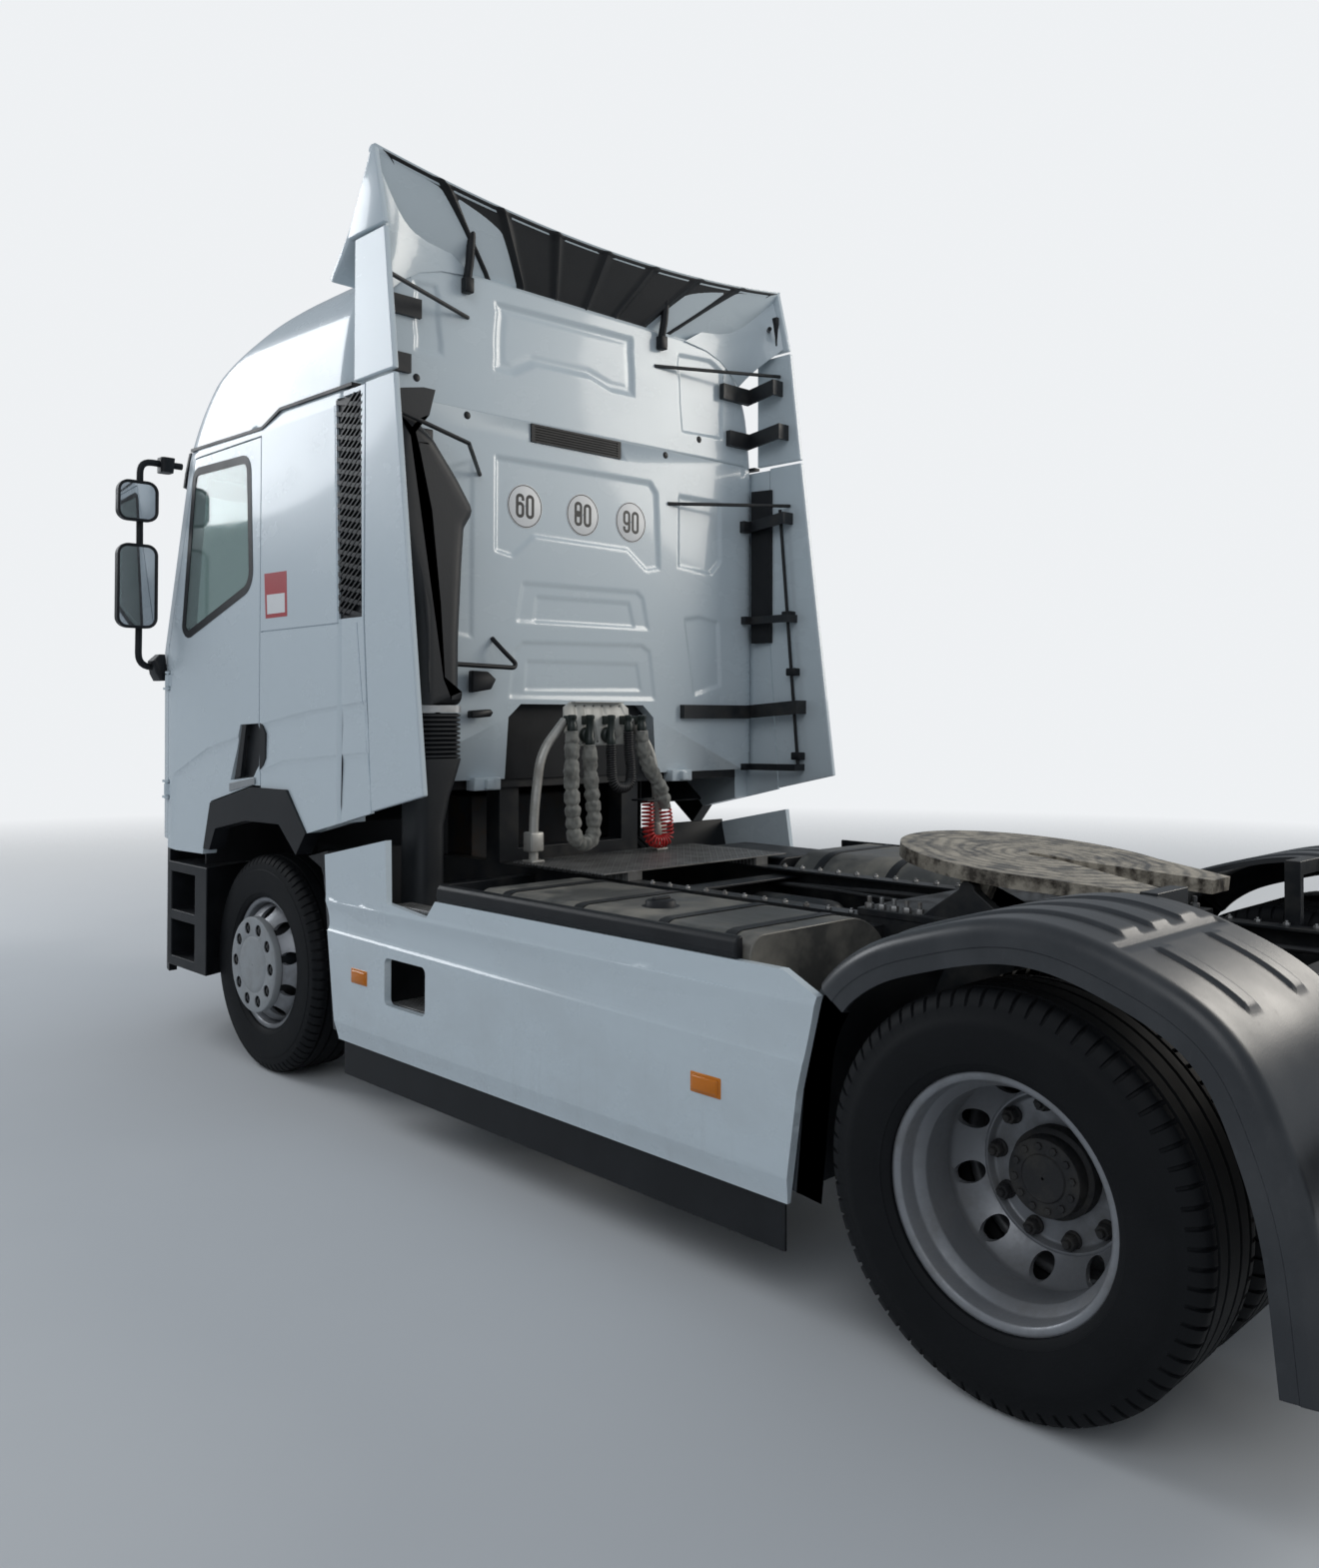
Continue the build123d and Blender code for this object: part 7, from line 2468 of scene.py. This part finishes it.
@dataclass
class CabInside:
    """Seats with padded cushions, backs and headrests, and the bunk with its mattress."""

    seat_x: tuple = (0.560, -0.560)
    fill: float = 0.75
    # Seat's foot. Columns: Z, half width, front and rear y behind the front axle.
    base: tuple = ((1.362, 0.165, -0.445, -0.085), (1.600, 0.150, -0.430, -0.100), (1.618, 0.190, -0.470, -0.060),
                   (1.640, 0.190, -0.470, -0.060))
    # Pads of a seat. Columns: name, y behind the front axle, Z, half sizes, lean, seams, crown, steps.
    pads: tuple = (
        ("cushion", -0.262, 1.700, (0.248, 0.256, 0.060), 0.0, (("x", -0.62), ("x", 0.62), ("y", 0.25)), 0.10, 40),
        ("back", 0.045, 2.015, (0.236, 0.052, 0.245), 0.150, (("x", -0.62), ("x", 0.62), ("z", -0.30), ("z", 0.35)),
         0.02, 40),
        ("head", 0.095, 2.350, (0.140, 0.050, 0.082), 0.150, (), 0.02, 24),
    )
    bunk_half: float = 1.118
    bunk_y: tuple = (0.222, 0.8185)
    # Wipers: start and end of each as x, Z, and the gap in front of the windscreen.
    wiper_lines: tuple = (((0.62, 1.99), (-0.02, 2.18)), ((-0.10, 1.99), (-0.78, 2.16)))
    wiper_gap: float = 0.010

    def build(self, wardrobe: Wardrobe) -> None:
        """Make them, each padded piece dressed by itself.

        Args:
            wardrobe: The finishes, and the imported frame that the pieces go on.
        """
        bases = []
        replaced: tuple = ("seats",)
        for x, side in zip(self.seat_x, ("left", "right")):
            rows = [(z, x - half, x + half, *span(front, rear)) for z, half, front, rear in self.base]
            bases += [stack(f"seat_base_{side}", rows),
                      box(f"belt_stalk_{side}", (x - 0.215, x - 0.200), span(-0.08, -0.05), (1.64, 1.84), 0.004)]
            for name, y, z, half, lean, seams, crown, steps in self.pads:
                piece = pad(f"seat_{name}_{side}", (x, behind_axle(y), z), half, lean, seams, crown, steps=steps)
                wardrobe.dress(piece, "seat_cloth", "cab", replaced)
        wardrobe.dress(joined("seat_bases", bases), "inside_mould", "cab", replaced)
        wide, (front, back) = self.bunk_half, span(*self.bunk_y)
        board = box("bunk_board", (-wide, wide), (front, back), (1.361, 1.772), 0.010)
        wardrobe.dress(board, "inside_mould", "cab", ("bunk",))
        mattress = pad("bunk_mattress", (0.0, (front + back) / 2, 1.860), (wide, (back - front) / 2, 0.088), 0.0,
                       (("x", -0.6), ("x", -0.2), ("x", 0.2), ("x", 0.6), ("y", 0.0)), 0.08, 0.012, 64)
        wardrobe.dress(mattress, "seat_cloth", "cab", ("bunk",))
        self.wipers(wardrobe)

    def wipers(self, wardrobe: Wardrobe) -> None:
        """Two wipers that follow the windscreen, 10 mm in front of it.

        Args:
            wardrobe: The finishes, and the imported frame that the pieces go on.
        """
        screen = bpy.data.objects["windscreen"]
        parts = []
        for k, (start, end) in enumerate(self.wiper_lines):
            share = np.linspace(0, 1, 14)[:, None]
            flat = np.array(start) * (1 - share) + np.array(end) * share
            path = []
            for x, z in flat:
                hit, place, _, _ = screen.ray_cast((x, -6.0, z), (0, 1, 0))
                if hit:
                    path.append((x, place[1] - self.wiper_gap, z))
            if len(path) > 6:
                path = np.array(path)
                parts.append(tube(f"wiper_arm_{k}", path[:9], 0.0065, 8))
                blade = path[3:] + np.array((0.0, 0.004, -0.012))
                parts.append(tube(f"wiper_blade_{k}", blade, 0.0055, 6))
        if parts:
            wardrobe.dress(joined("wipers", parts), "black_mould", "cab")


@dataclass
class HoseStand:
    """Stand for the lines: bent legs, holed plate and capped sockets."""

    y: float = 1.150
    # Legs: name, x of the foot and of the top.
    legs: tuple = (("left", 0.510, 0.340), ("right", -0.230, -0.050))
    leg_radius: float = 0.0208
    # Plate: x, Z.
    outline: tuple = ((0.311, 1.689), (0.006, 1.689), (-0.036, 1.662), (-0.046, 1.580), (-0.012, 1.497), (0.285, 1.493),
                      (0.344, 1.560), (0.348, 1.664))
    # Rows of holes in the plate: x of the first, Z.
    hole_rows: tuple = ((0.020, 1.671), (0.045, 1.512))
    hole_pitch: float = 0.052
    hole_radius: float = 0.0062
    # Sockets. Columns: x, y behind the front axle, low Z, radius.
    sockets: tuple = ((0.335, 1.195, 1.560, 0.022), (0.232, 1.195, 1.500, 0.022), (0.110, 1.200, 1.500, 0.020),
                      (0.005, 1.200, 1.560, 0.020), (-0.075, 1.204, 1.560, 0.022))
    # Cap: y off the plate, radius.
    cap: tuple = ((0.0, 0.003), (0.0, 0.036), (0.020, 0.036), (0.026, 0.031), (0.028, 0.003))

    def build(self, wardrobe: Wardrobe) -> None:
        """Make the legs, the plate and the sockets.

        Args:
            wardrobe: The finishes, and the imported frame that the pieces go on.
        """
        y = behind_axle(self.y)
        legs = []
        for name, foot, top in self.legs:
            knee = foot + (top - foot) * 0.22
            path = np.array([(foot, y, 1.000), (foot, y, 1.20), (knee, y, 1.470), (top, y, 1.605)])
            legs.append(tube(f"stand_leg_{name}", round_path(path, 0.09), self.leg_radius, 18))
            wide = (foot - 0.035, foot + 0.035)
            legs.append(box(f"stand_foot_{name}", wide, (y - 0.035, y + 0.035), (1.000, 1.010)))
            legs.append(box(f"stand_clamp_{name}", wide, (y - 0.031, y + 0.031), (1.045, 1.13), 0.008))
        wardrobe.dress(joined("stand_legs", legs), "stand_metal", "chassis", ("hose_stand",))
        plate = prism("stand_plate", self.outline, "y", y - 0.004, y + 0.004)
        cuts = [tube(f"cut_{row}_{k}", np.array([(x, y - 0.03, z), (x, y + 0.03, z)]), self.hole_radius, 10)
                for row, (low, z) in enumerate(self.hole_rows)
                for k, x in enumerate(low + self.hole_pitch * np.arange(6 - row))]
        plate = bevelled(carved(plate, joined("plate_cuts", cuts)), 0.0015)
        fold = box("stand_fold", (0.010, 0.305), (y - 0.004, y + 0.030), (1.686, 1.690), 0.0015)
        wardrobe.dress(joined("stand_plate_skin", [plate, fold]), "cream_coat", "chassis")
        dark = []
        for k, (x, place, low, radius) in enumerate(self.sockets):
            profile = [(low, radius * 0.92), (low + 0.004, radius), (low + 0.030, radius), (low + 0.034, radius * 0.84),
                       (1.612, radius * 0.80), (1.616, radius * 0.96), (1.628, radius * 0.96), (1.632, radius * 0.6)]
            z, reach = np.array(profile).T
            dark.append(tube(f"socket_{k}", places_at(x, place, z), reach, 18))
            dark.append(box(f"elbow_{k}", (x - 0.014, x + 0.014), (y, behind_axle(place)), (1.588, 1.628), 0.004))
        for k, x in enumerate((0.226, 0.101)):
            dark.append(turned(f"cap_{k}", self.cap, (x, y + 0.010, 1.542), 24, 35.0, "y"))
        wardrobe.dress(joined("stand_sockets", dark), "socket_mould", "chassis")
        park = [box("park_arm", (-0.225, -0.068), (y - 0.006, y + 0.006), (1.236, 1.244), 0.0015),
                box("park_plate", (-0.140, -0.068), (y, behind_axle(1.25)), (1.236, 1.244), 0.0015)]
        wardrobe.dress(joined("park_bracket", park), "frame_coat", "chassis")


@dataclass
class FrameFittings:
    """What shows on the frame: bolts, pipes, tank straps and caps, air tanks and the fairings' rods."""

    rail_x: float = 0.430
    rail_top: float = 0.960
    # Bolts along a rail's top. Columns: first y behind the front axle, pitch, count.
    rail_rows: tuple = ((1.78, 0.098, 14), (3.70, 0.09, 9))
    base_y: tuple = (2.83, 2.88, 2.93, 2.98, 3.03, 3.44, 3.49, 3.54, 3.59)
    # Bolts of the webs: y's start, end and pitch, then their two rows' Z.
    web_y: tuple = (1.75, 4.5, 0.11)
    web_z: tuple = (0.90, 0.76)
    # Pipes: x, Z, radius.
    pipe_rows: tuple = ((0.340, 0.905, 0.010), (0.318, 0.888, 0.008), (0.300, 0.905, 0.008), (-0.340, 0.905, 0.012),
                        (-0.312, 0.890, 0.009))
    # Air tank. Columns: y from its middle, radius.
    bottle: tuple = ((-0.24, 0.002), (-0.238, 0.045), (-0.225, 0.070), (-0.20, 0.086), (-0.17, 0.090), (0.17, 0.090),
                     (0.20, 0.086), (0.225, 0.070), (0.238, 0.045), (0.24, 0.002))
    bottle_x: tuple = (-0.19, 0.02, 0.215)
    # Strap of a fuel tank: x, Z.
    strap: tuple = ((1.196, 0.52), (1.196, 1.006), (0.509, 1.006), (0.509, 0.389), (0.80, 0.389))
    strap_y: tuple = (1.83, 2.22, 2.62, 2.90)
    # Filler cap: Z, radius.
    cap: tuple = ((1.000, 0.075), (1.004, 0.075), (1.006, 0.052), (1.022, 0.050), (1.027, 0.042))
    # Seal behind a fairing: x, y behind the front axle.
    seal: tuple = ((1.178, 0.893), (1.218, 0.893), (1.218, 1.01), (1.205, 1.01))
    # Clips of a fairing's rod: y behind the front axle, Z.
    clips: tuple = ((1.205, 1.42), (1.170, 1.86), (1.140, 2.16), (1.095, 2.68))

    def build(self, wardrobe: Wardrobe) -> None:
        """Make them.

        Args:
            wardrobe: The finishes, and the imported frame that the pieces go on.
        """
        heads = []
        for side in Side:
            for start, pitch, count in self.rail_rows:
                heads += [(side.value * (self.rail_x - 0.022), behind_axle(start + pitch * k), self.rail_top)
                          for k in range(count)]
        rail_bolts = bolts("rail_bolts", heads, "z", 0.011, 0.009, 0.006)
        base = [(side.value * 0.400, behind_axle(y), 0.985) for side in Side for y in self.base_y]
        base_bolts = bolts("base_bolts", base, "z", 0.016, 0.016, 0.022)
        webs = [(self.rail_x, behind_axle(y), z) for y in np.arange(*self.web_y) for z in self.web_z]
        web_left = bolts("web_bolts_left", webs, "x", 0.011, 0.008, 0.004)
        web_right = mirrored(web_left, "web_bolts_right")
        wardrobe.dress(joined("frame_bolts", [rail_bolts, base_bolts, web_left, web_right]), "bolt_metal", "chassis")
        self.pipes(wardrobe)
        self.tanks(wardrobe)
        self.rods(wardrobe)

    def pipes(self, wardrobe: Wardrobe) -> None:
        """Pipe runs clipped to the rails and crossmembers.

        Args:
            wardrobe: The finishes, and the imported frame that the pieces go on.
        """
        rows = []
        y = np.linspace(1.70, 4.40, 46)
        for k, (x, z, radius) in enumerate(self.pipe_rows):
            wave = 0.010 * np.sin(y * 5.0 + k)
            path = places_at(x + wave, y, z + 0.012 * np.sin(y * 3.1 + 2 * k))
            rows.append(tube(f"pipe_{k}", path, radius, 8))
        wardrobe.dress(joined("frame_pipes", rows), "black_hose_skin", "chassis")
        bottles = []
        y, radius = np.array(self.bottle).T
        for k, x in enumerate(self.bottle_x):
            bottles.append(tube(f"air_tank_{k}", places_at(x, 2.02 + y, 0.790), radius, 28))
        wardrobe.dress(joined("air_tanks", bottles), "frame_coat", "chassis")

    def tanks(self, wardrobe: Wardrobe) -> None:
        """Straps over the fuel tanks and their filler caps.

        Args:
            wardrobe: The finishes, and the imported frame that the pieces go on.
        """
        straps = []
        line = rounded_line(self.strap, (0.061, 0.231, 0.131), 0.02)
        for k, y in enumerate(self.strap_y):
            rings = [places_at(line[:, 0], y + s, line[:, 1]) for s in (-0.022, 0.022)]
            straps.append(sheet_mesh(f"strap_{k}", np.stack(rings, axis=1), 0.005, 40.0, 0.0))
        wardrobe.dress_both(joined("tank_straps_left", straps), "black_mould", "chassis")
        z, radius = np.array(self.cap).T
        cap = tube("cap", places_at(0.985, 2.42, z), radius, 28)
        grip = box("cap_grip", (0.945, 1.025), span(2.41, 2.43), (1.02, 1.036), 0.006)
        wardrobe.dress_both(joined("filler_cap_left", [cap, grip]), "black_mould", "chassis")

    def rods(self, wardrobe: Wardrobe) -> None:
        """Upright rod on each fairing with its clips, and the dark seal between the fairing and the wall.

        Args:
            wardrobe: The finishes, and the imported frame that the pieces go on.
        """
        rod = rods("fairing_rod", [((1.185, behind_axle(1.215), 1.36), (1.185, behind_axle(1.09), 2.72))], 0.009)
        clips = [box(f"rod_clip_{k}", (1.172, 1.220), span(y - 0.03, y + 0.03), (z - 0.02, z + 0.02), 0.005)
                 for k, (y, z) in enumerate(self.clips)]
        seal = prism("fairing_seal", [(x, behind_axle(y)) for x, y in self.seal], "z", 2.02, 2.84)
        wardrobe.dress_both(joined("fairing_rod_left", [rod, *clips, seal]), "black_mould", "cab")


FINISHES = (
    Paint(),
    Moulded("black_mould", (0.006, 0.007, 0.009), (0.022, 0.024, 0.028), 0.42, gloss=0.32),
    Moulded("tyre_skin", (0.0028, 0.0036, 0.0050), (0.010, 0.011, 0.013), 0.62, 260.0, 0.3, gloss=0.22),
    Moulded("black_hose_skin", (0.016, 0.016, 0.018), (0.05, 0.05, 0.05), 0.35, 300.0, 0.1),
    Moulded("red_hose_skin", (0.50, 0.02, 0.02), (0.25, 0.03, 0.03), 0.3, 300.0, 0.1),
    Moulded("inside_mould", (0.05, 0.05, 0.055), (0.08, 0.08, 0.085), 0.6),
    Metal("frame_coat", (0.009, 0.011, 0.014), (0.045, 0.042, 0.037), 0.0, 0.42, 0.6),
    Metal("cast_metal", (0.060, 0.060, 0.062), (0.10, 0.065, 0.04), 0.3, 0.6, 0.8, 5.0, (1, 1, 1), 0.4),
    Metal("rim_coat", (0.27, 0.28, 0.30), (0.13, 0.125, 0.12), 0.55, 0.40, 0.5, 9.0),
    Metal("bright_aluminium", (0.50, 0.51, 0.52), (0.20, 0.19, 0.17), 0.85, 0.40, 0.6, 6.0, (1, 0.04, 1)),
    Metal("tank_skin", (0.105, 0.105, 0.100), (0.30, 0.28, 0.24), 0.45, 0.42, 0.75, 3.0, (1, 0.04, 1), 0.25),
    Greased(),
    Tinted("window_glass", (0.62, 0.75, 0.72), 0.9),
    Tinted("lamp_lens", (0.75, 0.77, 0.80), 0.6, 0.05),
    Woven("grey_cloth", (0.24, 0.24, 0.22), (0.10, 0.10, 0.09), 0.004),
    Woven("seat_cloth", (0.05, 0.05, 0.055), (0.09, 0.09, 0.10)),
    Metal("hub_cover_coat", (0.34, 0.36, 0.375), (0.22, 0.21, 0.20), 0.35, 0.42, 0.35, 9.0),
    Metal("hub_coat", (0.028, 0.028, 0.030), (0.075, 0.070, 0.062), 0.2, 0.55, 0.7, 12.0, (1, 1, 1), 0.3),
    Moulded("guard_mould", (0.014, 0.017, 0.022), (0.050, 0.054, 0.060), 0.34, 300.0, 0.18, 0.55, 0.75),
    Moulded("dark_liner", (0.008, 0.009, 0.011), (0.028, 0.029, 0.031), 0.5, 90.0, 0.3),
    Moulded("disc_white", (0.78, 0.79, 0.80), (0.60, 0.60, 0.60), 0.35, 300.0, 0.05, 0.3),
    Moulded("intake_mould", (0.008, 0.010, 0.013), (0.026, 0.028, 0.032), 0.46, 200.0, 0.3),
    Moulded("socket_mould", (0.012, 0.020, 0.018), (0.04, 0.05, 0.045), 0.4),
    Moulded("sticker_red", (0.42, 0.025, 0.035), (0.34, 0.06, 0.06), 0.4, 300.0, 0.05, 0.4),
    Moulded("cream_coat", (0.62, 0.62, 0.58), (0.30, 0.29, 0.26), 0.42, 200.0, 0.1, 0.5),
    Metal("stand_metal", (0.50, 0.49, 0.46), (0.24, 0.22, 0.19), 0.6, 0.42, 0.6, 12.0),
    Metal("bolt_metal", (0.30, 0.30, 0.30), (0.12, 0.10, 0.08), 0.8, 0.42, 0.7, 30.0),
    Tinted("amber_lens", (0.80, 0.24, 0.01), 0.25, 0.12),
    Metal("mirror_face", (0.62, 0.64, 0.66), (0.55, 0.57, 0.6), 1.0, 0.03, 0.1, 3.0, (1, 1, 1), 0.0),
    Chequered(),
    Moulded("print_black", (0.012, 0.012, 0.013), (0.03, 0.03, 0.03), 0.4, 300.0, 0.05, 0.4),
)

# Nodes whose shape stays. Columns: node, finish, slot, bevel.
PLAIN = (
    ("frame_rails", "frame_coat", "frame_paint", 0.002),
    ("frame_brackets", "frame_coat", "frame_paint", 0.002),
    ("engine_block", "cast_metal", "cast_grey", 0.010),
    ("propshaft", "frame_coat", "frame_paint", 0.0),
    ("front_axle_beam", "cast_metal", "cast_grey", 0.004),
    ("suspension", "cast_metal", "cast_grey", 0.004),
    ("rear_axle", "cast_metal", "cast_grey", 0.006),
    ("fuel_tanks", "tank_skin", "aluminium", 0.004),
    ("side_boxes", "black_mould", "black_plastic", 0.006),
    ("step_boxes", "black_mould", "black_plastic", 0.006),
    ("deck_plate", "chequer", "aluminium", 0.001),
    ("fifth_wheel_base", "frame_coat", "frame_paint", 0.003),
    ("fifth_wheel_plate", "greased_plate", "greased_steel", 0.006),
    ("rear_lamp_bar", "frame_coat", "frame_paint", 0.003),
    ("front_bumper", "black_mould", "black_plastic", 0.006),
    ("lamps", "lamp_lens", "lamp_glass", 0.004),
    ("cab_floor", "frame_coat", "frame_paint", 0.004),
    ("cab_front", "white_coat", "white_paint", 0.004),
    ("windscreen", "window_glass", "clear_glass", 0.0),
    ("cab_trims", "black_mould", "black_plastic", 0.002),
    ("side_fairings", "white_coat", "white_paint", 0.006),
    ("fairing_brackets", "frame_coat", "frame_paint", 0.002),
    ("dashboard", "inside_mould", "dash_plastic", 0.006),
    ("door_handle_left", "black_mould", "black_plastic", 0.003),
    ("door_handle_right", "black_mould", "black_plastic", 0.003),
    ("door_glass_left", "window_glass", "clear_glass", 0.0),
    ("door_glass_right", "window_glass", "clear_glass", 0.0),
    ("steering_knuckle_left", "cast_metal", "cast_grey", 0.003),
    ("steering_knuckle_right", "cast_metal", "cast_grey", 0.003),
)


def main() -> None:
    """Build the scene."""
    logging.basicConfig(level=logging.INFO, format="%(name)s: %(message)s")
    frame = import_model()
    Studio().build()
    wardrobe = Wardrobe(frame)
    wardrobe.prepare(FINISHES)
    for line in LINES:
        line.build(wardrobe)
    for assembly in (SteeredWheel(), TwinWheels(), RearMudguards(), RearWall(), SidePanels(), RoofDeflector(),
                     AirIntake(), Mirrors(), SideFittings(), HoseStand(), FrameFittings(), CabInside()):
        assembly.build(wardrobe)
    for node, finish, slot, bevel in PLAIN:
        wardrobe.refined(node, finish, bevel)


if __name__ == "__main__":
    main()
